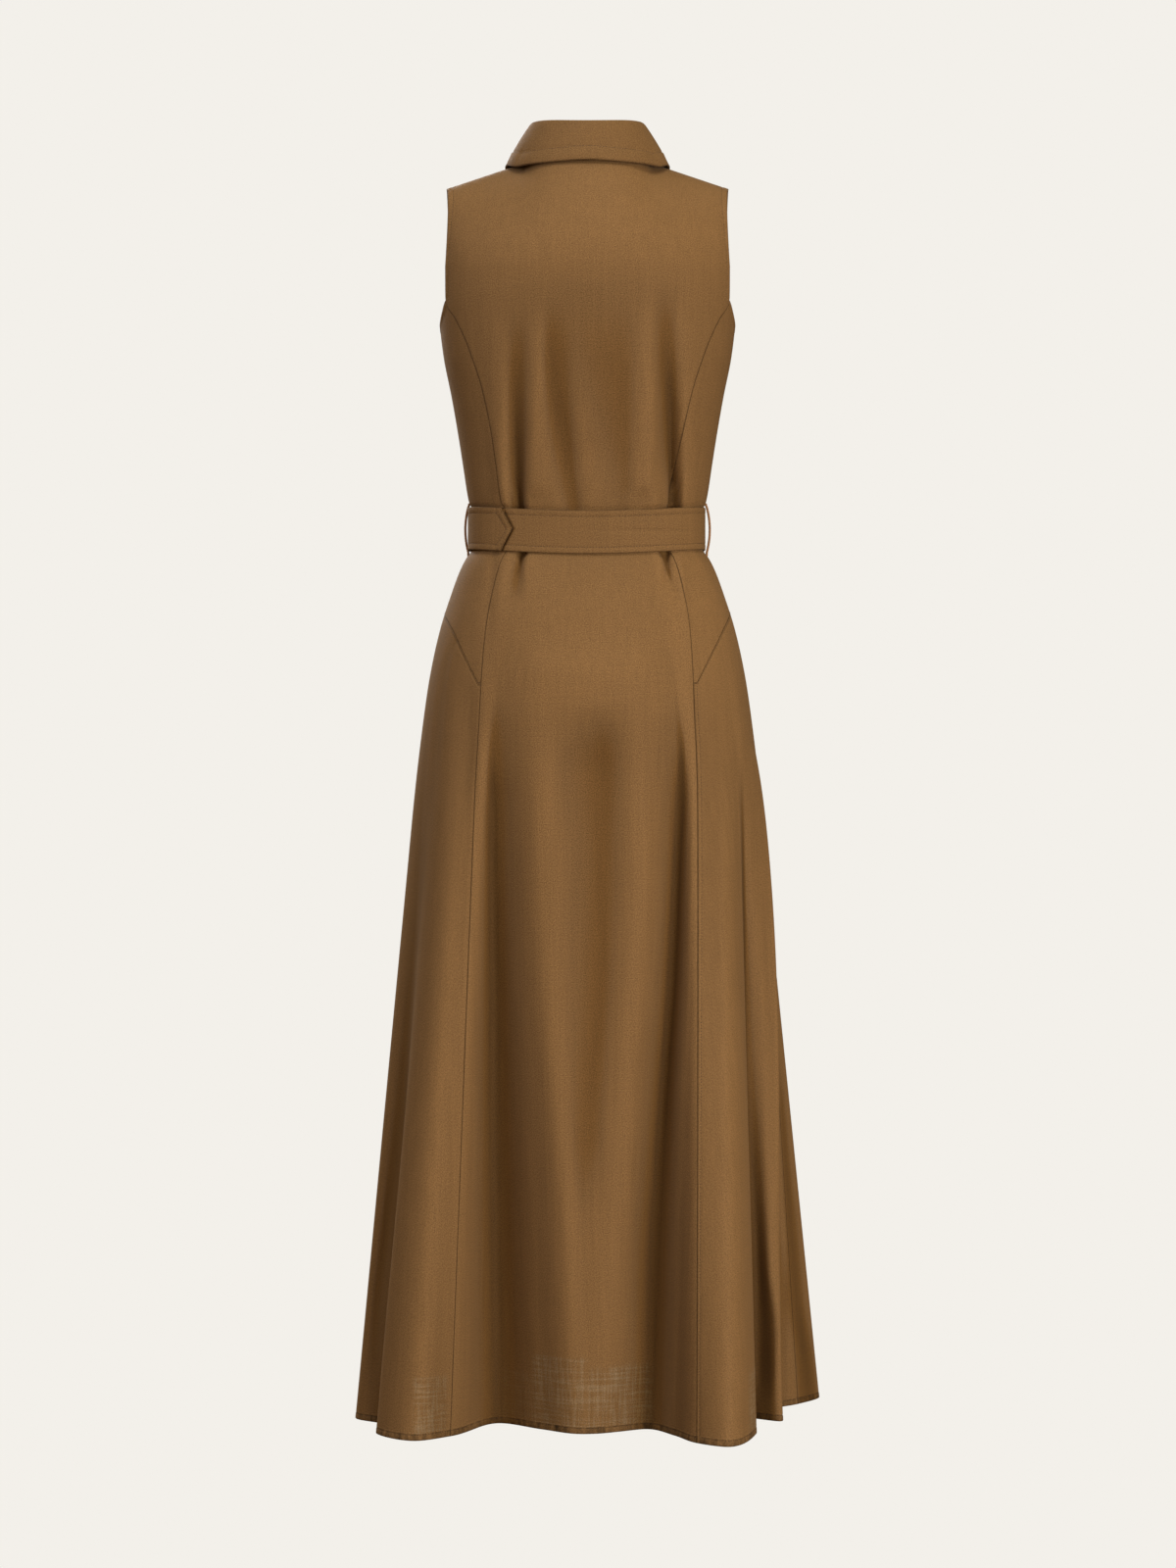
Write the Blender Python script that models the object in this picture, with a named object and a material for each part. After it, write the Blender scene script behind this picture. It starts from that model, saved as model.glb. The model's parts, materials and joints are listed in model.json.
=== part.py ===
"""A sleeveless, belted shirt dress, full length, filled out as worn and open at neck, armholes and hem.

Metres, +Z up. The back of the dress faces -Y and the wearer's right is +X. The origin lies midway
between the neck ends of the shoulder seams, where the wearer holds the dress up.

Every panel is a wall made from points of one smooth form: a trunk of level sections, with the
skirt's folds drawn out of it towards the hem. Angles are degrees round the trunk, 0 at the centre
back, 90 at the wearer's right side, 180 at the centre front. Heights are negative below the origin.
"""

import math
from collections import namedtuple

import bpy
import numpy as np
from mathutils import Vector
from mathutils.bvhtree import BVHTree

# Cloth
CLOTH = 0.0015
SEAM_GAP = 0.0003
LAP_GAP = 0.0003

# Heights
WAIST = -0.391
UNDERARM = -0.178
HEM = -1.3155
BLADE = -0.120
CHEST = -0.148
WAIST_DROOP = 0.009
DROOP_FLAT = 0.030
DROOP_REACH = 0.075

# Neck and shoulders
NECK_HALF = 0.065
NECK_BACK = 0.060
NECK_FRONT = 0.066
NECK_TOP = -0.004
NECK_BACK_DROP = 0.004
NECK_FRONT_DROP = 0.078
SHOULDER_TIP = (0.1483, 0.0, -0.032)

# Directions in which the upper back and front leave the trunk and reach the neck or the shoulder
Way = namedtuple("Way", "neck shoulder")
BACK_LEAVE = Way((0.0, -0.002, 0.120), (-0.010, -0.002, 0.150))
BACK_ARRIVE = Way((0.0, 0.055, 0.050), (0.010, 0.105, 0.008))
FRONT_LEAVE = Way((0.0, -0.010, 0.070), (0.0, -0.010, 0.115))
FRONT_ARRIVE = Way((0.0, -0.052, 0.032), (0.0, -0.078, 0.008))

# Collar stand: its top edge, and how far its right end laps outwards over its left end
STAND_HALF = 0.0553
STAND_BACK = 0.0515
STAND_FRONT = 0.0600
STAND_TOP = 0.0338
STAND_BACK_DROP = 0.0060
STAND_FRONT_DROP = 0.0888
STAND_END = 193.0
STAND_LIFT = 0.0006
STAND_INSET = 0.0005
LAP_FROM = 120.0
LAP_TO = 165.0

# Collar fall: the roll over the stand, as steps outwards and upwards, then straight to its edge
Roll = namedtuple("Roll", "out up")
COLLAR_ROLL = [
    Roll(-0.0012, 0.0025),
    Roll(0.0004, 0.0030),
    Roll(0.0030, 0.0018),
    Roll(0.0060, -0.0008),
]
CollarEdge = namedtuple("CollarEdge", "angle x y z")
COLLAR_EDGE = [
    CollarEdge(0.0, 0.0000, -0.0705, -0.0134),
    CollarEdge(30.0, 0.0430, -0.0612, -0.0146),
    CollarEdge(60.0, 0.0745, -0.0355, -0.0130),
    CollarEdge(90.0, 0.0862, -0.0010, -0.0088),
    CollarEdge(115.0, 0.0830, 0.0320, -0.0240),
    CollarEdge(140.0, 0.0740, 0.0625, -0.0540),
    CollarEdge(158.0, 0.0600, 0.0875, -0.0800),
    CollarEdge(172.0, 0.0430, 0.1003, -0.1030),
]
COLLAR_FALL_ROWS = 4
COLLAR_COLUMNS = 28
COLLAR_BULGE = 0.0012
COLLAR_CLEAR = 0.0034
COLLAR_CLEAR_REACH = 3.0

# Share of the stand's rise above which its lean gives the collar's upward direction
STAND_LEAN_FROM = 0.8
STAND_ROWS = 2

# Front opening
PLACKET_HALF = 0.015
PLACKET_TRIM = 0.05
PLACKET_COLUMNS = 3
PLACKET_SAMPLES = 600
BUTTON_RADIUS = 0.0058
BUTTON_THICK = 0.0026
BUTTON_SIDES = 14
BUTTON_GAP = 0.0004
BODICE_BUTTONS = 4
SKIRT_BUTTONS = 6
BUTTON_FIRST_DROP = 0.045
BUTTON_WAIST_CLEAR = 0.055
BUTTON_HEM_CLEAR = 0.300

# Outline of a button from its back to its dished middle, as shares of its radius and thickness
Ring = namedtuple("Ring", "radius height")
BUTTON_RINGS = [Ring(0.82, 0.0), Ring(1.0, 0.5), Ring(0.88, 1.0), Ring(0.60, 0.80)]

# Belt: one strap that starts at the slide, goes once round and on to its point. Angles run on from
# -180 at the centre front, by the wearer's left side, and past 180 for the second turn
BELT_MIDDLE = -0.3895
BELT_HEIGHT = 0.0445
BELT_THICK = 0.0015
BELT_OFFSET = 0.0018
BELT_LAP_GAP = 0.0005
BELT_START = -178.9
BELT_SHOULDER = 312.0
BELT_CORNER = 316.0
BELT_TIP = 322.5
BELT_LAP_FROM = 130.0
BELT_LAP_TO = 172.0
BELT_STEP = 7.5
BELT_FRONT_EASE = 0.033

# Belt slide, with the strap's fixed end at its middle bar
SLIDE_HALF_WIDTH = 0.019
SLIDE_BAR = 0.0045
SLIDE_RAIL = 0.0040
SLIDE_THICK = 0.0015
SLIDE_MIDDLE = 0.0019
SLIDE_GAP = 0.0004

# Thread loops that hold the belt at the side seams
LOOP_RADIUS = 0.0009
LOOP_OUT = 0.1274
LOOP_REACH = 0.0275
LOOP_SIDES = 8
LOOP_STEPS = 10
LOOP_SQUARENESS = 6

# Hip yoke: its lower seam rises from the princess seam to the side seam and sinks back in front
YOKE_POINT = -0.554
YOKE_RISE = 0.086
YOKE_FROM = 40.0
YOKE_REACH = 20.0
YOKE_FADE = 50.0
SIDE_ANGLE = 93.0

# Roundness of every section: 0 is an ellipse
SQUARENESS = 0.04

Section = namedtuple("Section", "height half_width back_depth front_depth seam_angle")
SECTIONS = [
    Section(-0.120, 0.1578, 0.1145, 0.1130, 66.5),
    Section(-0.155, 0.1570, 0.1140, 0.1210, 67.0),
    Section(-0.178, 0.1550, 0.1130, 0.1260, 58.0),
    Section(-0.210, 0.1510, 0.1110, 0.1310, 51.0),
    Section(-0.250, 0.1430, 0.1060, 0.1310, 47.0),
    Section(-0.290, 0.1360, 0.0990, 0.1220, 44.9),
    Section(-0.325, 0.1305, 0.0920, 0.1100, 43.8),
    Section(-0.352, 0.1264, 0.0880, 0.1015, 43.2),
    Section(-0.3628, 0.1240, 0.0860, 0.0975, 42.9),
    Section(-0.3685, 0.1210, 0.0838, 0.0966, 42.6),
    Section(-0.391, 0.1205, 0.0835, 0.0965, 42.0),
    Section(-0.4115, 0.1212, 0.0842, 0.0967, 42.0),
    Section(-0.4185, 0.1264, 0.0895, 0.0985, 42.0),
    Section(-0.432, 0.1335, 0.0975, 0.1045, 42.0),
    Section(-0.462, 0.1445, 0.1095, 0.1110, 42.0),
    Section(-0.492, 0.1540, 0.1200, 0.1155, 42.0),
    Section(-0.522, 0.1612, 0.1275, 0.1190, 42.0),
    Section(-0.554, 0.1672, 0.1325, 0.1225, 42.0),
    Section(-0.595, 0.1730, 0.1352, 0.1265, 42.0),
    Section(-0.660, 0.1808, 0.1360, 0.1320, 42.0),
    Section(-0.760, 0.1905, 0.1355, 0.1400, 42.0),
    Section(-1.3155, 0.2430, 0.1320, 0.1780, 42.0),
]

# Soft troughs (depth above 0) and ridges (below 0) pressed by the belt into the trunk
Pinch = namedtuple("Pinch", "angle_low angle_high low high width_low width_high depth")
PINCHES = [
    Pinch(-34.0, -27.0, -0.367, -0.205, 0.0055, 0.0120, 0.0065),
    Pinch(-41.0, -42.0, -0.362, -0.215, 0.0070, 0.0130, -0.0020),
    Pinch(44.5, 34.5, -0.367, -0.190, 0.0060, 0.0130, 0.0080),
    Pinch(33.0, 24.0, -0.362, -0.215, 0.0080, 0.0150, -0.0022),
    Pinch(-7.0, -14.0, -0.365, -0.200, 0.0100, 0.0160, 0.0024),
    Pinch(-146.0, -150.0, -0.367, -0.270, 0.0060, 0.0120, 0.0060),
    Pinch(143.0, 149.0, -0.367, -0.255, 0.0060, 0.0120, 0.0065),
    Pinch(-33.0, -31.0, -0.410, -0.485, 0.0055, 0.0100, 0.0060),
    Pinch(39.0, 37.0, -0.410, -0.478, 0.0055, 0.0100, 0.0065),
    Pinch(-140.0, -142.0, -0.410, -0.500, 0.0060, 0.0120, 0.0055),
    Pinch(145.0, 143.0, -0.410, -0.490, 0.0060, 0.0120, 0.0055),
]

# A pinch dies out below its lower end over one part in this many of its length
PINCH_CUT = 30.0
PINCH_FADE = 1.3

# Skirt folds, round from the centre front: angle at the waist and where the cloth hangs free, height
# where the fold starts, place at the hem, and how far the line bows outwards on the way down
Fold = namedtuple("Fold", "name angle_waist angle_hang start hem_x hem_y bow")
FOLDS = [
    Fold("placket edge, left", -172.85, -175.1, -0.60, -0.015, 0.176, 0.0),
    Fold("front left ridge", -158.0, -160.0, -0.60, -0.066, 0.190, 0.0),
    Fold("front left trough", -142.0, -144.0, -0.56, -0.112, 0.150, 0.0),
    Fold("front left flare", -127.0, -127.0, -0.60, -0.172, 0.168, 0.0),
    Fold("left hollow", -108.0, -108.0, -0.62, -0.205, 0.082, 0.0),
    Fold("side seam, left", -93.0, -93.0, -0.60, -0.2310, 0.002, 0.0),
    Fold("left flare", -84.0, -82.0, -0.58, -0.2402, -0.046, 0.0),
    Fold("left recess", -66.0, -68.0, -0.53, -0.2080, -0.080, 0.0),
    Fold("left edge", -58.0, -60.0, -0.51, -0.2138, -0.129, 0.0052),
    Fold("left ridge", -48.0, -45.0, -0.56, -0.1724, -0.1675, 0.0),
    Fold("princess seam, left", -42.0, -38.0, -0.58, -0.1385, -0.1433, 0.0),
    Fold("back left trough", -33.0, -30.3, -0.58, -0.0893, -0.0726, 0.0),
    Fold("back left flank", -23.0, -21.5, -0.58, -0.0465, -0.1060, 0.0),
    Fold("back ridge", -10.0, -9.4, -0.60, -0.0074, -0.1313, 0.0),
    Fold("back shallow trough", 4.0, 4.0, -0.57, 0.0124, -0.1286, 0.0),
    Fold("back low ridge", 16.5, 16.6, -0.60, 0.0324, -0.1186, 0.0),
    Fold("back right trough", 31.5, 29.8, -0.59, 0.0615, -0.1049, 0.0),
    Fold("back right flank", 37.5, 33.8, -0.60, 0.0876, -0.1391, 0.0),
    Fold("princess seam, right", 43.0, 37.4, -0.60, 0.1091, -0.1788, 0.0),
    Fold("right ridge", 50.0, 47.0, -0.60, 0.1380, -0.1985, 0.0),
    Fold("right edge", 57.0, 56.0, -0.61, 0.1710, -0.1300, 0.0),
    Fold("right recess", 62.0, 62.5, -0.61, 0.1640, -0.0420, 0.0),
    Fold("right fin", 78.0, 79.0, -0.62, 0.1990, -0.0618, 0.0115),
    Fold("right inner recess", 86.0, 86.5, -0.62, 0.1945, 0.0080, 0.0),
    Fold("side seam, right", 93.0, 93.0, -0.62, 0.2235, 0.0370, 0.0),
    Fold("right flare", 99.0, 100.0, -0.62, 0.2488, 0.0820, 0.0),
    Fold("right hollow", 118.0, 117.0, -0.62, 0.2080, 0.1180, 0.0),
    Fold("front right flare", 130.0, 130.0, -0.60, 0.1680, 0.1720, 0.0),
    Fold("front right trough", 144.0, 145.0, -0.57, 0.1100, 0.1520, 0.0),
    Fold("front right ridge", 158.0, 160.0, -0.60, 0.0640, 0.1880, 0.0),
    Fold("placket edge, right", 172.85, 175.1, -0.60, 0.015, 0.176, 0.0),
]
HANG = -0.616
FOLD_EASE = 0.06
FOLD_COLUMN = 0.0205

# Brings the highest value of t * (1 - t) ** 2 to 1
BOW_SCALE = 27 / 4

# Rows of points: bodice heights up to the armhole, then shares of the way to the shoulder
BODICE_ROWS = [-0.391, -0.3685, -0.3628, -0.352, -0.325, -0.290, -0.250, -0.210, -0.180, -0.155]
TOP_ROWS = [0.2, 0.4, 0.6, 0.8, 1.0]
SKIRT_UPPER_ROWS = [-0.391, -0.4115, -0.4185, -0.432, -0.462, -0.505, -0.554]
SKIRT_LOWER_ROWS = [-0.554, -0.600, -0.650, -0.730, -0.850, -1.010, -1.160, -1.3155]
NECK_COLUMNS = 6
SHOULDER_COLUMNS = 5
SIDE_COLUMNS = 4
NECK_SHARE = 0.41

# The skirt row down to which the belt's rows stay level
NIP_ROW = 3

# Half steps over which slopes are taken, in degrees round a ring and in a surface's own units
RING_STEP = 0.05
SURFACE_STEP = 0.001

# Points nearer than one part of a metre in this many are one
POINTS_PER_METRE = 1e5

# A sharp corner of a sheet is drawn in as if it were at least this open
LEAST_CORNER = 0.35
SHARP_ANGLE = 50.0
MATT = 0.85
SATIN = 0.35

COLOURS = {
    "cloth": (0.176, 0.088, 0.034),
    "cloth_belt": (0.186, 0.095, 0.038),
    "thread": (0.150, 0.072, 0.026),
    "button": (0.075, 0.040, 0.020),
}


def slopes(knots, values, even):
    """Slopes for a smooth curve through the values, each from its two neighbours.

    Without even, a curve between rising values only rises, and it is level at each top and bottom.
    """
    run = np.diff(knots)
    rise = np.diff(values) / run
    inner = (rise[:-1] * run[1:] + rise[1:] * run[:-1]) / (run[:-1] + run[1:])
    if not even:
        product = np.maximum(rise[:-1] * rise[1:], 0.0)
        total = rise[:-1] + rise[1:]
        inner = 2 * product / np.where(total == 0, 1.0, total)
    return np.concatenate([rise[:1], inner, rise[-1:]])


def smooth(knots, values, at, even=False):
    """Values of a smooth curve through the knots, in rising order, at each place."""
    knots = np.asarray(knots, float)
    values = np.asarray(values, float)
    at = np.clip(np.asarray(at, float), knots[0], knots[-1])
    tangents = slopes(knots, values, even)
    i = np.clip(np.searchsorted(knots, at, side="right") - 1, 0, len(knots) - 2)
    width = knots[i + 1] - knots[i]
    t = (at - knots[i]) / width
    a = (1 + 2 * t) * (1 - t) ** 2 * values[i] + t * (1 - t) ** 2 * width * tangents[i]
    b = t**2 * (3 - 2 * t) * values[i + 1] - t**2 * (1 - t) * width * tangents[i + 1]
    return a + b


def ease(t):
    """0 to 1, flat at both ends."""
    t = np.clip(t, 0.0, 1.0)
    return t * t * (3 - 2 * t)


def hermite(start, leave, end, arrive, t):
    """Points of the curve from start to end that leaves and arrives in the given directions."""
    t = np.asarray(t, float)[..., None]
    return (
        (1 + 2 * t) * (1 - t) ** 2 * start
        + t * (1 - t) ** 2 * leave
        + t**2 * (3 - 2 * t) * end
        - t**2 * (1 - t) * arrive
    )


def between(way, share):
    """The way's direction for the neck at share 0, going over to the shoulder's at share 1."""
    share = np.asarray(share, float)[..., None]
    return np.array(way.neck) * (1 - share) + np.array(way.shoulder) * share


def unit(vectors):
    return vectors / np.linalg.norm(vectors, axis=-1, keepdims=True)


SECTION_TABLE = np.array(SECTIONS[::-1])


def section(height, column):
    return smooth(SECTION_TABLE[:, 0], SECTION_TABLE[:, Section._fields.index(column)], height)


def seam_angle(height):
    """Angle of the bodice's princess seams."""
    return section(height, "seam_angle")


def droop(angle, height):
    """How far the back of the waist sinks, fading away from the waist."""
    back = np.maximum(np.cos(np.radians(angle)), 0.0) ** 2
    away = (np.abs(height - WAIST) - DROOP_FLAT) / DROOP_REACH
    return WAIST_DROOP * back * (1 - ease(away))


def pinch_depth(angle, height, half_width):
    depth = np.zeros(np.broadcast(angle, height).shape)
    for p in PINCHES:
        up = np.clip((height - p.low) / (p.high - p.low), -1.0, 1.0)
        share = np.clip(up, 0.0, 1.0)
        middle = p.angle_low + (p.angle_high - p.angle_low) * share
        width = p.width_low + (p.width_high - p.width_low) * share
        across = np.radians(angle - middle) * half_width / width
        strength = np.where(up < 0, ease(1 + PINCH_CUT * up), (1 - up) ** PINCH_FADE)
        depth = depth + p.depth * strength * np.exp(-(across**2))
    return depth


def trunk(angle, height):
    """Points of the trunk, with the belt's pinches, at angles and design heights."""
    angle, height = np.broadcast_arrays(np.asarray(angle, float), np.asarray(height, float))
    half = section(height, "half_width")
    cosine = np.cos(np.radians(angle))
    sine = np.sin(np.radians(angle))
    depth = np.where(cosine > 0, section(height, "back_depth"), section(height, "front_depth"))
    bulge = 1 + SQUARENESS * np.sin(np.radians(2 * angle)) ** 2
    x = half * sine * bulge
    y = -depth * cosine * bulge
    inward = 1 - pinch_depth(angle, height, half) / np.hypot(x, y)
    return np.stack([x * inward, y * inward, height - droop(angle, height)], axis=-1)


def neck(angle):
    """The neck seam, by angle round the neck."""
    c = np.cos(np.radians(angle))
    x = NECK_HALF * np.sin(np.radians(angle))
    y = np.where(c > 0, -NECK_BACK * c, -NECK_FRONT * c)
    z = NECK_TOP - np.where(c > 0, NECK_BACK_DROP, NECK_FRONT_DROP) * c**2
    return np.stack([x, y, z], axis=-1)


def bodice_top(across, side, neck_start):
    """Neck seam, then shoulder seam, as across goes from neck_start's angle to the armhole."""
    hps_share = np.clip(across / NECK_SHARE, 0.0, 1.0)
    on_neck = neck(neck_start + (90.0 - neck_start) * hps_share)
    along = np.maximum((across - NECK_SHARE) / (1 - NECK_SHARE), 0.0)[..., None]
    points = on_neck + along * (np.array(SHOULDER_TIP) - neck(np.array(90.0)))
    return points * np.array([side, 1.0, 1.0])


def back_top(across, share):
    """The upper back between the shoulder blades' level and the neck and shoulder seams."""
    across, share = np.broadcast_arrays(np.asarray(across, float), np.asarray(share, float))
    side = np.where(across < 0, -1.0, 1.0)
    size = np.abs(across)
    low = trunk(across * seam_angle(BLADE), BLADE)
    flip = np.stack([side, np.ones_like(side), np.ones_like(side)], axis=-1)
    high = bodice_top(size, 1.0, 0.0) * flip
    on_shoulder = ease(size / NECK_SHARE)
    leave = between(BACK_LEAVE, on_shoulder) * flip
    arrive = between(BACK_ARRIVE, on_shoulder) * flip
    return hermite(low, leave, high, arrive, share)


def back_panel(across, row):
    """Back bodice between the princess seams, then the armholes. Rows run from 0 at the waist."""
    last = len(BODICE_ROWS) - 1
    height = smooth(np.arange(last + 2), BODICE_ROWS + [BLADE], np.minimum(row, last + 1))
    lower = trunk(across * seam_angle(height), height)
    upper = back_top(across, row - last - 1)
    return np.where((row > last + 1)[..., None], upper, lower)


def front_edge_share(height):
    """Across share of the placket's edge, which runs straight down the front."""
    half = section(height, "half_width")
    return np.degrees(np.arcsin(PLACKET_HALF / half)) / seam_angle(height)


def front_height(across, row):
    """Front rows tilt down towards the centre, where the neck drops."""
    last = len(BODICE_ROWS) - 1
    level = smooth(np.arange(last + 2), BODICE_ROWS + [BLADE], np.minimum(row, last + 1))
    centre = 1 - ease(across)
    top = BLADE + (CHEST - BLADE) * centre
    return WAIST + (level - WAIST) * (top - WAIST) / (BLADE - WAIST)


def front_trunk(across, height):
    edge = front_edge_share(height)
    share = edge + (1 - edge) * across
    return trunk(180.0 - share * seam_angle(height), height)


def front_panel(across, row, side):
    """Half of the front bodice, from the placket's edge to the armhole."""
    last = len(BODICE_ROWS) - 1
    height = front_height(across, row)
    lower = front_trunk(across, height)
    start = 180.0 - np.degrees(np.arcsin(PLACKET_HALF / NECK_HALF))
    high = bodice_top(across, 1.0, start)
    on_shoulder = ease(across / NECK_SHARE)
    leave = between(FRONT_LEAVE, on_shoulder)
    arrive = between(FRONT_ARRIVE, on_shoulder)
    top_row = np.full_like(height, last + 1.0)
    low = front_trunk(across, front_height(across, top_row))
    upper = hermite(low, leave, high, arrive, row - last - 1)
    points = np.where((row > last + 1)[..., None], upper, lower)
    return mirrored(points, side, across, height)


def mirrored(points, side, across, height):
    """The left half, whose own pinches differ from the right half's."""
    if side > 0:
        return points
    half = section(height, "half_width")
    edge = front_edge_share(height)
    angle = 180.0 - (edge + (1 - edge) * across) * seam_angle(height)
    change = pinch_depth(-angle, height, half) - pinch_depth(angle, height, half)
    inward = 1 - change / np.hypot(points[..., 0], points[..., 1])
    turned = points * np.stack([-inward, inward, np.ones_like(inward)], axis=-1)
    return turned


def side_panel(share, row, side, front):
    """From the side seam, share 0, to the princess line, share 1, under the armhole."""
    level = smooth(np.arange(len(BODICE_ROWS)), BODICE_ROWS, row)
    top = UNDERARM + (BODICE_ROWS[-1] - UNDERARM) * share * np.sqrt(np.abs(share))
    height = WAIST + (level - WAIST) * (top - WAIST) / (BODICE_ROWS[-1] - WAIST)
    if front:
        line = 180.0 - seam_angle(height)
    else:
        line = seam_angle(height)
    angle = SIDE_ANGLE + (line - SIDE_ANGLE) * share
    return trunk(side * angle, height)


def chord_places():
    """Place of each fold round the hem, by straight-line distance."""
    hem = np.array([(f.hem_x, f.hem_y) for f in FOLDS])
    return np.concatenate([[0.0], np.cumsum(np.linalg.norm(np.diff(hem, axis=0), axis=1))])


FOLD_PLACES = chord_places()


def fold_value(column, place):
    even = column in ("hem_x", "hem_y")
    return smooth(FOLD_PLACES, [getattr(f, column) for f in FOLDS], place, even)


def fold_place(name):
    return FOLD_PLACES[[f.name for f in FOLDS].index(name)]


def skirt_angle(place, height):
    down = ease((WAIST - height) / (WAIST - HANG))
    waist = fold_value("angle_waist", place)
    return waist + (fold_value("angle_hang", place) - waist) * down


def skirt(place, height):
    """Points of the skirt at places round it and at design heights."""
    place, height = np.broadcast_arrays(np.asarray(place, float), np.asarray(height, float))
    angle = skirt_angle(place, height)
    points = trunk(angle, height)
    start = fold_value("start", place)
    down = np.clip((start - height) / (start - HEM), 0.0, None)
    grown = (1 + FOLD_EASE) * down**2 / (down + FOLD_EASE)
    hem = trunk(angle, np.full_like(height, HEM))
    points[..., 0] += grown * (fold_value("hem_x", place) - hem[..., 0])
    points[..., 1] += grown * (fold_value("hem_y", place) - hem[..., 1])
    bow = fold_value("bow", place) * BOW_SCALE * down * np.clip(1 - down, 0.0, None) ** 2
    points[..., 0] += bow
    return points


def yoke_seam(angle):
    """Height that the slanting hip seam has at an angle. In front it sinks back to level."""
    turn = np.abs(angle)
    rise = YOKE_RISE * (1 - np.exp(-np.maximum(turn - YOKE_FROM, 0.0) / YOKE_REACH))
    front = ease((turn - SIDE_ANGLE) / YOKE_FADE)
    return YOKE_POINT + rise * (1 - front)


def skirt_height(place, row):
    """Height of a row: 0 at the waist, the yoke's seam at the last upper row, then to the hem."""
    upper = len(SKIRT_UPPER_ROWS) - 1
    rows = SKIRT_UPPER_ROWS + SKIRT_LOWER_ROWS[1:]
    level = smooth(np.arange(len(rows)), rows, row)
    seam = yoke_seam(skirt_angle(place, YOKE_POINT))
    above = WAIST + (level - WAIST) * (seam - WAIST) / (YOKE_POINT - WAIST)
    below = HEM + (level - HEM) * (seam - HEM) / (YOKE_POINT - HEM)
    # A belt's width of rows stays level, so that the cloth is nipped in all round
    nip = SKIRT_UPPER_ROWS[NIP_ROW]
    eased = nip + (level - nip) * (seam - nip) / (YOKE_POINT - nip)
    above = np.where(level > nip, level, eased)
    return np.where(row <= upper, above, below)


def placket(across, row):
    """The strip down the centre front. Rows count down the skirt below 0, up the bodice above 0."""
    across, row = np.broadcast_arrays(np.asarray(across, float), np.asarray(row, float))
    x = PLACKET_HALF * across
    last = len(BODICE_ROWS) - 1
    height = front_height(np.zeros_like(row), np.maximum(row, 0.0))
    turned = np.degrees(np.arcsin(x / section(height, "half_width")))
    lower = trunk(180.0 - turned, height)
    chest = front_height(np.zeros_like(row), np.full_like(row, last + 1.0))
    low = trunk(180.0 - np.degrees(np.arcsin(x / section(chest, "half_width"))), chest)
    high = neck(180.0 - np.degrees(np.arcsin(x / NECK_HALF)))
    upper = hermite(low, np.array(FRONT_LEAVE.neck), high, np.array(FRONT_ARRIVE.neck), row - last - 1)
    bodice = np.where((row > last + 1)[..., None], upper, lower)
    return np.where((row < 0)[..., None], skirt_placket(across, np.maximum(-row, 0.0)), bodice)


def skirt_placket(across, row):
    """The strip between the two front edges of the skirt, rounded like the trunk."""
    left = skirt(0.0, skirt_height(np.zeros_like(row), row))
    end = np.full_like(row, FOLD_PLACES[-1])
    height = skirt_height(end, row)
    right = skirt(end, height)
    points = left + (right - left) * (across[..., None] + 1) / 2
    edge_angle = skirt_angle(end, height)
    round_ = trunk(180.0, height) - trunk(edge_angle, height)
    points[..., 1] += round_[..., 1] * (1 - across**2)
    return points


def plan_normal(curve, angle):
    """Outward level normals of a ring that runs round towards +X at the back."""
    along = curve(angle + RING_STEP) - curve(angle - RING_STEP)
    return unit(np.stack([along[..., 1], -along[..., 0], np.zeros_like(along[..., 0])], axis=-1))


def stand(angle, rise):
    """The collar stand, from the neck seam at rise 0 to its top edge at rise 1."""
    angle, rise = np.broadcast_arrays(np.asarray(angle, float), np.asarray(rise, float))
    c = np.cos(np.radians(angle))
    x = STAND_HALF * np.sin(np.radians(angle))
    y = np.where(c > 0, -STAND_BACK * c, -STAND_FRONT * c)
    z = STAND_TOP - np.where(c > 0, STAND_BACK_DROP, STAND_FRONT_DROP) * c**2
    foot = neck(angle) + np.array([0.0, 0.0, STAND_LIFT])
    rise = rise[..., None]
    points = foot * (1 - rise) + np.stack([x, y, z], axis=-1) * rise
    lapped = ease((angle - LAP_FROM) / (LAP_TO - LAP_FROM))
    shift = (CLOTH + LAP_GAP) * lapped - STAND_INSET
    return points + plan_normal(neck, angle) * shift[..., None]


def collar_edge(angle):
    """The free edge of the collar's fall."""
    mirror = [CollarEdge(-r.angle, -r.x, r.y, r.z) for r in reversed(COLLAR_EDGE[1:])]
    table = np.array(mirror + COLLAR_EDGE)
    return np.stack([smooth(table[:, 0], table[:, k], angle, True) for k in (1, 2, 3)], axis=-1)


def cleared(points, tree, clear):
    """Points that lie at least clear off the faces of tree."""
    moved = points.reshape(-1, 3).copy()
    for k, point in enumerate(moved):
        near, normal, _, _ = tree.find_nearest(Vector(point))
        height = (Vector(point) - near).dot(normal)
        if height < clear and (Vector(point) - near).length < COLLAR_CLEAR_REACH * clear:
            moved[k] = Vector(point) + normal * (clear - height)
    return moved.reshape(points.shape)


def through(stations, row):
    """Points of a smooth curve that is at each station when row is its number."""
    stations = np.stack(stations)
    last = len(stations) - 1
    i = np.clip(np.floor(row).astype(int), 0, last - 1)

    def pick(k):
        return np.take_along_axis(stations, np.clip(k, 0, last)[None, ..., None], axis=0)[0]

    before, start, end, after = pick(i - 1), pick(i), pick(i + 1), pick(i + 2)
    return hermite(start, (end - before) / 2, end, (after - start) / 2, row - i)


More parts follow.
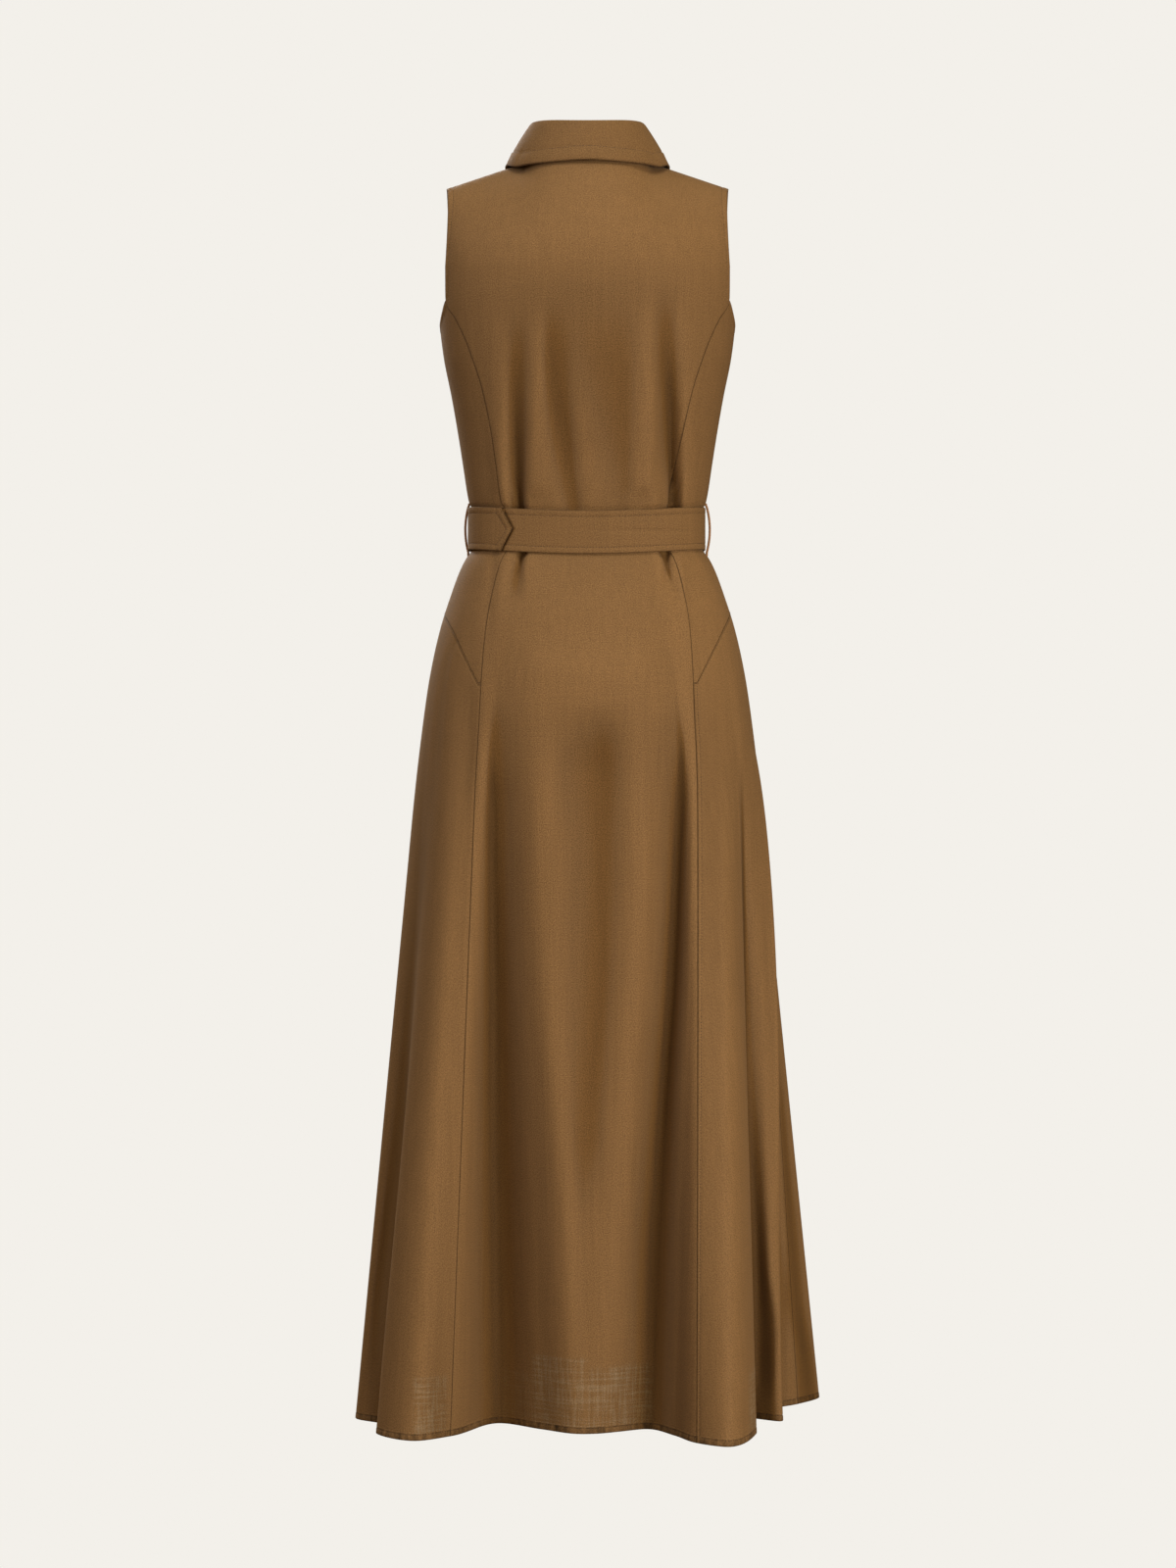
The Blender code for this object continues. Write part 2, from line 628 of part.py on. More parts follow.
def fall(angle, row, tree):
    """The collar's fall, which rolls over the stand's top edge and then runs down to its own edge."""
    top = stand(angle, 1.0)
    along = unit(stand(angle + RING_STEP, 1.0) - stand(angle - RING_STEP, 1.0))
    up = top - stand(angle, STAND_LEAN_FROM)
    up = unit(up - along * np.sum(up * along, axis=-1, keepdims=True))
    out = np.cross(along, up)
    stations = [top + out * r.out + up * r.up for r in COLLAR_ROLL]
    start = stations[-1]
    edge = collar_edge(angle)
    for k in range(1, COLLAR_FALL_ROWS + 1):
        share = k / COLLAR_FALL_ROWS
        point = start + (edge - start) * share + out * COLLAR_BULGE * 4 * share * (1 - share)
        stations.append(cleared(point, tree, COLLAR_CLEAR))
    return through(stations, row)


def belt_turn(along, up):
    """The angle round the waist; the last stretch runs out to the strap's point."""
    past = np.clip((along - BELT_SHOULDER) / (BELT_CORNER - BELT_SHOULDER), 0.0, 1.0)
    return along + past * (BELT_TIP - BELT_CORNER) * (1 - np.abs(up))


def waist_ring(angle):
    return trunk(angle, WAIST)


def belt(along, up):
    """The strap's outer face. Up runs from -1 at its lower edge to 1 at its upper edge."""
    turn = belt_turn(along, up)
    ring = waist_ring(turn)
    lapped = ease((turn - BELT_LAP_FROM) / (BELT_LAP_TO - BELT_LAP_FROM))
    over = ease((PLACKET_HALF + BELT_FRONT_EASE - np.abs(ring[..., 0])) / BELT_FRONT_EASE)
    over = over * (ring[..., 1] > 0)
    offset = BELT_OFFSET + BELT_THICK + (BELT_THICK + BELT_LAP_GAP) * lapped + (CLOTH + LAP_GAP) * over
    points = ring + plan_normal(waist_ring, turn) * offset[..., None]
    points[..., 2] = BELT_MIDDLE - droop(turn, WAIST) + up * BELT_HEIGHT / 2
    return points


def normals_of(surface, a, b):
    """Outward normals of surface(a, b), where a runs round towards +X at the back and b upwards."""
    round_ = surface(a + SURFACE_STEP, b) - surface(a - SURFACE_STEP, b)
    up = surface(a, b + SURFACE_STEP) - surface(a, b - SURFACE_STEP)
    return unit(np.cross(round_, up))


Grid = namedtuple("Grid", "points normals")


def grid_of(surface, a, b):
    """A grid of points and normals, rows by columns. The surface takes two arrays."""
    columns, rows = np.meshgrid(a, b)
    points = surface(columns, rows)
    normals = normals_of(surface, columns, rows)
    outward = np.array([points[..., 0], points[..., 1], np.zeros(points.shape[:2])])
    agree = np.sum(np.moveaxis(outward, 0, -1) * normals)
    return Grid(points, normals if agree > 0 else -normals)


def merged(grids):
    """One set of points, normals and triangles, with the points that grids share made one."""
    index = {}
    points, normals, faces = [], [], []
    for grid in grids:
        rows, columns = grid.points.shape[:2]
        number = np.empty((rows, columns), int)
        for k in range(rows):
            for j in range(columns):
                key = tuple(np.round(grid.points[k, j] * POINTS_PER_METRE).astype(int))
                if key not in index:
                    index[key] = len(points)
                    points.append(grid.points[k, j])
                    normals.append(grid.normals[k, j])
                number[k, j] = index[key]
        for k in range(rows - 1):
            for j in range(columns - 1):
                a, b = number[k, j], number[k, j + 1]
                c, d = number[k + 1, j + 1], number[k + 1, j]
                corners = [(a, b, c), (a, c, d)]
                faces.extend(f for f in corners if len(set(f)) == 3)
    points = np.array(points)
    normals = np.array(normals)
    faces = np.array(faces)
    flat = np.cross(points[faces[:, 1]] - points[faces[:, 0]], points[faces[:, 2]] - points[faces[:, 0]])
    inside_out = np.sum(flat * normals[faces].sum(axis=1), axis=1) < 0
    faces[inside_out] = faces[inside_out][:, ::-1]
    return points, normals, faces


def border_of(faces):
    """Directed edges that belong to one face only."""
    edges = {}
    for a, b, c in faces:
        for edge in ((a, b), (b, c), (c, a)):
            edges[edge] = True
    return [edge for edge in edges if (edge[1], edge[0]) not in edges]


def drawn_in(points, normals, border, by):
    """Border points moved inwards along the sheet, square to each border edge."""
    inward = {}
    for a, b in border:
        edge = points[b] - points[a]
        for end in (a, b):
            square = np.cross(normals[end], edge)
            inward.setdefault(end, []).append(square / np.linalg.norm(square))
    moved = points.copy()
    for vertex, squares in inward.items():
        total = np.sum(squares, axis=0)
        together = max(LEAST_CORNER, 1 + float(np.dot(squares[0], squares[-1])))
        moved[vertex] = points[vertex] + by * total / together
    return moved


def wall_mesh(name, grids, thick=CLOTH, lift=0.0):
    """A closed wall: the sheet's outer face, its inner face and a rim round every border."""
    points, normals, faces = merged(grids)
    border = border_of(faces)
    drawn = drawn_in(points, normals, border, SEAM_GAP / 2)
    outer = drawn + normals * lift
    inner = outer - normals * thick
    count = len(points)
    shell = [tuple(f) for f in faces]
    shell += [tuple(v + count for v in reversed(f)) for f in faces]
    for a, b in border:
        # Both walls of a seam split their rims from the lower point, so that the rims stay parallel
        if tuple(points[a][::-1]) < tuple(points[b][::-1]):
            shell += [(a, a + count, b + count), (a, b + count, b)]
        else:
            shell += [(a, a + count, b), (b, a + count, b + count)]
    mesh = bpy.data.meshes.new(name)
    mesh.from_pydata(np.concatenate([outer, inner]).tolist(), [], shell)
    mesh.update()
    return mesh


def material(name):
    """A Principled material of the named colour."""
    made = bpy.data.materials.get(name)
    if made:
        return made
    made = bpy.data.materials.new(name)
    made.use_nodes = True
    shader = made.node_tree.nodes["Principled BSDF"]
    shader.inputs["Base Color"].default_value = (*COLOURS[name], 1.0)
    shader.inputs["Roughness"].default_value = SATIN if name == "button" else MATT
    shader.inputs["Metallic"].default_value = 0.0
    return made


def add_object(name, mesh, material_name="cloth"):
    part = bpy.data.objects.new(name, mesh)
    own = material(material_name).copy()
    own.name = f"{name}_finish"
    mesh.materials.clear()
    mesh.materials.append(own)
    mesh.shade_smooth()
    mesh.set_sharp_from_angle(angle=math.radians(SHARP_ANGLE))
    bpy.context.scene.collection.objects.link(part)
    return part


def clear_scene():
    for old in list(bpy.data.objects):
        bpy.data.objects.remove(old, do_unlink=True)


def across_columns():
    """Across shares of the bodice's columns, from the centre to the armhole."""
    on_neck = np.linspace(0.0, NECK_SHARE, NECK_COLUMNS + 1)
    on_shoulder = np.linspace(NECK_SHARE, 1.0, SHOULDER_COLUMNS + 1)
    return np.concatenate([on_neck, on_shoulder[1:]])


def bodice_rows():
    last = len(BODICE_ROWS) - 1
    return np.concatenate([np.arange(last + 2.0), last + 1 + np.array(TOP_ROWS)])


def build_bodice():
    half = across_columns()
    rows = bodice_rows()
    lower = np.arange(float(len(BODICE_ROWS)))
    shares = np.linspace(0.0, 1.0, SIDE_COLUMNS + 1)
    across = np.concatenate([-half[:0:-1], half])
    centre = grid_of(back_panel, across, rows)
    add_object("bodice_back_centre", wall_mesh("bodice_back_centre", [centre]))
    for side, word in ((-1, "left"), (1, "right")):
        back = grid_of(lambda s, r: side_panel(s, r, side, False), shares, lower)
        name = f"bodice_back_side_{word}"
        add_object(name, wall_mesh(name, [back]))
        main = grid_of(lambda s, r: front_panel(s, r, side), half, rows)
        beside = grid_of(lambda s, r: side_panel(s, r, side, True), shares, lower)
        name = f"bodice_front_{word}"
        add_object(name, wall_mesh(name, [main, beside]))


def skirt_columns(first, last):
    """Places of the skirt's columns between two named folds, closer where the folds are tight."""
    start, end = fold_place(first), fold_place(last)
    knots = [p for p in FOLD_PLACES if start <= p <= end]
    columns = [knots[0]]
    for a, b in zip(knots, knots[1:]):
        steps = max(1, math.ceil((b - a) / FOLD_COLUMN))
        columns.extend(np.linspace(a, b, steps + 1)[1:])
    return np.array(columns)


def skirt_sheet(place, row):
    return skirt(place, skirt_height(place, row))


def add_skirt_panel(name, first, last, row_from, row_to):
    rows = np.arange(float(row_from), row_to + 1.0)
    grid = grid_of(skirt_sheet, skirt_columns(first, last), rows)
    add_object(name, wall_mesh(name, [grid]))


def build_skirt():
    seam_row = len(SKIRT_UPPER_ROWS) - 1
    last = seam_row + len(SKIRT_LOWER_ROWS) - 1
    add_skirt_panel("skirt_back_centre", "princess seam, left", "princess seam, right", 0, last)
    add_skirt_panel("hip_yoke_left", "side seam, left", "princess seam, left", 0, seam_row)
    add_skirt_panel("hip_yoke_right", "princess seam, right", "side seam, right", 0, seam_row)
    add_skirt_panel("skirt_side_back_left", "side seam, left", "princess seam, left", seam_row, last)
    add_skirt_panel("skirt_side_back_right", "princess seam, right", "side seam, right", seam_row, last)
    add_skirt_panel("skirt_front_left", "placket edge, left", "side seam, left", 0, last)
    add_skirt_panel("skirt_front_right", "side seam, right", "placket edge, right", 0, last)


def build_collar():
    angles = np.linspace(-STAND_END, STAND_END, COLLAR_COLUMNS + 3)
    grid = grid_of(stand, angles, np.linspace(0.0, 1.0, STAND_ROWS + 1))
    add_object("collar_stand", wall_mesh("collar_stand", [grid]))
    tree = surface_tree([o for o in bpy.data.objects if o.name.startswith("bodice")])
    widest = COLLAR_EDGE[-1].angle
    angles = np.linspace(-widest, widest, COLLAR_COLUMNS + 1)
    rows = np.arange(len(COLLAR_ROLL) + COLLAR_FALL_ROWS - 0.0)
    grid = grid_of(lambda a, r: fall(a, r, tree), angles, rows)
    add_object("collar_fall", wall_mesh("collar_fall", [grid]))


def surface_tree(objects):
    """One search tree over the faces of several objects."""
    points, faces = [], []
    for part in objects:
        first = len(points)
        points.extend(v.co.copy() for v in part.data.vertices)
        faces.extend([first + v for v in p.vertices] for p in part.data.polygons)
    return BVHTree.FromPolygons(points, faces)


def placket_rows():
    down = np.arange(len(SKIRT_UPPER_ROWS) + len(SKIRT_LOWER_ROWS) - 2.0, 0.0, -1.0)
    return np.concatenate([-down, bodice_rows()])


def build_plackets():
    across = np.linspace(-1.0, 1.0, PLACKET_COLUMNS + 1)
    rows = placket_rows()
    add_object("placket_under", wall_mesh("placket_under", [grid_of(placket, across, rows)]))
    rows[-1] -= PLACKET_TRIM
    over = wall_mesh("placket_over", [grid_of(placket, across, rows)], lift=CLOTH + LAP_GAP)
    add_object("placket_over", over)


def button_places():
    """Middles and outward normals of the buttons, down from the collar stand."""
    rows = np.linspace(placket_rows()[0], placket_rows()[-1], PLACKET_SAMPLES)
    line = placket(np.zeros_like(rows), rows)
    top = line[-1, 2]
    on_bodice = np.linspace(top - BUTTON_FIRST_DROP, WAIST + BUTTON_WAIST_CLEAR, BODICE_BUTTONS)
    on_skirt = np.linspace(WAIST - BUTTON_WAIST_CLEAR, HEM + BUTTON_HEM_CLEAR, SKIRT_BUTTONS)
    row = np.interp(np.concatenate([on_bodice, on_skirt]), line[:, 2], rows)
    middle = np.zeros_like(row)
    normals = normals_of(placket, middle, row)
    normals *= np.sign(normals[:, 1:2])
    points = placket(middle, row) + normals * (CLOTH + LAP_GAP)
    collar_normal = normals_of(stand, np.array([180.0]), np.array([0.5]))
    collar_normal *= np.sign(collar_normal[:, 1:2])
    collar_point = stand(np.array([180.0]), 0.5)
    return np.concatenate([collar_point, points]), np.concatenate([collar_normal, normals])


def turned_mesh(name, profile, middle, normal, sides):
    """A closed turned body on an axis: rings of the profile's radius and height, then a middle."""
    up = Vector(normal)
    frame = up.to_track_quat("Z", "Y").to_matrix()
    points = []
    for radius, height in profile:
        for k in range(sides):
            angle = 2 * math.pi * k / sides
            local = Vector((radius * math.cos(angle), radius * math.sin(angle), height))
            points.append(Vector(middle) + frame @ local)
    points.append(Vector(middle) + up * profile[0][1])
    points.append(Vector(middle) + up * profile[-1][1])
    bottom, top = len(points) - 2, len(points) - 1
    faces = []
    for k in range(sides):
        after = (k + 1) % sides
        faces.append((bottom, after, k))
        for ring in range(len(profile) - 1):
            low, high = ring * sides, (ring + 1) * sides
            faces.append((low + k, low + after, high + after, high + k))
        last = (len(profile) - 1) * sides
        faces.append((last + k, last + after, top))
    mesh = bpy.data.meshes.new(name)
    mesh.from_pydata([tuple(p) for p in points], [], faces)
    mesh.update()
    return mesh


def build_buttons():
    profile = [(BUTTON_RADIUS * r.radius, BUTTON_THICK * r.height) for r in BUTTON_RINGS]
    middles, normals = button_places()
    for k, (middle, normal) in enumerate(zip(middles, normals), start=1):
        name = f"button_{k}"
        mesh = turned_mesh(name, profile, middle + normal * BUTTON_GAP, normal, BUTTON_SIDES)
        add_object(name, mesh, "button")


def block_mesh(name, edges, filled):
    """One closed body from the filled cells of a grid, given its cell edges on x, y and z."""
    numbers, points, faces = {}, [], []
    for cell in filled:
        for axis in range(3):
            for step in (0, 1):
                beside = list(cell)
                beside[axis] += 2 * step - 1
                if tuple(beside) in filled:
                    continue
                quad = []
                for du, dv in ((0, 0), (1, 0), (1, 1), (0, 1)):
                    corner = list(cell)
                    corner[axis] += step
                    corner[(axis + 1) % 3] += du
                    corner[(axis + 2) % 3] += dv
                    key = tuple(corner)
                    if key not in numbers:
                        numbers[key] = len(points)
                        points.append([edges[d][key[d]] for d in range(3)])
                    quad.append(numbers[key])
                faces.append(quad if step else quad[::-1])
    mesh = bpy.data.meshes.new(name)
    mesh.from_pydata(points, [], faces)
    mesh.update()
    return mesh


def build_belt():
    steps = math.ceil((BELT_SHOULDER - BELT_START) / BELT_STEP)
    along = np.append(np.linspace(BELT_START, BELT_SHOULDER, steps + 1), BELT_CORNER)
    up = np.array([-1.0, 0.0, 1.0])
    add_object("belt", wall_mesh("belt", [grid_of(belt, along, up)], thick=BELT_THICK), "cloth_belt")
    inner = trunk(180.0, WAIST)[1] + BELT_OFFSET + CLOTH + LAP_GAP
    over = inner + 2 * BELT_THICK + BELT_LAP_GAP + SLIDE_GAP
    bar = SLIDE_HALF_WIDTH - SLIDE_BAR
    half = BELT_HEIGHT / 2 + SLIDE_GAP
    edges = [
        [-SLIDE_HALF_WIDTH, -bar, -SLIDE_MIDDLE, SLIDE_MIDDLE, bar, SLIDE_HALF_WIDTH],
        [inner, inner + SLIDE_THICK, over, over + SLIDE_THICK],
        [BELT_MIDDLE + z for z in (-half - SLIDE_RAIL, -half, half, half + SLIDE_RAIL)],
    ]
    rails = {(i, j, k) for i in range(5) for j in range(3) for k in (0, 2)}
    bars = {(2, 0, 1), (0, 2, 1), (4, 2, 1)}
    add_object("belt_slide", block_mesh("belt_slide", edges, rails | bars), "cloth_belt")


def loop_path(side):
    """Middle line of a thread loop, from below the belt to above it."""
    s = np.linspace(-1.0, 1.0, LOOP_STEPS + 1)
    height = BELT_MIDDLE + LOOP_REACH * s
    ends = trunk(np.full(2, SIDE_ANGLE), height[[0, -1]])
    x = np.interp(height, height[[0, -1]], ends[:, 0]) + LOOP_RADIUS + SEAM_GAP
    x = x + (LOOP_OUT - x) * (1 - s**LOOP_SQUARENESS)
    return np.stack([side * x, np.full_like(x, ends[:, 1].mean()), height], axis=-1)


def tube_mesh(name, path, radius, sides):
    """A round closed tube along a path that stays in one upright plane facing Y."""
    slope = unit(np.gradient(path, axis=0))
    across = np.array([0.0, 1.0, 0.0])
    square = np.cross(slope, across)
    points, faces = [], []
    for k, middle in enumerate(path):
        for j in range(sides):
            turn = 2 * math.pi * j / sides
            points.append(middle + radius * (math.cos(turn) * square[k] + math.sin(turn) * across))
    for k in range(len(path) - 1):
        for j in range(sides):
            after = (j + 1) % sides
            low, high = k * sides, (k + 1) * sides
            faces.append((low + j, high + j, high + after, low + after))
    last = (len(path) - 1) * sides
    faces.append(tuple(range(sides)))
    faces.append(tuple(range(last, last + sides))[::-1])
    mesh = bpy.data.meshes.new(name)
    mesh.from_pydata([tuple(p) for p in points], [], faces)
    mesh.update()
    return mesh


def build_loops():
    for side, word in ((-1, "left"), (1, "right")):
        name = f"thread_loop_{word}"
        add_object(name, tube_mesh(name, loop_path(side), LOOP_RADIUS, LOOP_SIDES), "thread")


clear_scene()
build_bodice()
build_skirt()
build_collar()
build_plackets()
build_buttons()
build_belt()
build_loops()
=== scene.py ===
"""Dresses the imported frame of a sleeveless, belted shirt dress: cloth, stitching, buttons, belt and stage.

Metres, +Z up. The back of the dress faces -Y and the wearer's right is +X. Every cloth piece is a sheet
sampled from the same smooth form as the frame: a trunk of level sections with the skirt's folds drawn
out of it. Angles are degrees round the trunk, 0 at the centre back, 180 at the centre front.
"""

import json
import math
from collections import namedtuple

import bmesh
import bpy
import numpy as np
from mathutils import Matrix, Vector
from mathutils.bvhtree import BVHTree

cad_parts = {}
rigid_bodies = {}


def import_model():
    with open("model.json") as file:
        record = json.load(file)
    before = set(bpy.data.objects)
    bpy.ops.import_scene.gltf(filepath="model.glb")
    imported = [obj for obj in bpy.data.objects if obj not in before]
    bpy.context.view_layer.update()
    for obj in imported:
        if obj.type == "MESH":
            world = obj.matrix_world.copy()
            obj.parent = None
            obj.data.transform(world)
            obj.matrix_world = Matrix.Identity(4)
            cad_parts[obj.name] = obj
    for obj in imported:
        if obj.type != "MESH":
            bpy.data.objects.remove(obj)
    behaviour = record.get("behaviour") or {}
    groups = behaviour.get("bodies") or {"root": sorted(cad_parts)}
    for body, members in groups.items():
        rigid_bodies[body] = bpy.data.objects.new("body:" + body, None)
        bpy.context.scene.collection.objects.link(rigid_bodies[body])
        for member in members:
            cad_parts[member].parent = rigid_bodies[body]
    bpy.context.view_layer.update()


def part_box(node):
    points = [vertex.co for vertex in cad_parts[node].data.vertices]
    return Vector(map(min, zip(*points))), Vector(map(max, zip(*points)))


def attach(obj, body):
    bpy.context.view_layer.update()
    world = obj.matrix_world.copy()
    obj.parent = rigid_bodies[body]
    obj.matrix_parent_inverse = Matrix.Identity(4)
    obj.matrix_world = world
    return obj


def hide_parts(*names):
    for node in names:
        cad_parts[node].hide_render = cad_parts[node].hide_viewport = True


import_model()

bl_info = {
    "name": "Shirt Dress",
    "version": (1, 0, 0),
    "blender": (4, 5, 0),
    "location": "3D View > Sidebar > Dress",
    "description": "Sews a sleeveless, belted shirt dress around its packed frame",
    "category": "Add Mesh",
}

# Cloth
CLOTH = 0.0015
LAP_GAP = 0.0003

# Heights
WAIST = -0.391
UNDERARM = -0.178
HEM = -1.3155
BLADE = -0.120
CHEST = -0.148
WAIST_DROOP = 0.009
DROOP_FLAT = 0.030
DROOP_REACH = 0.075

# Neck and shoulders
NECK_HALF = 0.065
NECK_BACK = 0.060
NECK_FRONT = 0.066
NECK_TOP = -0.004
NECK_BACK_DROP = 0.004
NECK_FRONT_DROP = 0.078
SHOULDER_TIP = (0.1483, 0.0, -0.032)

# Directions in which the upper back and front leave the trunk and reach the neck or the shoulder
Way = namedtuple("Way", "neck shoulder")
BACK_LEAVE = Way((0.0, -0.002, 0.120), (-0.010, -0.002, 0.150))
BACK_ARRIVE = Way((0.0, 0.055, 0.050), (0.010, 0.105, 0.008))
FRONT_LEAVE = Way((0.0, -0.010, 0.070), (0.0, -0.010, 0.115))
FRONT_ARRIVE = Way((0.0, -0.052, 0.032), (0.0, -0.078, 0.008))

# Collar stand: its top edge, and how far its right end laps outwards over its left end
STAND_HALF = 0.0553
STAND_BACK = 0.0515
STAND_FRONT = 0.0600
STAND_TOP = 0.0338
STAND_BACK_DROP = 0.0060
STAND_FRONT_DROP = 0.0888
STAND_END = 193.0
STAND_LIFT = 0.0006
STAND_INSET = 0.0005
LAP_FROM = 120.0
LAP_TO = 165.0

# Collar fall: the roll over the stand, as steps outwards and upwards, then straight to its edge
Roll = namedtuple("Roll", "out up")
COLLAR_ROLL = [
    Roll(-0.0012, 0.0025),
    Roll(0.0004, 0.0030),
    Roll(0.0030, 0.0018),
    Roll(0.0060, -0.0008),
]
CollarEdge = namedtuple("CollarEdge", "angle x y z")
COLLAR_EDGE = [CollarEdge(*row) for row in (
    (0.0, 0.0000, -0.0705, -0.0134), (30.0, 0.0430, -0.0612, -0.0146), (60.0, 0.0745, -0.0355, -0.0130),
    (90.0, 0.0862, -0.0010, -0.0088), (115.0, 0.0830, 0.0320, -0.0240), (140.0, 0.0740, 0.0625, -0.0540),
    (158.0, 0.0600, 0.0875, -0.0800), (172.0, 0.0430, 0.1003, -0.1030),
)]
COLLAR_FALL_ROWS = 4
COLLAR_BULGE = 0.0012
COLLAR_CLEAR = 0.0024
COLLAR_CLEAR_REACH = 3.0
COLLAR_SETTLES = 0.012
COLLAR_PULL = 0.35

# Angles round the neck from which the pull on the collar grows, and from which it fades backwards
Span = namedtuple("Span", "start over")
PULL_FROM = Span(10.0, 70.0)
PULL_TO = Span(125.0, 20.0)

# Share of the stand's rise above which its lean gives the collar's upward direction
STAND_LEAN_FROM = 0.8

# Front opening
PLACKET_HALF = 0.015
PLACKET_TRIM = 0.05
PLACKET_SPACING = 0.006
BUTTON_RADIUS = 0.0058
BUTTON_THICK = 0.0026
BODICE_BUTTONS = 4
SKIRT_BUTTONS = 6


# Belt: one strap that starts at the slide, goes once round and on to its point. Angles run on from
# -180 at the centre front, by the wearer's left side, and past 180 for the second turn
BELT_MIDDLE = -0.3895
BELT_HEIGHT = 0.0445
BELT_THICK = 0.0015
BELT_OFFSET = 0.0018
BELT_LAP_GAP = 0.0005
BELT_START = -178.9
BELT_SHOULDER = 312.0
BELT_CORNER = 316.0
BELT_TIP = 322.5
BELT_LAP_FROM = 130.0
BELT_LAP_TO = 172.0
BELT_FRONT_EASE = 0.033

# Belt slide, with the strap's fixed end at its middle bar
SLIDE_HALF_WIDTH = 0.019
SLIDE_BAR = 0.0045
SLIDE_RAIL = 0.0040
SLIDE_MIDDLE = 0.0019
SLIDE_GAP = 0.0004

# Thread loops that hold the belt at the side seams
LOOP_REACH = 0.0275

# Hip yoke: its lower seam rises from the princess seam to the side seam and sinks back in front
YOKE_POINT = -0.554
YOKE_RISE = 0.086
YOKE_FROM = 40.0
YOKE_REACH = 20.0
YOKE_FADE = 50.0
SIDE_ANGLE = 93.0

# Roundness of every section: 0 is an ellipse
SQUARENESS = 0.04

Section = namedtuple("Section", "height half_width back_depth front_depth seam_angle")
SECTIONS = [Section(*row) for row in (
    (-0.120, 0.1578, 0.1145, 0.1130, 66.5), (-0.155, 0.1570, 0.1140, 0.1210, 67.0),
    (-0.178, 0.1550, 0.1130, 0.1260, 58.0), (-0.210, 0.1510, 0.1110, 0.1310, 51.0),
    (-0.250, 0.1430, 0.1060, 0.1310, 47.0), (-0.290, 0.1360, 0.0990, 0.1220, 44.9),
    (-0.325, 0.1305, 0.0920, 0.1100, 43.8), (-0.352, 0.1264, 0.0880, 0.1015, 43.2),
    (-0.3628, 0.1240, 0.0860, 0.0975, 42.9), (-0.3685, 0.1210, 0.0838, 0.0966, 42.6),
    (-0.391, 0.1205, 0.0835, 0.0965, 42.0), (-0.4115, 0.1212, 0.0842, 0.0967, 42.0),
    (-0.4185, 0.1264, 0.0895, 0.0985, 42.0), (-0.432, 0.1335, 0.0975, 0.1045, 42.0),
    (-0.462, 0.1445, 0.1095, 0.1110, 42.0), (-0.492, 0.1540, 0.1200, 0.1155, 42.0),
    (-0.522, 0.1612, 0.1275, 0.1190, 42.0), (-0.554, 0.1672, 0.1325, 0.1225, 42.0),
    (-0.595, 0.1730, 0.1352, 0.1265, 42.0), (-0.660, 0.1808, 0.1360, 0.1320, 42.0),
    (-0.760, 0.1905, 0.1355, 0.1400, 42.0), (-1.3155, 0.2430, 0.1320, 0.1780, 42.0),
)]

# Soft troughs (depth above 0) and ridges (below 0) pressed by the belt into the trunk
Pinch = namedtuple("Pinch", "angle_low angle_high low high width_low width_high depth")
PINCHES = [Pinch(*row) for row in (
    (-34.0, -27.0, -0.367, -0.205, 0.0055, 0.0120, 0.0065),
    (-41.0, -42.0, -0.362, -0.215, 0.0070, 0.0130, -0.0020),
    (44.5, 34.5, -0.367, -0.190, 0.0060, 0.0130, 0.0080),
    (33.0, 24.0, -0.362, -0.215, 0.0080, 0.0150, -0.0022),
    (-7.0, -14.0, -0.365, -0.200, 0.0100, 0.0160, 0.0024),
    (-146.0, -150.0, -0.367, -0.270, 0.0060, 0.0120, 0.0060),
    (143.0, 149.0, -0.367, -0.255, 0.0060, 0.0120, 0.0065),
    (-33.0, -31.0, -0.410, -0.485, 0.0055, 0.0100, 0.0060),
    (39.0, 37.0, -0.410, -0.478, 0.0055, 0.0100, 0.0065),
    (-140.0, -142.0, -0.410, -0.500, 0.0060, 0.0120, 0.0055),
    (145.0, 143.0, -0.410, -0.490, 0.0060, 0.0120, 0.0055),
)]

# A pinch dies out below its lower end over one part in this many of its length
PINCH_CUT = 30.0
PINCH_FADE = 1.3

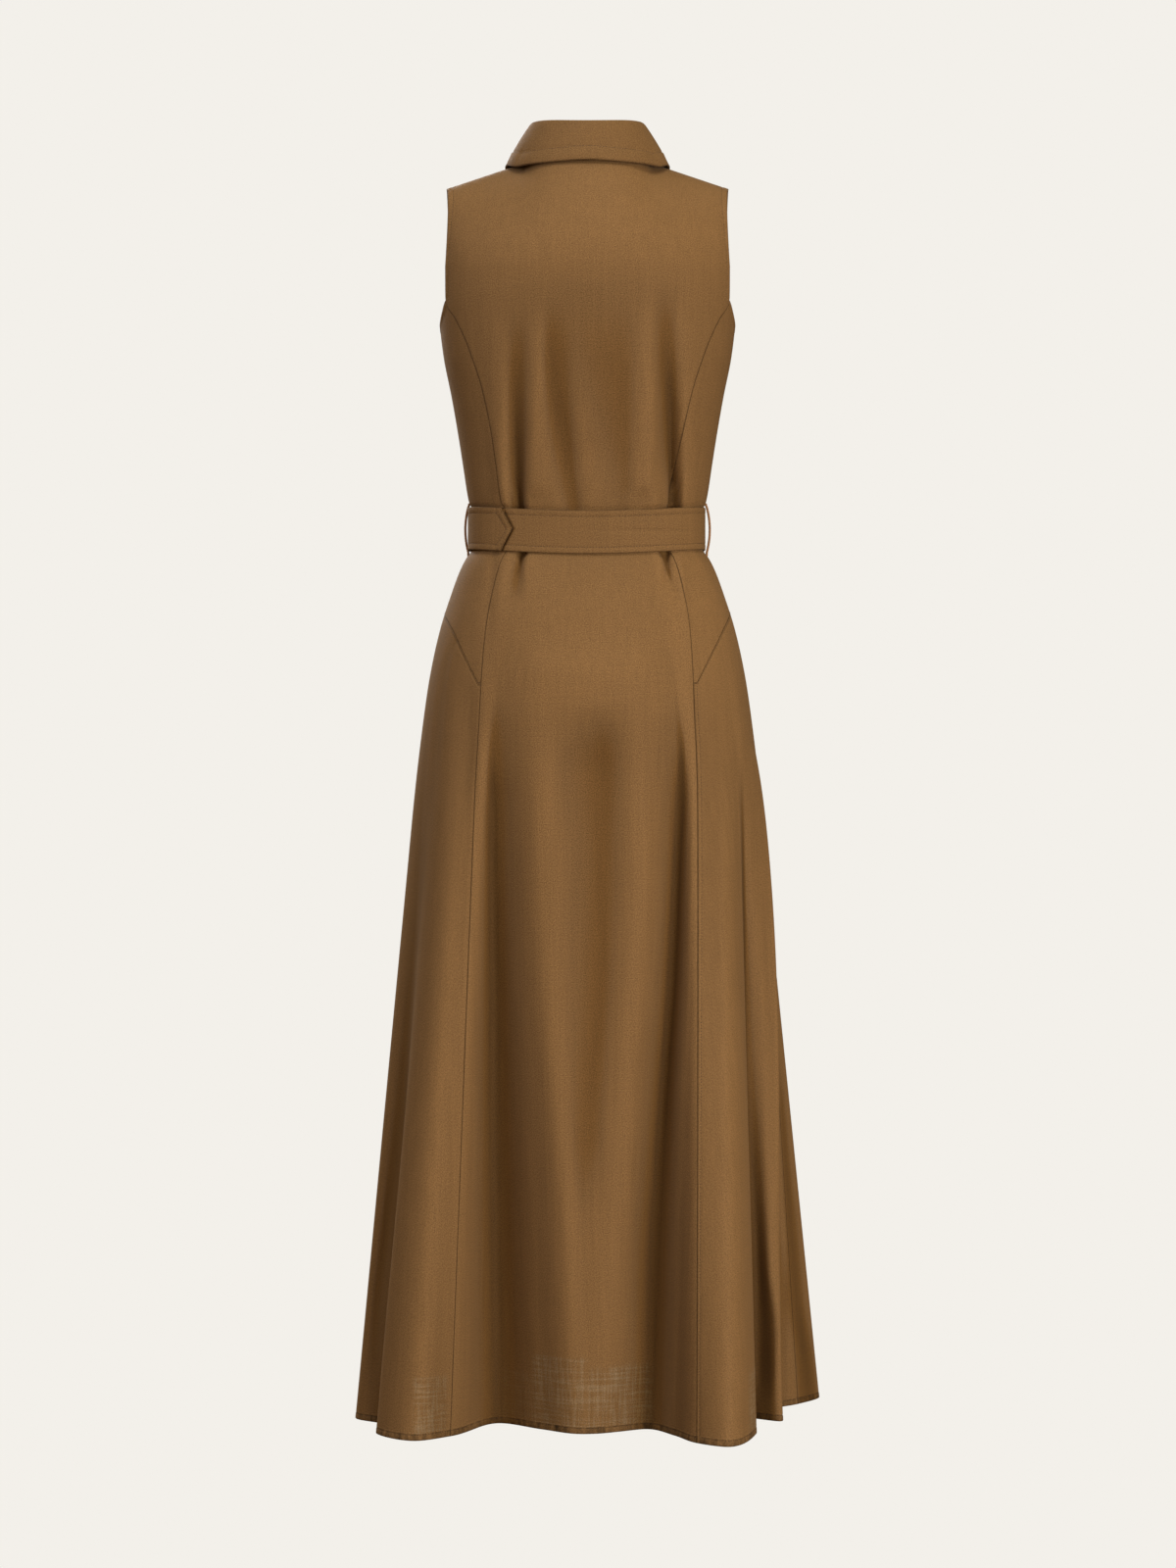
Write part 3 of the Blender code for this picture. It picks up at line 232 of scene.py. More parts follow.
# Skirt folds, round from the centre front: angle at the waist and where the cloth hangs free, height
# where the fold starts, place at the hem, and how far the line bows outwards on the way down
Fold = namedtuple("Fold", "name angle_waist angle_hang start hem_x hem_y bow")
FOLDS = [Fold(*row) for row in (
    ("placket edge, left", -172.85, -175.1, -0.60, -0.015, 0.176, 0.0),
    ("front left ridge", -158.0, -160.0, -0.60, -0.066, 0.190, 0.0),
    ("front left trough", -142.0, -144.0, -0.56, -0.112, 0.150, 0.0),
    ("front left flare", -127.0, -127.0, -0.60, -0.172, 0.168, 0.0),
    ("left hollow", -108.0, -108.0, -0.62, -0.205, 0.082, 0.0),
    ("side seam, left", -93.0, -93.0, -0.60, -0.2310, 0.002, 0.0),
    ("left flare", -84.0, -82.0, -0.58, -0.2402, -0.046, 0.0),
    ("left recess", -66.0, -68.0, -0.53, -0.2080, -0.080, 0.0),
    ("left edge", -58.0, -60.0, -0.51, -0.2138, -0.129, 0.0052),
    ("left ridge", -48.0, -45.0, -0.56, -0.1724, -0.1675, 0.0),
    ("princess seam, left", -42.0, -38.0, -0.58, -0.1385, -0.1433, 0.0),
    ("back left trough", -33.0, -30.3, -0.58, -0.0893, -0.0726, 0.0),
    ("back left flank", -23.0, -21.5, -0.58, -0.0465, -0.1060, 0.0),
    ("back ridge", -10.0, -9.4, -0.60, -0.0074, -0.1313, 0.0),
    ("back shallow trough", 4.0, 4.0, -0.57, 0.0124, -0.1286, 0.0),
    ("back low ridge", 16.5, 16.6, -0.60, 0.0324, -0.1186, 0.0),
    ("back right trough", 31.5, 29.8, -0.59, 0.0615, -0.1049, 0.0),
    ("back right flank", 37.5, 33.8, -0.60, 0.0876, -0.1391, 0.0),
    ("princess seam, right", 43.0, 37.4, -0.60, 0.1091, -0.1788, 0.0),
    ("right ridge", 50.0, 47.0, -0.60, 0.1380, -0.1985, 0.0),
    ("right edge", 57.0, 56.0, -0.61, 0.1710, -0.1300, 0.0),
    ("right recess", 62.0, 62.5, -0.61, 0.1640, -0.0420, 0.0),
    ("right fin", 78.0, 79.0, -0.62, 0.1990, -0.0618, 0.0115),
    ("right inner recess", 86.0, 86.5, -0.62, 0.1945, 0.0080, 0.0),
    ("side seam, right", 93.0, 93.0, -0.62, 0.2235, 0.0370, 0.0),
    ("right flare", 99.0, 100.0, -0.62, 0.2488, 0.0820, 0.0),
    ("right hollow", 118.0, 117.0, -0.62, 0.2080, 0.1180, 0.0),
    ("front right flare", 130.0, 130.0, -0.60, 0.1680, 0.1720, 0.0),
    ("front right trough", 144.0, 145.0, -0.57, 0.1100, 0.1520, 0.0),
    ("front right ridge", 158.0, 160.0, -0.60, 0.0640, 0.1880, 0.0),
    ("placket edge, right", 172.85, 175.1, -0.60, 0.015, 0.176, 0.0),
)]
HANG = -0.616
FOLD_EASE = 0.06

# Brings the highest value of t * (1 - t) ** 2 to 1
BOW_SCALE = 27 / 4

# Heights of the rows of points: the bodice up to the armhole, the skirt to the hip seam and to the hem
BODICE_ROWS = [-0.391, -0.3685, -0.3628, -0.352, -0.325, -0.290, -0.250, -0.210, -0.180, -0.155]
SKIRT_UPPER_ROWS = [-0.391, -0.4115, -0.4185, -0.432, -0.462, -0.505, -0.554]
SKIRT_LOWER_ROWS = [-0.554, -0.600, -0.650, -0.730, -0.850, -1.010, -1.160, -1.3155]
LAST_ROW = len(BODICE_ROWS) - 1
SKIRT_ROWS = SKIRT_UPPER_ROWS + SKIRT_LOWER_ROWS[1:]
YOKE_ROW = len(SKIRT_UPPER_ROWS) - 1
HEM_ROW = len(SKIRT_ROWS) - 1
NECK_SHARE = 0.41

# The skirt row down to which the belt's rows stay level
NIP_ROW = 3

# Half steps over which slopes are taken, in degrees round a ring and in a surface's own units
RING_STEP = 0.05
SURFACE_STEP = 0.001


def level_slopes(rise):
    """Slopes between steps, each from its two neighbours, level wherever the values turn round."""
    product = np.maximum(rise[:-1] * rise[1:], 0.0)
    total = rise[:-1] + rise[1:]
    return 2 * product / np.where(total == 0, 1.0, total)


def slopes(knots, values, even):
    """Slopes for a smooth curve through the values, each from its two neighbours.

    Without even, a curve between rising values only rises, and it is level at each top and bottom.
    """
    run = np.diff(knots)
    rise = np.diff(values) / run
    if even:
        inner = (rise[:-1] * run[1:] + rise[1:] * run[:-1]) / (run[:-1] + run[1:])
    else:
        inner = level_slopes(rise)
    return np.concatenate([rise[:1], inner, rise[-1:]])


def curve_between(t, width, start, leave, end, arrive):
    """Values at shares t of a stretch, from the values at its ends and the slopes there."""
    a = (1 + 2 * t) * (1 - t) ** 2 * start + t * (1 - t) ** 2 * width * leave
    b = t**2 * (3 - 2 * t) * end - t**2 * (1 - t) * width * arrive
    return a + b


def smooth(knots, values, at, even=False):
    """Values of a smooth curve through the knots, in rising order, at each place."""
    knots = np.asarray(knots, float)
    values = np.asarray(values, float)
    at = np.clip(np.asarray(at, float), knots[0], knots[-1])
    tangents = slopes(knots, values, even)
    i = np.clip(np.searchsorted(knots, at, side="right") - 1, 0, len(knots) - 2)
    width = knots[i + 1] - knots[i]
    t = (at - knots[i]) / width
    return curve_between(t, width, values[i], tangents[i], values[i + 1], tangents[i + 1])


def lengths(points, axis):
    """Running length along one axis of a grid of points."""
    steps = np.linalg.norm(np.diff(points, axis=axis), axis=-1)
    start = np.zeros_like(np.take(steps, [0], axis=axis))
    return np.concatenate([start, np.cumsum(steps, axis=axis)], axis=axis)


def ease(t):
    """0 to 1, flat at both ends."""
    t = np.clip(t, 0.0, 1.0)
    return t * t * (3 - 2 * t)


def hermite(start, leave, end, arrive, t):
    """Points of the curve from start to end that leaves and arrives in the given directions."""
    t = np.asarray(t, float)[..., None]
    return (
        (1 + 2 * t) * (1 - t) ** 2 * start
        + t * (1 - t) ** 2 * leave
        + t**2 * (3 - 2 * t) * end
        - t**2 * (1 - t) * arrive
    )


def between(way, share):
    """The way's direction for the neck at share 0, going over to the shoulder's at share 1."""
    share = np.asarray(share, float)[..., None]
    return np.array(way.neck) * (1 - share) + np.array(way.shoulder) * share


def unit(vectors):
    return vectors / np.linalg.norm(vectors, axis=-1, keepdims=True)


SECTION_TABLE = np.array(SECTIONS[::-1])


def section(height, column):
    return smooth(SECTION_TABLE[:, 0], SECTION_TABLE[:, Section._fields.index(column)], height)


def seam_angle(height):
    """Angle of the bodice's princess seams."""
    return section(height, "seam_angle")


def droop(angle, height):
    """How far the back of the waist sinks, fading away from the waist."""
    back = np.maximum(np.cos(np.radians(angle)), 0.0) ** 2
    away = (np.abs(height - WAIST) - DROOP_FLAT) / DROOP_REACH
    return WAIST_DROOP * back * (1 - ease(away))


def pinch_depth(angle, height, half_width):
    depth = np.zeros(np.broadcast(angle, height).shape)
    for p in PINCHES:
        up = np.clip((height - p.low) / (p.high - p.low), -1.0, 1.0)
        share = np.clip(up, 0.0, 1.0)
        middle = p.angle_low + (p.angle_high - p.angle_low) * share
        width = p.width_low + (p.width_high - p.width_low) * share
        across = np.radians(angle - middle) * half_width / width
        strength = np.where(up < 0, ease(1 + PINCH_CUT * up), (1 - up) ** PINCH_FADE)
        depth = depth + p.depth * strength * np.exp(-(across**2))
    return depth


def trunk(angle, height):
    """Points of the trunk, with the belt's pinches, at angles and design heights."""
    angle, height = np.broadcast_arrays(np.asarray(angle, float), np.asarray(height, float))
    half = section(height, "half_width")
    cosine = np.cos(np.radians(angle))
    sine = np.sin(np.radians(angle))
    depth = np.where(cosine > 0, section(height, "back_depth"), section(height, "front_depth"))
    bulge = 1 + SQUARENESS * np.sin(np.radians(2 * angle)) ** 2
    x = half * sine * bulge
    y = -depth * cosine * bulge
    inward = 1 - pinch_depth(angle, height, half) / np.hypot(x, y)
    return np.stack([x * inward, y * inward, height - droop(angle, height)], axis=-1)


def neck(angle):
    """The neck seam, by angle round the neck."""
    c = np.cos(np.radians(angle))
    x = NECK_HALF * np.sin(np.radians(angle))
    y = np.where(c > 0, -NECK_BACK * c, -NECK_FRONT * c)
    z = NECK_TOP - np.where(c > 0, NECK_BACK_DROP, NECK_FRONT_DROP) * c**2
    return np.stack([x, y, z], axis=-1)


def bodice_top(across, side, neck_start):
    """Neck seam, then shoulder seam, as across goes from neck_start's angle to the armhole."""
    hps_share = np.clip(across / NECK_SHARE, 0.0, 1.0)
    on_neck = neck(neck_start + (90.0 - neck_start) * hps_share)
    along = np.maximum((across - NECK_SHARE) / (1 - NECK_SHARE), 0.0)[..., None]
    points = on_neck + along * (np.array(SHOULDER_TIP) - neck(np.array(90.0)))
    return points * np.array([side, 1.0, 1.0])


def back_top(across, share):
    """The upper back between the shoulder blades' level and the neck and shoulder seams."""
    across, share = np.broadcast_arrays(np.asarray(across, float), np.asarray(share, float))
    side = np.where(across < 0, -1.0, 1.0)
    size = np.abs(across)
    low = trunk(across * seam_angle(BLADE), BLADE)
    flip = np.stack([side, np.ones_like(side), np.ones_like(side)], axis=-1)
    high = bodice_top(size, 1.0, 0.0) * flip
    on_shoulder = ease(size / NECK_SHARE)
    leave = between(BACK_LEAVE, on_shoulder) * flip
    arrive = between(BACK_ARRIVE, on_shoulder) * flip
    return hermite(low, leave, high, arrive, share)


def back_panel(across, row):
    """Back bodice between the princess seams, then the armholes. Rows run from 0 at the waist."""
    height = smooth(np.arange(LAST_ROW + 2), BODICE_ROWS + [BLADE], np.minimum(row, LAST_ROW + 1))
    lower = trunk(across * seam_angle(height), height)
    upper = back_top(across, row - LAST_ROW - 1)
    return np.where((row > LAST_ROW + 1)[..., None], upper, lower)


def front_edge_share(height):
    """Across share of the placket's edge, which runs straight down the front."""
    half = section(height, "half_width")
    return np.degrees(np.arcsin(PLACKET_HALF / half)) / seam_angle(height)


def front_height(across, row):
    """Front rows tilt down towards the centre, where the neck drops."""
    level = smooth(np.arange(LAST_ROW + 2), BODICE_ROWS + [BLADE], np.minimum(row, LAST_ROW + 1))
    centre = 1 - ease(across)
    top = BLADE + (CHEST - BLADE) * centre
    return WAIST + (level - WAIST) * (top - WAIST) / (BLADE - WAIST)


def front_trunk(across, height):
    edge = front_edge_share(height)
    share = edge + (1 - edge) * across
    return trunk(180.0 - share * seam_angle(height), height)


def front_panel(across, row, side):
    """Half of the front bodice, from the placket's edge to the armhole."""
    height = front_height(across, row)
    lower = front_trunk(across, height)
    start = 180.0 - np.degrees(np.arcsin(PLACKET_HALF / NECK_HALF))
    high = bodice_top(across, 1.0, start)
    on_shoulder = ease(across / NECK_SHARE)
    leave = between(FRONT_LEAVE, on_shoulder)
    arrive = between(FRONT_ARRIVE, on_shoulder)
    top_row = np.full_like(height, LAST_ROW + 1.0)
    low = front_trunk(across, front_height(across, top_row))
    upper = hermite(low, leave, high, arrive, row - LAST_ROW - 1)
    points = np.where((row > LAST_ROW + 1)[..., None], upper, lower)
    return mirrored(points, side, across, height)


def mirrored(points, side, across, height):
    """The left half, whose own pinches differ from the right half's."""
    if side > 0:
        return points
    half = section(height, "half_width")
    edge = front_edge_share(height)
    angle = 180.0 - (edge + (1 - edge) * across) * seam_angle(height)
    change = pinch_depth(-angle, height, half) - pinch_depth(angle, height, half)
    inward = 1 - change / np.hypot(points[..., 0], points[..., 1])
    turned = points * np.stack([-inward, inward, np.ones_like(inward)], axis=-1)
    return turned


def side_panel(share, row, side, front):
    """From the side seam, share 0, to the princess line, share 1, under the armhole."""
    level = smooth(np.arange(len(BODICE_ROWS)), BODICE_ROWS, row)
    top = UNDERARM + (BODICE_ROWS[-1] - UNDERARM) * share * np.sqrt(np.abs(share))
    height = WAIST + (level - WAIST) * (top - WAIST) / (BODICE_ROWS[-1] - WAIST)
    if front:
        line = 180.0 - seam_angle(height)
    else:
        line = seam_angle(height)
    angle = SIDE_ANGLE + (line - SIDE_ANGLE) * share
    return trunk(side * angle, height)


def chord_places():
    """Place of each fold round the hem, by straight-line distance."""
    return lengths(np.array([(f.hem_x, f.hem_y) for f in FOLDS]), 0)


FOLD_PLACES = chord_places()


def fold_value(column, place):
    even = column in ("hem_x", "hem_y")
    return smooth(FOLD_PLACES, [getattr(f, column) for f in FOLDS], place, even)


def fold_place(name):
    return FOLD_PLACES[[f.name for f in FOLDS].index(name)]


def skirt_angle(place, height):
    down = ease((WAIST - height) / (WAIST - HANG))
    waist = fold_value("angle_waist", place)
    return waist + (fold_value("angle_hang", place) - waist) * down


def skirt(place, height):
    """Points of the skirt at places round it and at design heights."""
    place, height = np.broadcast_arrays(np.asarray(place, float), np.asarray(height, float))
    angle = skirt_angle(place, height)
    points = trunk(angle, height)
    start = fold_value("start", place)
    down = np.clip((start - height) / (start - HEM), 0.0, None)
    grown = (1 + FOLD_EASE) * down**2 / (down + FOLD_EASE)
    hem = trunk(angle, np.full_like(height, HEM))
    points[..., 0] += grown * (fold_value("hem_x", place) - hem[..., 0])
    points[..., 1] += grown * (fold_value("hem_y", place) - hem[..., 1])
    bow = fold_value("bow", place) * BOW_SCALE * down * np.clip(1 - down, 0.0, None) ** 2
    points[..., 0] += bow
    return points


def yoke_seam(angle):
    """Height that the slanting hip seam has at an angle. In front it sinks back to level."""
    turn = np.abs(angle)
    rise = YOKE_RISE * (1 - np.exp(-np.maximum(turn - YOKE_FROM, 0.0) / YOKE_REACH))
    front = ease((turn - SIDE_ANGLE) / YOKE_FADE)
    return YOKE_POINT + rise * (1 - front)


def skirt_height(place, row):
    """Height of a row: 0 at the waist, the yoke's seam at the last upper row, then to the hem."""
    level = smooth(np.arange(HEM_ROW + 1), SKIRT_ROWS, row)
    seam = yoke_seam(skirt_angle(place, YOKE_POINT))
    above = WAIST + (level - WAIST) * (seam - WAIST) / (YOKE_POINT - WAIST)
    below = HEM + (level - HEM) * (seam - HEM) / (YOKE_POINT - HEM)
    # A belt's width of rows stays level, so that the cloth is nipped in all round
    nip = SKIRT_UPPER_ROWS[NIP_ROW]
    eased = nip + (level - nip) * (seam - nip) / (YOKE_POINT - nip)
    above = np.where(level > nip, level, eased)
    return np.where(row <= YOKE_ROW, above, below)


def placket(across, row):
    """The strip down the centre front. Rows count down the skirt below 0, up the bodice above 0."""
    across, row = np.broadcast_arrays(np.asarray(across, float), np.asarray(row, float))
    x = PLACKET_HALF * across
    height = front_height(np.zeros_like(row), np.maximum(row, 0.0))
    turned = np.degrees(np.arcsin(x / section(height, "half_width")))
    lower = trunk(180.0 - turned, height)
    chest = front_height(np.zeros_like(row), np.full_like(row, LAST_ROW + 1.0))
    low = trunk(180.0 - np.degrees(np.arcsin(x / section(chest, "half_width"))), chest)
    high = neck(180.0 - np.degrees(np.arcsin(x / NECK_HALF)))
    upper = hermite(low, np.array(FRONT_LEAVE.neck), high, np.array(FRONT_ARRIVE.neck), row - LAST_ROW - 1)
    bodice = np.where((row > LAST_ROW + 1)[..., None], upper, lower)
    return np.where((row < 0)[..., None], skirt_placket(across, np.maximum(-row, 0.0)), bodice)


def skirt_placket(across, row):
    """The strip between the two front edges of the skirt, rounded like the trunk."""
    left = skirt(0.0, skirt_height(np.zeros_like(row), row))
    end = np.full_like(row, FOLD_PLACES[-1])
    height = skirt_height(end, row)
    right = skirt(end, height)
    points = left + (right - left) * (across[..., None] + 1) / 2
    edge_angle = skirt_angle(end, height)
    round_ = trunk(180.0, height) - trunk(edge_angle, height)
    points[..., 1] += round_[..., 1] * (1 - across**2)
    return points


def plan_normal(curve, angle):
    """Outward level normals of a ring that runs round towards +X at the back."""
    along = curve(angle + RING_STEP) - curve(angle - RING_STEP)
    return unit(np.stack([along[..., 1], -along[..., 0], np.zeros_like(along[..., 0])], axis=-1))


def stand(angle, rise):
    """The collar stand, from the neck seam at rise 0 to its top edge at rise 1."""
    angle, rise = np.broadcast_arrays(np.asarray(angle, float), np.asarray(rise, float))
    c = np.cos(np.radians(angle))
    x = STAND_HALF * np.sin(np.radians(angle))
    y = np.where(c > 0, -STAND_BACK * c, -STAND_FRONT * c)
    z = STAND_TOP - np.where(c > 0, STAND_BACK_DROP, STAND_FRONT_DROP) * c**2
    foot = neck(angle) + np.array([0.0, 0.0, STAND_LIFT])
    rise = rise[..., None]
    points = foot * (1 - rise) + np.stack([x, y, z], axis=-1) * rise
    lapped = ease((angle - LAP_FROM) / (LAP_TO - LAP_FROM))
    shift = (CLOTH + LAP_GAP) * lapped - STAND_INSET
    return points + plan_normal(neck, angle) * shift[..., None]


def collar_edge(angle):
    """The free edge of the collar's fall."""
    mirror = [CollarEdge(-r.angle, -r.x, r.y, r.z) for r in reversed(COLLAR_EDGE[1:])]
    table = np.array(mirror + COLLAR_EDGE)
    return np.stack([smooth(table[:, 0], table[:, k], angle, True) for k in (1, 2, 3)], axis=-1)


def cleared(points, tree, clear, pull):
    """Points that lie at least clear off the faces of tree, and drawn to them by a share."""
    moved = points.reshape(-1, 3).copy()
    for k, (point, share) in enumerate(zip(moved, pull.reshape(-1))):
        near, normal, _, _ = tree.find_nearest(Vector(point))
        height = (Vector(point) - near).dot(normal)
        if height < clear and (Vector(point) - near).length < COLLAR_CLEAR_REACH * clear:
            moved[k] = Vector(point) + normal * (clear - height)
        elif clear < height < COLLAR_SETTLES:
            moved[k] = Vector(point) + normal * (clear - height) * share
    return moved.reshape(points.shape)


def through(stations, row):
    """Points of a smooth curve that is at each station when row is its number."""
    stations = np.stack(stations)
    last = len(stations) - 1
    i = np.clip(np.floor(row).astype(int), 0, last - 1)

    def pick(k):
        return np.take_along_axis(stations, np.clip(k, 0, last)[None, ..., None], axis=0)[0]

    before, start, end, after = pick(i - 1), pick(i), pick(i + 1), pick(i + 2)
    return hermite(start, (end - before) / 2, end, (after - start) / 2, row - i)


def fall(angle, row, tree):
    """The collar's fall, which rolls over the stand's top edge and then runs down to its own edge."""
    top = stand(angle, 1.0)
    along = unit(stand(angle + RING_STEP, 1.0) - stand(angle - RING_STEP, 1.0))
    up = top - stand(angle, STAND_LEAN_FROM)
    up = unit(up - along * np.sum(up * along, axis=-1, keepdims=True))
    out = np.cross(along, up)
    stations = [top + out * r.out + up * r.up for r in COLLAR_ROLL]
    start = stations[-1]
    edge = collar_edge(angle)
    for k in range(1, COLLAR_FALL_ROWS + 1):
        share = k / COLLAR_FALL_ROWS
        point = start + (edge - start) * share + out * COLLAR_BULGE * 4 * share * (1 - share)
        size = np.abs(np.broadcast_to(angle, point.shape[:-1]))
        grown = ease((size - PULL_FROM.start) / PULL_FROM.over)
        pull = COLLAR_PULL * grown * ease((PULL_TO.start - size) / PULL_TO.over) * share**3
        stations.append(cleared(point, tree, COLLAR_CLEAR, pull))
    return through(stations, row)


def belt_turn(along, up):
    """The angle round the waist; the last stretch runs out to the strap's point."""
    past = np.clip((along - BELT_SHOULDER) / (BELT_CORNER - BELT_SHOULDER), 0.0, 1.0)
    return along + past * (BELT_TIP - BELT_CORNER) * (1 - np.abs(up))


def waist_ring(angle):
    return trunk(angle, WAIST)


def belt(along, up):
    """The strap's outer face. Up runs from -1 at its lower edge to 1 at its upper edge."""
    turn = belt_turn(along, up)
    ring = waist_ring(turn)
    lapped = ease((turn - BELT_LAP_FROM) / (BELT_LAP_TO - BELT_LAP_FROM))
    over = ease((PLACKET_HALF + BELT_FRONT_EASE - np.abs(ring[..., 0])) / BELT_FRONT_EASE)
    over = over * (ring[..., 1] > 0)
    offset = BELT_OFFSET + BELT_THICK + (BELT_THICK + BELT_LAP_GAP) * lapped + (CLOTH + LAP_GAP) * over
    points = ring + plan_normal(waist_ring, turn) * offset[..., None]
    points[..., 2] = BELT_MIDDLE - droop(turn, WAIST) + up * BELT_HEIGHT / 2
    return points


def change(surface, a, b, step, axis):
    """How far the surface goes between one step before each place and one step after it."""
    if axis:
        return surface(a, b + step) - surface(a, b - step)
    return surface(a + step, b) - surface(a - step, b)


def normals_of(surface, a, b):
    """Outward normals of surface(a, b), where a runs round towards +X at the back and b upwards."""
    return unit(np.cross(*(change(surface, a, b, SURFACE_STEP, axis) for axis in (0, 1))))


def surface_tree(objects):
    """One search tree over the faces of several objects."""
    points, faces = [], []
    for part in objects:
        first = len(points)
        points.extend(v.co.copy() for v in part.data.vertices)
        faces.extend([first + v for v in p.vertices] for p in part.data.polygons)
    return BVHTree.FromPolygons(points, faces)


COLLAR_ROWS = len(COLLAR_ROLL) + COLLAR_FALL_ROWS - 1

# Lengths of the bodice's stretches, which set how many rows and columns each has
RIBS_LENGTH = 0.215
BLADE_LENGTH = 0.036
TOP_LENGTH = 0.12
SIDE_LENGTH = 0.09
COLLAR_LENGTH = 0.42

# Steps of the belt's sheet, and the length of the strap before, beside and after its point
BELT_SPACING = (0.0035, 0.0008)
BELT_STRETCHES = (0.25, 0.022, 0.66)

# Where and how closely the cloth is sampled beside its tucks
CLOSE_PLACES = (-0.0705, 0.0850)
CLOSE_REACH = 0.0095
CLOSE_STEP = 0.0011

# Outline of a button from the middle of its back to its dished middle, in shares of radius and thickness
Ring = namedtuple("Ring", "radius height")
BUTTON_OUTLINE = [Ring(*row) for row in (
    (0.60, 0.02), (0.84, 0.06), (0.95, 0.22), (1.0, 0.50), (0.98, 0.78), (0.92, 0.94), (0.85, 1.0),
    (0.77, 0.96), (0.70, 0.80), (0.64, 0.68), (0.35, 0.64),
)]
BUTTON_HOLE = 0.00085
BUTTON_HOLE_OUT = 0.00135

# Buttonholes: half length and half width of their ring of stitches
BUTTONHOLE_HALF = 0.0078
BUTTONHOLE_WIDE = 0.0011
BUTTONHOLE_LIFT = 0.0001
BUTTONHOLE_RISE = 0.034

# Bars of thread over a button's holes: their section, their rise and the share of them that bends down
BAR_WIDE = 0.0011
BAR_DEEP = 0.0005
BAR_RISE = 0.00035
BAR_ENDS = 0.35

# Cloth-covered belt slide: the frame's breadth and depth, and how far its corners are rounded
SLIDE_DEEP = 0.0021
SLIDE_CORNER = 0.0042

# A swept band: its outline's steps, how round it is, 1 for fully, the share of its sides that its girth
# takes, and the share of its length over which its ends turn in
BAND_STEP = 22.5
BAND_ROUND = 0.62
BAND_GIRTH = 0.9
BAND_ENDS = 0.16

# The side that level bands keep
LEVEL_SIDE = np.array([0.0, 1.0, 0.0])

# Thread loops: strands laid round each other
STRAND_RADIUS = 0.00068
STRAND_OUT = 0.00066
LOOP_FLAT = 0.93
STRANDS = 3
STRAND_TURN = 0.0052
LOOP_BULGE = 0.0036
LOOP_FOOT = 0.0004

# A pressed crease along the back of the belt, by angle and by share of the belt's half height
Crease = namedtuple("Crease", "angle reach up slope width depth")
BELT_CREASE = Crease(32.0, 26.0, -0.02, -0.004, 0.10, 0.0007)

# How quickly the shadow beside the belt's point fades, against that of a seam
BELT_SHADE = 0.55
BELT_CLOSE = (-45.5, -33.5)

# How far the upper back is eased to the sides and along its rows
Eased = namedtuple("Eased", "across row")
BACK_EASE = Eased(0.085, 0.20)

# The eased back: its weights over neighbouring places, and where it fades out towards the sides, the
# neck and the ribs
EASE_WEIGHTS = ((-2, 1), (-1, 4), (0, 6), (1, 4), (2, 1))
EASE_SUM = sum(share for _, share in EASE_WEIGHTS) ** 2
EASE_SIDES = 0.35
EASE_NECK = Span(0.92, 0.25)
EASE_RIBS = Span(1.0, 0.7)

# Finishes of a sheet's edge, by distance from it: the rounded rim, rows of stitches, and the turned-in
# cloth behind it, whose added thickness ends at the distance turned
Finish = namedtuple("Finish", "turned stitches raised")
SEAM = Finish(0.0, (), 0.0)
SEAM_STITCHED = Finish(0.0, (0.0030,), 0.0002)
ARMHOLE = Finish(0.0078, (0.0062,), 0.0002)
SKIRT_HEM = Finish(0.0072, (0.0058,), 0.0002)
COLLAR_FINISH = Finish(0.0, (0.0078,), 0.0006)
STAND_FINISH = Finish(0.0, (0.0030,), 0.0)
PLACKET_FINISH = Finish(0.0, (0.0028,), 0.0001)
BELT_FINISH = Finish(0.0, (0.0064,), 0.0001)
HIP_SEAM = Finish(0.0, (0.0026,), 0.0002)
OPEN_EDGES = (ARMHOLE, SKIRT_HEM, COLLAR_FINISH, STAND_FINISH, PLACKET_FINISH, BELT_FINISH)
RIM_ANGLES = (0.0, 35.0, 65.0, 90.0)

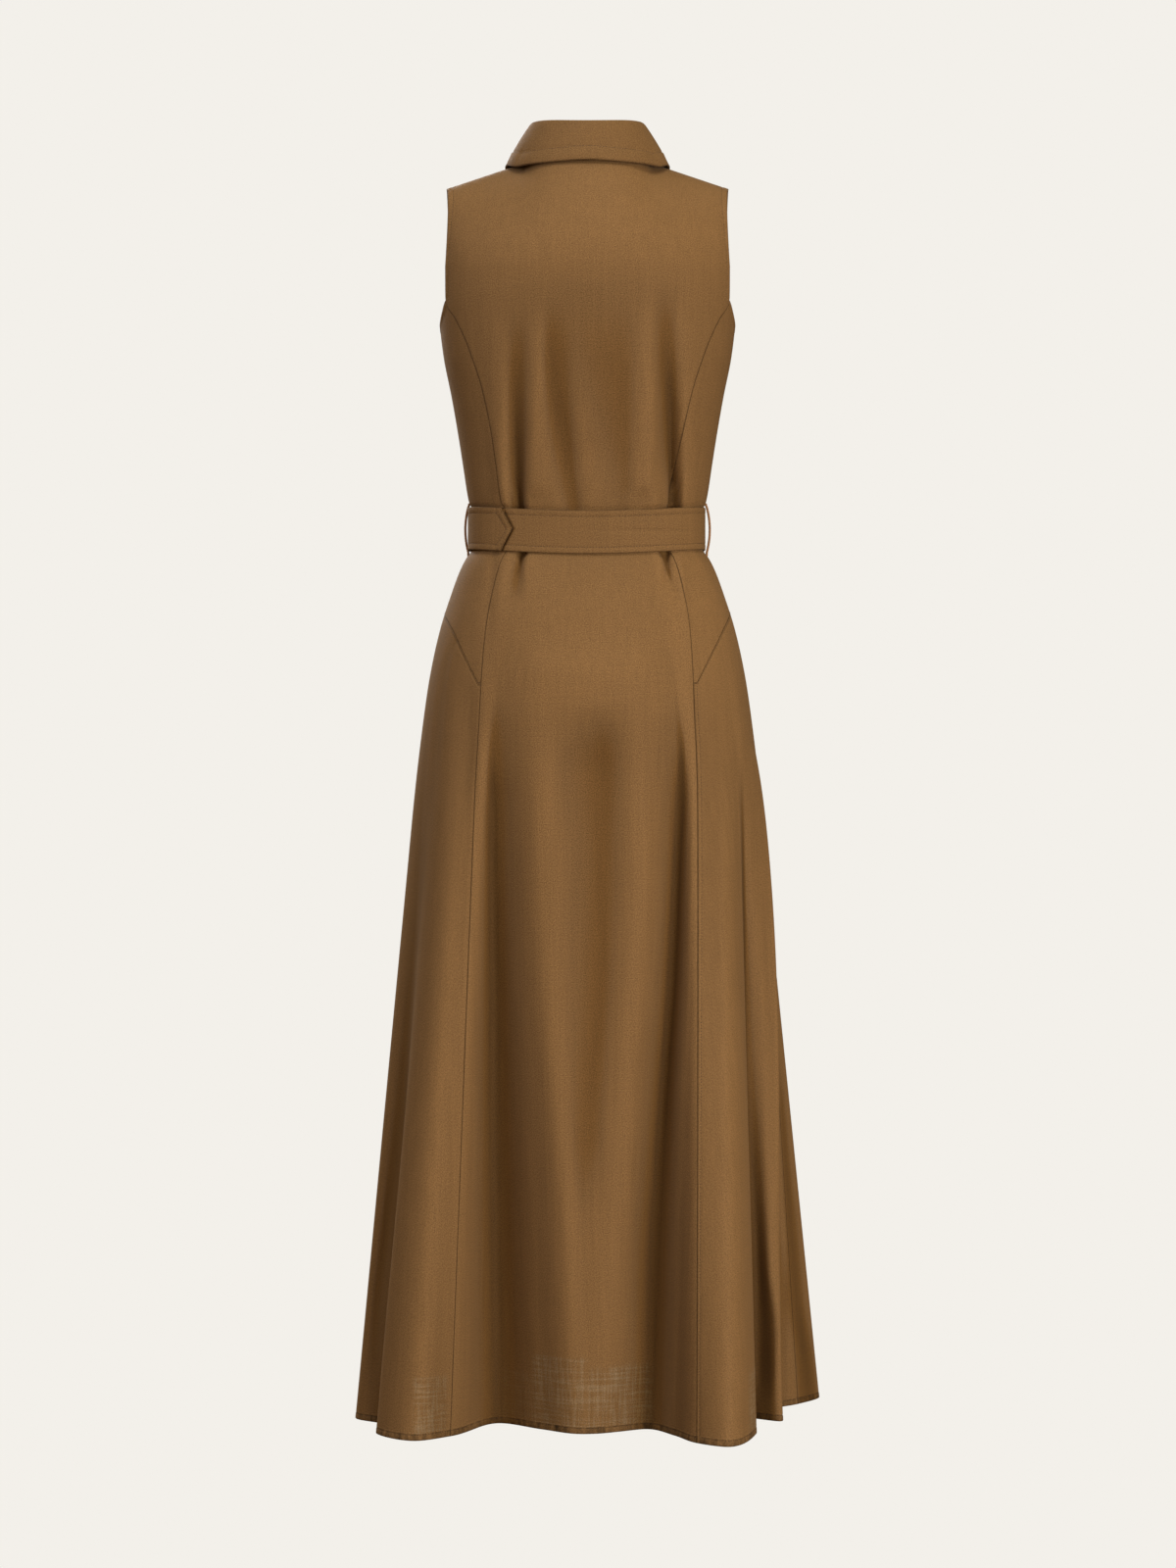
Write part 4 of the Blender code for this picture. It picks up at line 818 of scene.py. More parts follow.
# Painted shade (amounts above 0) and painted highlight (below 0) in long bands, added to the
# painted shade of the cloth's own hollows where y is in a range: height, place, half width and
# amount down each
ShadeBand = namedtuple("ShadeBand", "y_from y_to places")
PAINTED_SHADE_BANDS = [ShadeBand(*row) for row in (
    (-0.20, 0.02, (  # shoulders
        (-0.015, 0.0, 0.25, 0.00), (-0.035, 0.0, 0.25, -0.18), (-0.09, 0.0, 0.25, -0.18),
        (-0.15, 0.0, 0.25, 0.00)
    )),
    (-0.20, 0.0, (  # between the shoulder blades
        (-0.10, 0.0, 0.085, 0.00), (-0.16, 0.0, 0.085, 0.05), (-0.22, 0.0, 0.085, 0.12),
        (-0.29, 0.0, 0.080, 0.07), (-0.34, 0.0, 0.080, 0.00)
    )),
    (-0.20, 0.0, (  # seat
        (-0.43, 0.0, 0.085, 0.00), (-0.50, 0.0, 0.085, -0.10), (-0.56, 0.0, 0.085, -0.24),
        (-0.60, 0.0, 0.080, 0.00), (-0.63, 0.0, 0.070, 0.04), (-0.72, 0.0, 0.070, 0.00)
    )),
    (-0.20, 0.0, (  # right hip
        (-0.42, 0.122, 0.028, 0.00), (-0.49, 0.125, 0.028, -0.28), (-0.56, 0.130, 0.028, -0.12),
        (-0.64, 0.135, 0.028, 0.00)
    )),
    (-0.09, 0.01, (  # right recess
        (-0.93, 0.172, 0.006, 0.00), (-1.02, 0.174, 0.007, 0.10), (-1.12, 0.178, 0.009, 0.22),
        (-1.20, 0.182, 0.011, 0.42), (-1.30, 0.184, 0.013, 0.60), (-1.34, 0.184, 0.013, 0.60)
    )),
    (-0.03, 0.10, (  # right outer fold
        (-0.95, 0.203, 0.004, 0.00), (-1.03, 0.208, 0.004, 0.26), (-1.12, 0.214, 0.007, 0.34),
        (-1.20, 0.219, 0.009, 0.42), (-1.27, 0.232, 0.010, 0.44), (-1.34, 0.240, 0.011, 0.40)
    )),
    (-0.20, -0.06, (  # left flank
        (-0.88, -0.146, 0.014, 0.00), (-1.00, -0.150, 0.014, 0.06), (-1.06, -0.154, 0.014, 0.10),
        (-1.16, -0.162, 0.015, 0.17), (-1.24, -0.162, 0.016, 0.17), (-1.34, -0.160, 0.016, 0.10)
    )),
    (-0.20, -0.10, (  # right fold crest
        (-0.86, 0.150, 0.006, 0.00), (-0.95, 0.155, 0.008, -0.30), (-1.10, 0.159, 0.009, -0.45),
        (-1.24, 0.160, 0.009, -0.40), (-1.34, 0.160, 0.009, -0.20)
    )),
    (-0.20, -0.04, (  # centre crest
        (-1.02, 0.000, 0.020, 0.00), (-1.14, 0.000, 0.024, -0.22), (-1.30, 0.000, 0.026, -0.22),
        (-1.34, 0.000, 0.026, -0.10)
    )),
)]
# Painted highlight and shade of the folds: the cloth's tone from the crest of a fold, through level
# cloth at 0.5, to the bottom of a hollow
FOLD_SHADE_CURVE = ((0.0, 0.97), (0.42, 0.88), (0.55, 0.74), (1.0, 0.42))
SHADE_BAND_SOFT = 0.01
HOLLOW_REACHES = (0.010, 0.022)
PLACKET_WIDER = 1.06
HOLLOW_TOP = -0.05
HOLLOW_EASE = 0.05
GROOVE_HALF = 0.0008
GROOVE_DEPTH = 0.0004
TURN_ADDS = 0.0005
TURN_STEP = 0.0009
FAR = 0.05

# Sampling: half steps as a share of a surface's range, how many of them in from an edge its speed is
# taken, and the five columns of an edge's table away from the edge
SAMPLE_STEP = 1e-4
EDGE_INSET = 4
EDGE_RESTS = (FAR, 1.0, 0.0, 0.0, 0.0)

# Sheer places above the hem where a single layer lets the light through, by where they lie
Sheer = namedtuple("Sheer", "x_from x_to top strength")
SHEER = [Sheer(*row) for row in (
    (-0.177, -0.139, -1.251, 1.0), (-0.090, -0.052, -1.256, 0.35), (-0.058, 0.003, -1.236, 0.9),
    (-0.004, 0.069, -1.246, 1.0), (0.160, 0.174, -1.246, 1.0),
)]
SHEER_SOFT = 0.006
HEM_BAND = 0.0068
HEM_BELOW = -1.2

# Soft relief of the cloth in tenths of a millimetre: lines down the dress, each with its heights, its
# places across and how far the cloth stands out there
BODICE_RELIEF = {
    "left side": ((-550, -1198, 0), (-1560, -1128, 0), (-2760, -1078, 0), (-3730, -998, 0)),
    "left waist ridge": (
        (-550, -948, 0), (-1560, -918, 0), (-2160, -898, 8), (-2760, -898, 20), (-3360, -887, 30),
        (-3730, -877, 30)
    ),
    "left waist trough": (
        (-550, -677, 0), (-1560, -697, 0), (-2360, -727, -26), (-3060, -737, -40), (-3560, -737, -46),
        (-3730, -737, -50)
    ),
    "left inner ridge": (
        (-550, -466, 0), (-1560, -486, 0), (-2160, -516, 14), (-2860, -547, 30), (-3360, -547, 34),
        (-3730, -537, 24)
    ),
    "slanting trough": (
        (-550, -346, 0), (-1560, -386, 0), (-2280, -366, -26), (-2750, -306, -30), (-3220, -226, -22),
        (-3730, -135, -8)
    ),
    "centre ridge": (
        (-550, -95, 0), (-1560, -95, 0), (-2360, -75, 10), (-2890, -55, 20), (-3360, -25, 18),
        (-3730, 45, 8)
    ),
    "centre": ((-550, 306, 0), (-1560, 306, 0), (-2760, 326, -6), (-3730, 366, -6)),
    "right inner ridge": (
        (-550, 607, 0), (-1460, 607, 0), (-2060, 627, 12), (-2760, 637, 34), (-3360, 617, 44),
        (-3730, 617, 40)
    ),
    "right waist trough": (
        (-550, 847, 0), (-1360, 807, 0), (-1960, 797, -40), (-2560, 812, -80), (-3160, 827, -95),
        (-3560, 877, -95), (-3730, 893, -100)
    ),
    "right waist ridge": (
        (-550, 1028, 0), (-1560, 1018, 0), (-2160, 1008, 10), (-2760, 1008, 20), (-3730, 1038, 20)
    ),
    "right side": ((-550, 1259, 0), (-1560, 1259, 0), (-2760, 1208, 0), (-3730, 1158, 0)),
}
SKIRT_RELIEF = {
    "left rim": (
        (-4200, -1447, 0), (-4970, -1590, 0), (-5580, -1664, 0), (-7260, -1842, 0), (-8560, -1961, 0),
        (-10290, -2120, 0), (-11260, -2219, 0), (-12070, -2298, 0), (-13020, -2358, 0)
    ),
    "left strip": (
        (-4200, -1377, 0), (-4970, -1530, 0), (-5580, -1585, 0), (-7260, -1732, -10),
        (-8560, -1832, -20), (-10290, -1991, -40), (-11260, -2100, -50), (-12070, -2199, -40),
        (-13020, -2259, 0)
    ),
    "left hip": (
        (-4200, -1297, 0), (-4970, -1471, 0), (-6280, -1504, 0), (-7260, -1603, 5), (-8560, -1693, 10),
        (-10290, -1862, 15), (-11260, -1961, 20), (-12070, -2050, 15), (-13020, -2120, 0)
    ),
    "left panel": (
        (-4200, -1097, 0), (-4970, -1191, -6), (-6280, -1226, -10), (-7360, -1246, -6),
        (-8560, -1325, 0), (-10040, -1464, 0), (-11530, -1584, 0), (-13020, -1683, 0)
    ),
    "left seam": (
        (-4200, -946, 0), (-4970, -1002, 0), (-5780, -1077, 5), (-6370, -1097, 10), (-6970, -1147, 0),
        (-7560, -1176, 5), (-8560, -1206, 10), (-10040, -1276, 0), (-11530, -1355, 0), (-13020, -1395, 0)
    ),
    "left trough": (
        (-4200, -746, 0), (-4970, -793, 0), (-5580, -869, -10), (-6070, -928, -25), (-6420, -938, -45),
        (-6770, -938, -85), (-7560, -958, -100), (-8560, -968, -100), (-10040, -998, -80),
        (-11530, -1028, -60), (-13020, -1018, 0)
    ),
    "left flank": (
        (-4200, -396, 0), (-4970, -434, 0), (-5480, -462, 50), (-5970, -501, 45), (-6570, -511, 50),
        (-7360, -501, 65), (-8560, -462, 75), (-10040, -333, 80), (-11530, -213, 55), (-13020, -164, 0)
    ),
    "centre trough": (
        (-4200, 125, 0), (-4970, 125, 0), (-5480, 124, 60), (-5730, 124, 50), (-6020, 124, -15),
        (-6470, 114, -100), (-7360, 104, -80), (-8560, 74, -65), (-10040, 5, -25), (-11530, -25, 0),
        (-13020, -15, 0)
    ),
    "right flank": (
        (-4200, 436, 0), (-4970, 434, 0), (-5480, 452, 55), (-5970, 482, 25), (-6470, 521, 0),
        (-7360, 551, 40), (-8560, 482, 60), (-10040, 382, 50), (-11530, 283, 35), (-13020, 184, 0)
    ),
    "right trough": (
        (-4200, 726, 0), (-4970, 783, 0), (-5580, 859, -10), (-6170, 898, -35), (-6770, 913, -90),
        (-7560, 908, -120), (-8560, 879, -115), (-9550, 789, -110), (-10540, 690, -90),
        (-11530, 601, -70), (-13020, 571, 0)
    ),
    "right seam": (
        (-4200, 956, 0), (-4970, 1002, 0), (-5780, 1067, 10), (-6570, 1077, 20), (-7560, 1057, 30),
        (-8560, 1028, 30), (-10040, 978, 30), (-11530, 968, 35), (-13020, 968, 0)
    ),
    "right panel": (
        (-4200, 1127, 0), (-4970, 1221, 0), (-6280, 1335, 5), (-8560, 1365, 5), (-11530, 1415, 0),
        (-13020, 1445, 0)
    ),
    "right edge": (
        (-4200, 1227, 0), (-4970, 1341, 0), (-6280, 1445, 0), (-7070, 1484, 5), (-8360, 1544, 15),
        (-9650, 1564, 20), (-10620, 1603, 30), (-11580, 1643, 40), (-12530, 1663, 30), (-13020, 1673, 0)
    ),
    "right recess": (
        (-4200, 1287, 0), (-4970, 1421, 0), (-6280, 1524, 0), (-7070, 1574, -10), (-8360, 1653, -20),
        (-9650, 1678, -30), (-10620, 1723, -50), (-11580, 1762, -70), (-12530, 1777, -60),
        (-13020, 1782, 0)
    ),
    "right rim": (
        (-4200, 1347, 0), (-4970, 1490, 0), (-6280, 1613, 0), (-7070, 1673, 5), (-8360, 1772, 10),
        (-9650, 1832, 10), (-10620, 1862, 15), (-11580, 1891, 30), (-12330, 1981, 25), (-13020, 1941, 0)
    ),
    "right outer": (
        (-4200, 1387, 0), (-4970, 1530, 0), (-6280, 1673, 0), (-7070, 1752, 0), (-8360, 1881, 0),
        (-9650, 1951, -10), (-10620, 2010, -25), (-11580, 2040, -45), (-12330, 2130, -35),
        (-13020, 2090, 0)
    ),
    "right side": (
        (-4200, 1427, 0), (-4970, 1570, 0), (-6280, 1732, 0), (-7070, 1822, 0), (-8360, 1961, 0),
        (-9650, 2060, 0), (-10620, 2139, 0), (-11580, 2219, 0), (-12330, 2278, 0), (-13020, 2308, 0)
    ),
}

# Narrow tucks and puckers in tenths of a millimetre: height, place, half width and depth along each
TUCKS = {
    "left waist fold": (
        (-2376, -724, 80, 0), (-2975, -729, 60, 14), (-3574, -724, 50, 22), (-3794, -714, 50, 24),
        (-3954, -714, 50, 0)
    ),
    "left waist lip": (
        (-3195, -854, 50, 0), (-3475, -789, 32, -9), (-3654, -749, 22, -17), (-3794, -734, 20, -20),
        (-3954, -734, 20, 0)
    ),
    "left waist crease": (
        (-3415, -719, 30, 0), (-3594, -708, 19, 22), (-3794, -700, 17, 34), (-3954, -700, 17, 0)
    ),
    "right waist fold": (
        (-2077, 804, 90, 0), (-2776, 824, 70, 26), (-3275, 844, 60, 30), (-3574, 884, 50, 34),
        (-3794, 894, 50, 34), (-3954, 894, 50, 0)
    ),
    "right waist lip": (
        (-3275, 764, 50, 0), (-3554, 804, 30, -8), (-3694, 824, 22, -13), (-3794, 834, 20, -16),
        (-3954, 834, 20, 0)
    ),
    "right waist crease": (
        (-3455, 844, 30, 0), (-3624, 854, 19, 18), (-3794, 860, 17, 28), (-3954, 860, 17, 0)
    ),
    "right second lip": (
        (-3475, 984, 30, 0), (-3654, 964, 24, -9), (-3794, 954, 22, -12), (-3954, 954, 22, 0)
    ),
    "left belt tuck": (
        (-4034, -694, 35, 0), (-4174, -694, 35, 30), (-4473, -699, 45, 26), (-4753, -704, 60, 0)
    ),
    "left belt lip": (
        (-4034, -730, 20, 0), (-4174, -728, 22, -14), (-4373, -728, 30, -8), (-4613, -729, 40, 0)
    ),
    "left belt crease": (
        (-4034, -684, 17, 0), (-4174, -684, 17, 28), (-4303, -688, 18, 22), (-4453, -694, 20, 0)
    ),
    "right belt tuck": (
        (-4034, 814, 35, 0), (-4174, 814, 35, 34), (-4453, 809, 45, 26), (-4673, 804, 60, 0)
    ),
    "right belt lip": (
        (-4034, 774, 20, 0), (-4174, 774, 22, -12), (-4373, 774, 30, -6), (-4593, 774, 40, 0)
    ),
    "right belt crease": (
        (-4034, 820, 17, 0), (-4174, 820, 17, 28), (-4313, 816, 18, 20), (-4473, 814, 20, 0)
    ),
    "left soft line": (
        (-4034, -964, 50, 0), (-4203, -964, 50, 15), (-4773, -1004, 70, 15), (-5472, -1043, 80, 0)
    ),
    "right ridge line": (
        (-4034, 974, 30, 0), (-4203, 974, 30, -12), (-4972, 1023, 40, -14), (-5571, 1063, 50, 0)
    ),
    "left hip nip": ((-5062, -1333, 25, 0), (-5122, -1355, 25, 12), (-5202, -1393, 25, 0)),
    "left hip line": ((-5202, -1393, 25, 0), (-5352, -1413, 25, -5), (-5821, -1477, 30, 0)),
    "right hip nip": ((-5282, 1133, 25, 0), (-5372, 1156, 25, 12), (-5482, 1179, 25, 0)),
    "right seam pucker": ((-2925, 1058, 22, 0), (-3005, 1053, 22, 10), (-3085, 1048, 22, 0)),
}
TENTHS_TO_METRE = 1e4

# The cloth's material: the tone of its clouds, the painted shade of its hem band and of the hem's
# wrinkles, the tone of its sheer places, the painted shade of its hollows, and how far the painted
# shade in the seams, the dark rims and the puckers reach
CLOUD_TONE = 0.10
HEM_WRINKLE_SHADE = 1.6
RIM_REACH = 0.0016
CREASE_REACH = 0.0015
LEVEL_SHADE = 0.8
SHEER_TONE = -0.08
SHEER_LIGHT = (0.55, -0.06)
HOLLOW_SHADE_REACH = 0.16
HOLLOW_SHADE_COLOUR = (1.0, 0.92, 0.72, 1.0)
ROUGH_SLUB = 0.25
PUCKER_FADE = (0.001, 0.009)
GATHER_FADE = (0.0055, 0.0105)

# How much the loops' thread is lightened past the stitches': painted light on the loops, which
# also lifts off the stitches' painted shade
LOOP_PAINTED_LIGHT = 7.0

# Tucks and folds on the front, and under the belt
FRONT_RELIEF = 0.6
FRONT_RELIEF_FROM = 0.026
BELT_EDGE = 0.0225
BELT_EASE = 0.018
BELT_ROOM = 0.0008


def across_lines(place, out, x):
    """Values between rising places, by a curve that is level on each ridge and in each trough."""
    run = np.diff(place, axis=0)
    rise = np.diff(out, axis=0) / run
    level = np.zeros_like(rise[:1])
    slope = np.concatenate([level, level_slopes(rise), level])
    i = np.clip(np.sum(place <= x, axis=0) - 1, 0, len(place) - 2)[None]

    def pick(table, k):
        return np.take_along_axis(table, k, axis=0)[0]

    width = pick(run, i)
    t = np.clip((x - pick(place, i)) / width, 0.0, 1.0)
    return curve_between(t, width, pick(out, i), pick(slope, i), pick(out, i + 1), pick(slope, i + 1))


def in_metres(rows, height):
    """The columns of a table in tenths of a millimetre, from the top down, at each height."""
    table = np.array(rows[::-1]) / TENTHS_TO_METRE
    return [smooth(table[:, 0], column, height) for column in table.T[1:]]


def stands_out(lines, x, height):
    """How far the cloth stands out at x and a height, between lines of known relief."""
    place, out = zip(*(in_metres(rows, height) for rows in lines.values()))
    return across_lines(np.stack(place), np.stack(out), x)


def tucked(x, height):
    """Depth of the narrow tucks at x and a height."""
    depth = np.zeros(x.shape)
    for rows in TUCKS.values():
        middle, width, deep = in_metres(rows, height)
        depth = depth + deep * np.exp(-(((x - middle) / width) ** 2))
    return depth


def folded(surface, lines):
    """The surface with soft folds and tucks worked into its back and, fainter, into its front."""

    def worked(a, b):
        points = surface(a, b)
        back = points[..., 1] < 0
        x = np.where(back, points[..., 0], -points[..., 0])
        height = points[..., 2]
        out = stands_out(lines, x, height) - tucked(x, height)
        clear = ease((np.abs(height - BELT_MIDDLE) - BELT_EDGE) / BELT_EASE)
        out = np.where(out > BELT_ROOM, BELT_ROOM + (out - BELT_ROOM) * clear, out)
        front = -FRONT_RELIEF * ease(np.abs(x) / FRONT_RELIEF_FROM - 1.0)
        points[..., 1] -= out * np.where(back, 1.0, front)
        return points

    return worked


def profile(finish, thick):
    """Rows of distance from the edge, roundness from 0 on the rim to 1, groove, turning and rise."""
    turn = np.radians(RIM_ANGLES)
    rows = [(thick / 2 * (1 - math.cos(t)), math.sin(t), 0.0, 1.0) for t in turn]
    for s in finish.stitches:
        rows += [(s - GROOVE_HALF, 1.0, 0.0, 1.0), (s, 1.0, 1.0, 1.0), (s + GROOVE_HALF, 1.0, 0.0, 1.0)]
    if finish.turned:
        rows += [(finish.turned, 1.0, 0.0, 1.0), (finish.turned + TURN_STEP, 1.0, 0.0, 0.0)]
    table = np.array(sorted(rows))
    if not finish.turned:
        table[:, 3] = 0.0
    inner_stitch = max(finish.stitches, default=0.0) - GROOVE_HALF / 2
    rise = finish.raised * (table[:, 0] < inner_stitch)
    return np.concatenate([table, rise[:, None]], axis=1)


def inserted(base, low, high, metric_low, metric_high):
    """Places along one direction with the two edges' rows put in, and the distances they stand for."""
    start = base[0] + low[:, 0][:, None] / metric_low
    end = base[-1] - high[::-1, 0][:, None] / metric_high
    share = (base[1:-1] - base[0]) / (base[-1] - base[0])
    middle = start[-1] + (end[0] - start[-1]) * share[:, None]
    return np.concatenate([start, middle, end])


def filled(low, high, count, column, rest):
    """One column of both edges' tables, with the rest between them."""
    return np.concatenate([low[:, column], np.full(count - 2, rest), high[::-1, column]])


def with_edges(base, low, high):
    """Places along one direction, with the ends repeated for every row of the edges' tables."""
    return np.concatenate([np.full(len(low), base[0]), base[1:-1], np.full(len(high), base[-1])])


Sheet = namedtuple("Sheet", "points normals outer inner uv edge seam hollow lines")


def sample(surface, columns, rows, finishes, thick, masks=(None,) * 4):
    """Samples a surface as a sheet. Finishes are for the first and last column and row.

    Masks, one for each finish, say by row or column where its stitches and turning are.
    """
    columns, rows = np.asarray(columns, float), np.asarray(rows, float)
    tables = [profile(f, thick) for f in finishes]
    steps = [(places[-1] - places[0]) * SAMPLE_STEP for places in (columns, rows)]
    whole = with_edges(columns, *tables[:2]), with_edges(rows, *tables[2:])

    def speed(axis, end):
        inset = (columns, rows)[axis][end] + (EDGE_INSET if end == 0 else -EDGE_INSET) * steps[axis]
        along = whole[1 - axis]
        ends = np.full_like(along, inset)
        a, b = (along, ends) if axis else (ends, along)
        return np.linalg.norm(change(surface, a, b, steps[axis], axis), axis=-1) / (2 * steps[axis])

    a = inserted(columns, tables[0], tables[1], speed(0, 0), speed(0, -1)).T
    b = inserted(rows, tables[2], tables[3], speed(1, 0), speed(1, -1))
    points = surface(a, b)
    near_a = np.clip(a, columns[0] + steps[0], columns[-1] - steps[0])
    near_b = np.clip(b, rows[0] + steps[1], rows[-1] - steps[1])
    round_, up = (change(surface, near_a, near_b, steps[axis], axis) for axis in (0, 1))
    normals = unit(np.cross(round_, up))
    if np.sum(points * np.array([1.0, 1.0, 0.0]) * normals) < 0:
        normals = -normals
    across = [filled(tables[0], tables[1], len(columns), k, rest) for k, rest in enumerate(EDGE_RESTS)]
    along = [filled(tables[2], tables[3], len(rows), k, rest) for k, rest in enumerate(EDGE_RESTS)]
    shape = points.shape[:2]
    weight = [
        np.ones(shape) if mask is None else mask(b if k < 2 else a) for k, mask in enumerate(masks)
    ]
    left = np.arange(shape[1]) < shape[1] / 2
    low = np.arange(shape[0]) < shape[0] / 2
    by_column = np.where(left[None, :], weight[0], weight[1])
    by_row = np.where(low[:, None], weight[2], weight[3])
    rim = across[1][None, :] * along[1][:, None]
    groove, added, raised = (
        np.maximum(across[k][None, :] * by_column, along[k][:, None] * by_row) for k in (2, 3, 4)
    )
    outer = -thick / 2 + (thick / 2 + raised) * rim - GROOVE_DEPTH * groove
    inner = -thick / 2 - (thick / 2 + TURN_ADDS * added) * rim
    turned = [f in OPEN_EDGES for f in finishes]
    is_edge_a = np.where(left, turned[0], turned[1])[None, :] & (by_column > 0.5)
    is_edge_b = np.where(low, turned[2], turned[3])[:, None] & (by_row > 0.5)
    to_side, to_end = across[0][None, :], along[0][:, None]
    edge = np.minimum(np.where(is_edge_a, to_side, FAR), np.where(is_edge_b, to_end, FAR))
    seam = np.minimum(np.where(is_edge_a, FAR, to_side), np.where(is_edge_b, FAR, to_end))
    lines = stitch_lines(points + normals * outer[..., None], normals, finishes, tables, weight)
    hollow = hollowness(surface, a, b, points, normals, np.linalg.norm(round_, axis=-1) / (2 * steps[0]))
    return Sheet(points, normals, outer, inner, flat_uv(points), edge, seam, hollow, lines)


def hollowness(surface, a, b, points, normals, speed):
    """How deep each point lies in a fold: its depth under the cloth on either side of it."""
    deep = np.zeros(points.shape[:2])
    for reach in HOLLOW_REACHES:
        away = reach / np.maximum(speed, 1e-6)
        beside = (surface(a + away, b) + surface(a - away, b)) / 2
        deep = deep + np.sum((beside - points) * normals, axis=-1) / reach
    return deep / len(HOLLOW_REACHES)


def stitch_lines(points, normals, finishes, tables, weight):
    """Points and normals along each row of stitches, cut short at the sheet's other edges."""
    last = [len(t) for t in tables]
    rows = slice(last[2] - 1, points.shape[0] - last[3] + 1)
    columns = slice(last[0] - 1, points.shape[1] - last[1] + 1)
    lines = []
    for k, (finish, table) in enumerate(zip(finishes, tables)):
        for s in finish.stitches:
            i = int(np.argmin(np.abs(table[:, 0] - s)))
            if k in (1, 3):
                i = -1 - i
            where = (rows, i) if k < 2 else (i, columns)
            keep = weight[k][where] > 0.5
            if keep.sum() > 2:
                lines.append((points[where][keep], normals[where][keep]))
    return lines


def flat_uv(points):
    """The sheet laid flat, in metres, with the thread running down its middle column."""
    across = lengths(points, 1)
    down = lengths(points, 0)
    across = across - across[:, points.shape[1] // 2][:, None]
    return np.stack([across, down], axis=-1)


def sheer_at(points):
    """How sheer the cloth is at each point, from 0 to 1."""
    x, y, z = points[..., 0], points[..., 1], points[..., 2]
    total = np.zeros(x.shape)
    for s in SHEER:
        inside = ease((x - s.x_from) / SHEER_SOFT) * ease((s.x_to - x) / SHEER_SOFT)
        total = np.maximum(total, s.strength * inside * ease((s.top - z) / SHEER_SOFT))
    return total * (y < 0)


def painted_shade_bands(points):
    """The painted shade and highlight that the long bands add to the hollow that the cloth's own shape gives.
    """
    x, y, z = points[..., 0], points[..., 1], points[..., 2]
    total = np.zeros(x.shape)
    for fold in PAINTED_SHADE_BANDS:
        table = np.array(fold.places[::-1])
        middle, width, depth = (smooth(table[:, 0], table[:, k], z) for k in (1, 2, 3))
        inside = ease((y - fold.y_from) / SHADE_BAND_SOFT) * ease((fold.y_to - y) / SHADE_BAND_SOFT)
        total = total + depth * inside * np.exp(-(((x - middle) / width) ** 2))
    return total


def keep_values(mesh, label, values):
    """Stores a number for each point of a mesh."""
    own = mesh.attributes.new(label, "FLOAT", "POINT")
    own.data.foreach_set("value", np.asarray(values, np.float32))


def keep_flat(mesh, corners):
    """Stores the flat layout, one place for each corner of each face."""
    layer = mesh.uv_layers.new(name="Flat")
    layer.data.foreach_set("uv", np.asarray(corners, np.float32).reshape(-1))


def mesh_of(name, points, faces, edges=()):
    mesh = bpy.data.meshes.new(name)
    mesh.from_pydata(points, edges, faces)
    mesh.update()
    return mesh


def linked(name, data):
    """A new object in the scene."""
    made = bpy.data.objects.new(name, data)
    bpy.context.scene.collection.objects.link(made)
    return made


def sheet_mesh(name, sheet):
    """A closed mesh of a sheet's two faces, joined along its rim, with its flat layout as UV."""
    rows, columns = sheet.points.shape[:2]
    border = np.zeros((rows, columns), bool)
    border[[0, -1], :] = True
    border[:, [0, -1]] = True
    outer = sheet.points + sheet.normals * sheet.outer[..., None]
    inner = sheet.points + sheet.normals * sheet.inner[..., None]
    front = np.arange(rows * columns).reshape(rows, columns)
    back = np.where(border, front, 0)
    back[~border] = rows * columns + np.arange((~border).sum())
    place = np.concatenate([outer.reshape(-1, 3), inner[~border]])

    def corners(index):
        around = index[:-1, :-1], index[:-1, 1:], index[1:, 1:], index[1:, :-1]
        return np.stack(around, axis=-1).reshape(-1, 4)

    a, b = corners(front), corners(back)
    first = place[a[:, 1]] - place[a[:, 0]]
    second = place[a[:, 3]] - place[a[:, 0]]
    facing = np.sum(np.cross(first, second) * sheet.normals.reshape(-1, 3)[a[:, 0]])
    if facing > 0:
        b = b[:, ::-1]
    else:
        a = a[:, ::-1]
    faces = np.concatenate([a, b])
    mesh = mesh_of(name, place.tolist(), faces.tolist())
    source = np.concatenate([front.reshape(-1), front[~border]])
    keep_flat(mesh, sheet.uv.reshape(-1, 2)[source][faces.reshape(-1)])
    edge = sheet.edge.reshape(-1)[source]
    # Painted fold shade: the cloth's own hollowness, faded out below the neck, with the painted shade bands
    # added
    hollow = sheet.hollow.reshape(-1)[source] * ease((HOLLOW_TOP - place[:, 2]) / HOLLOW_EASE)
    down = lengths(sheet.points, 0)
    down = np.minimum(down, down[-1] - down).reshape(-1)[source]
    keep_values(mesh, "edge", edge)
    keep_values(mesh, "seam", sheet.seam.reshape(-1)[source])
    keep_values(mesh, "hollow", hollow + painted_shade_bands(place))
    keep_values(mesh, "sheer", sheer_at(place) * (edge > HEM_BAND))
    keep_values(mesh, "hem", (down < HEM_BAND) & (place[:, 2] < HEM_BELOW))
    mesh.shade_smooth()
    return mesh


def add_piece(name, mesh, nodes, finish):
    """Shows a mesh as a piece of the dress that stands for the frame's nodes."""
    piece = linked(name, mesh)
    mesh.materials.append(finish)
    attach(piece, "root")
    if nodes:
        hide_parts(*nodes)
    return piece


def add_made(name, mesh, nodes, finish):
    """Shows a mesh that geometry nodes have made as a piece, smooth and with one finish."""
    mesh.name = name
    mesh.shade_smooth()
    mesh.materials.clear()
    add_piece(name, mesh, nodes, finish)


LINES = {}


def add_sheet(name, sheet, node, group, finish=None):
    """Adds a sheet of cloth and keeps its rows of stitches for the stitching."""
    piece = add_piece(name, sheet_mesh(name, sheet), [node], finish or cloth_material())
    LINES.setdefault(group, []).extend(sheet.lines)


# Materials


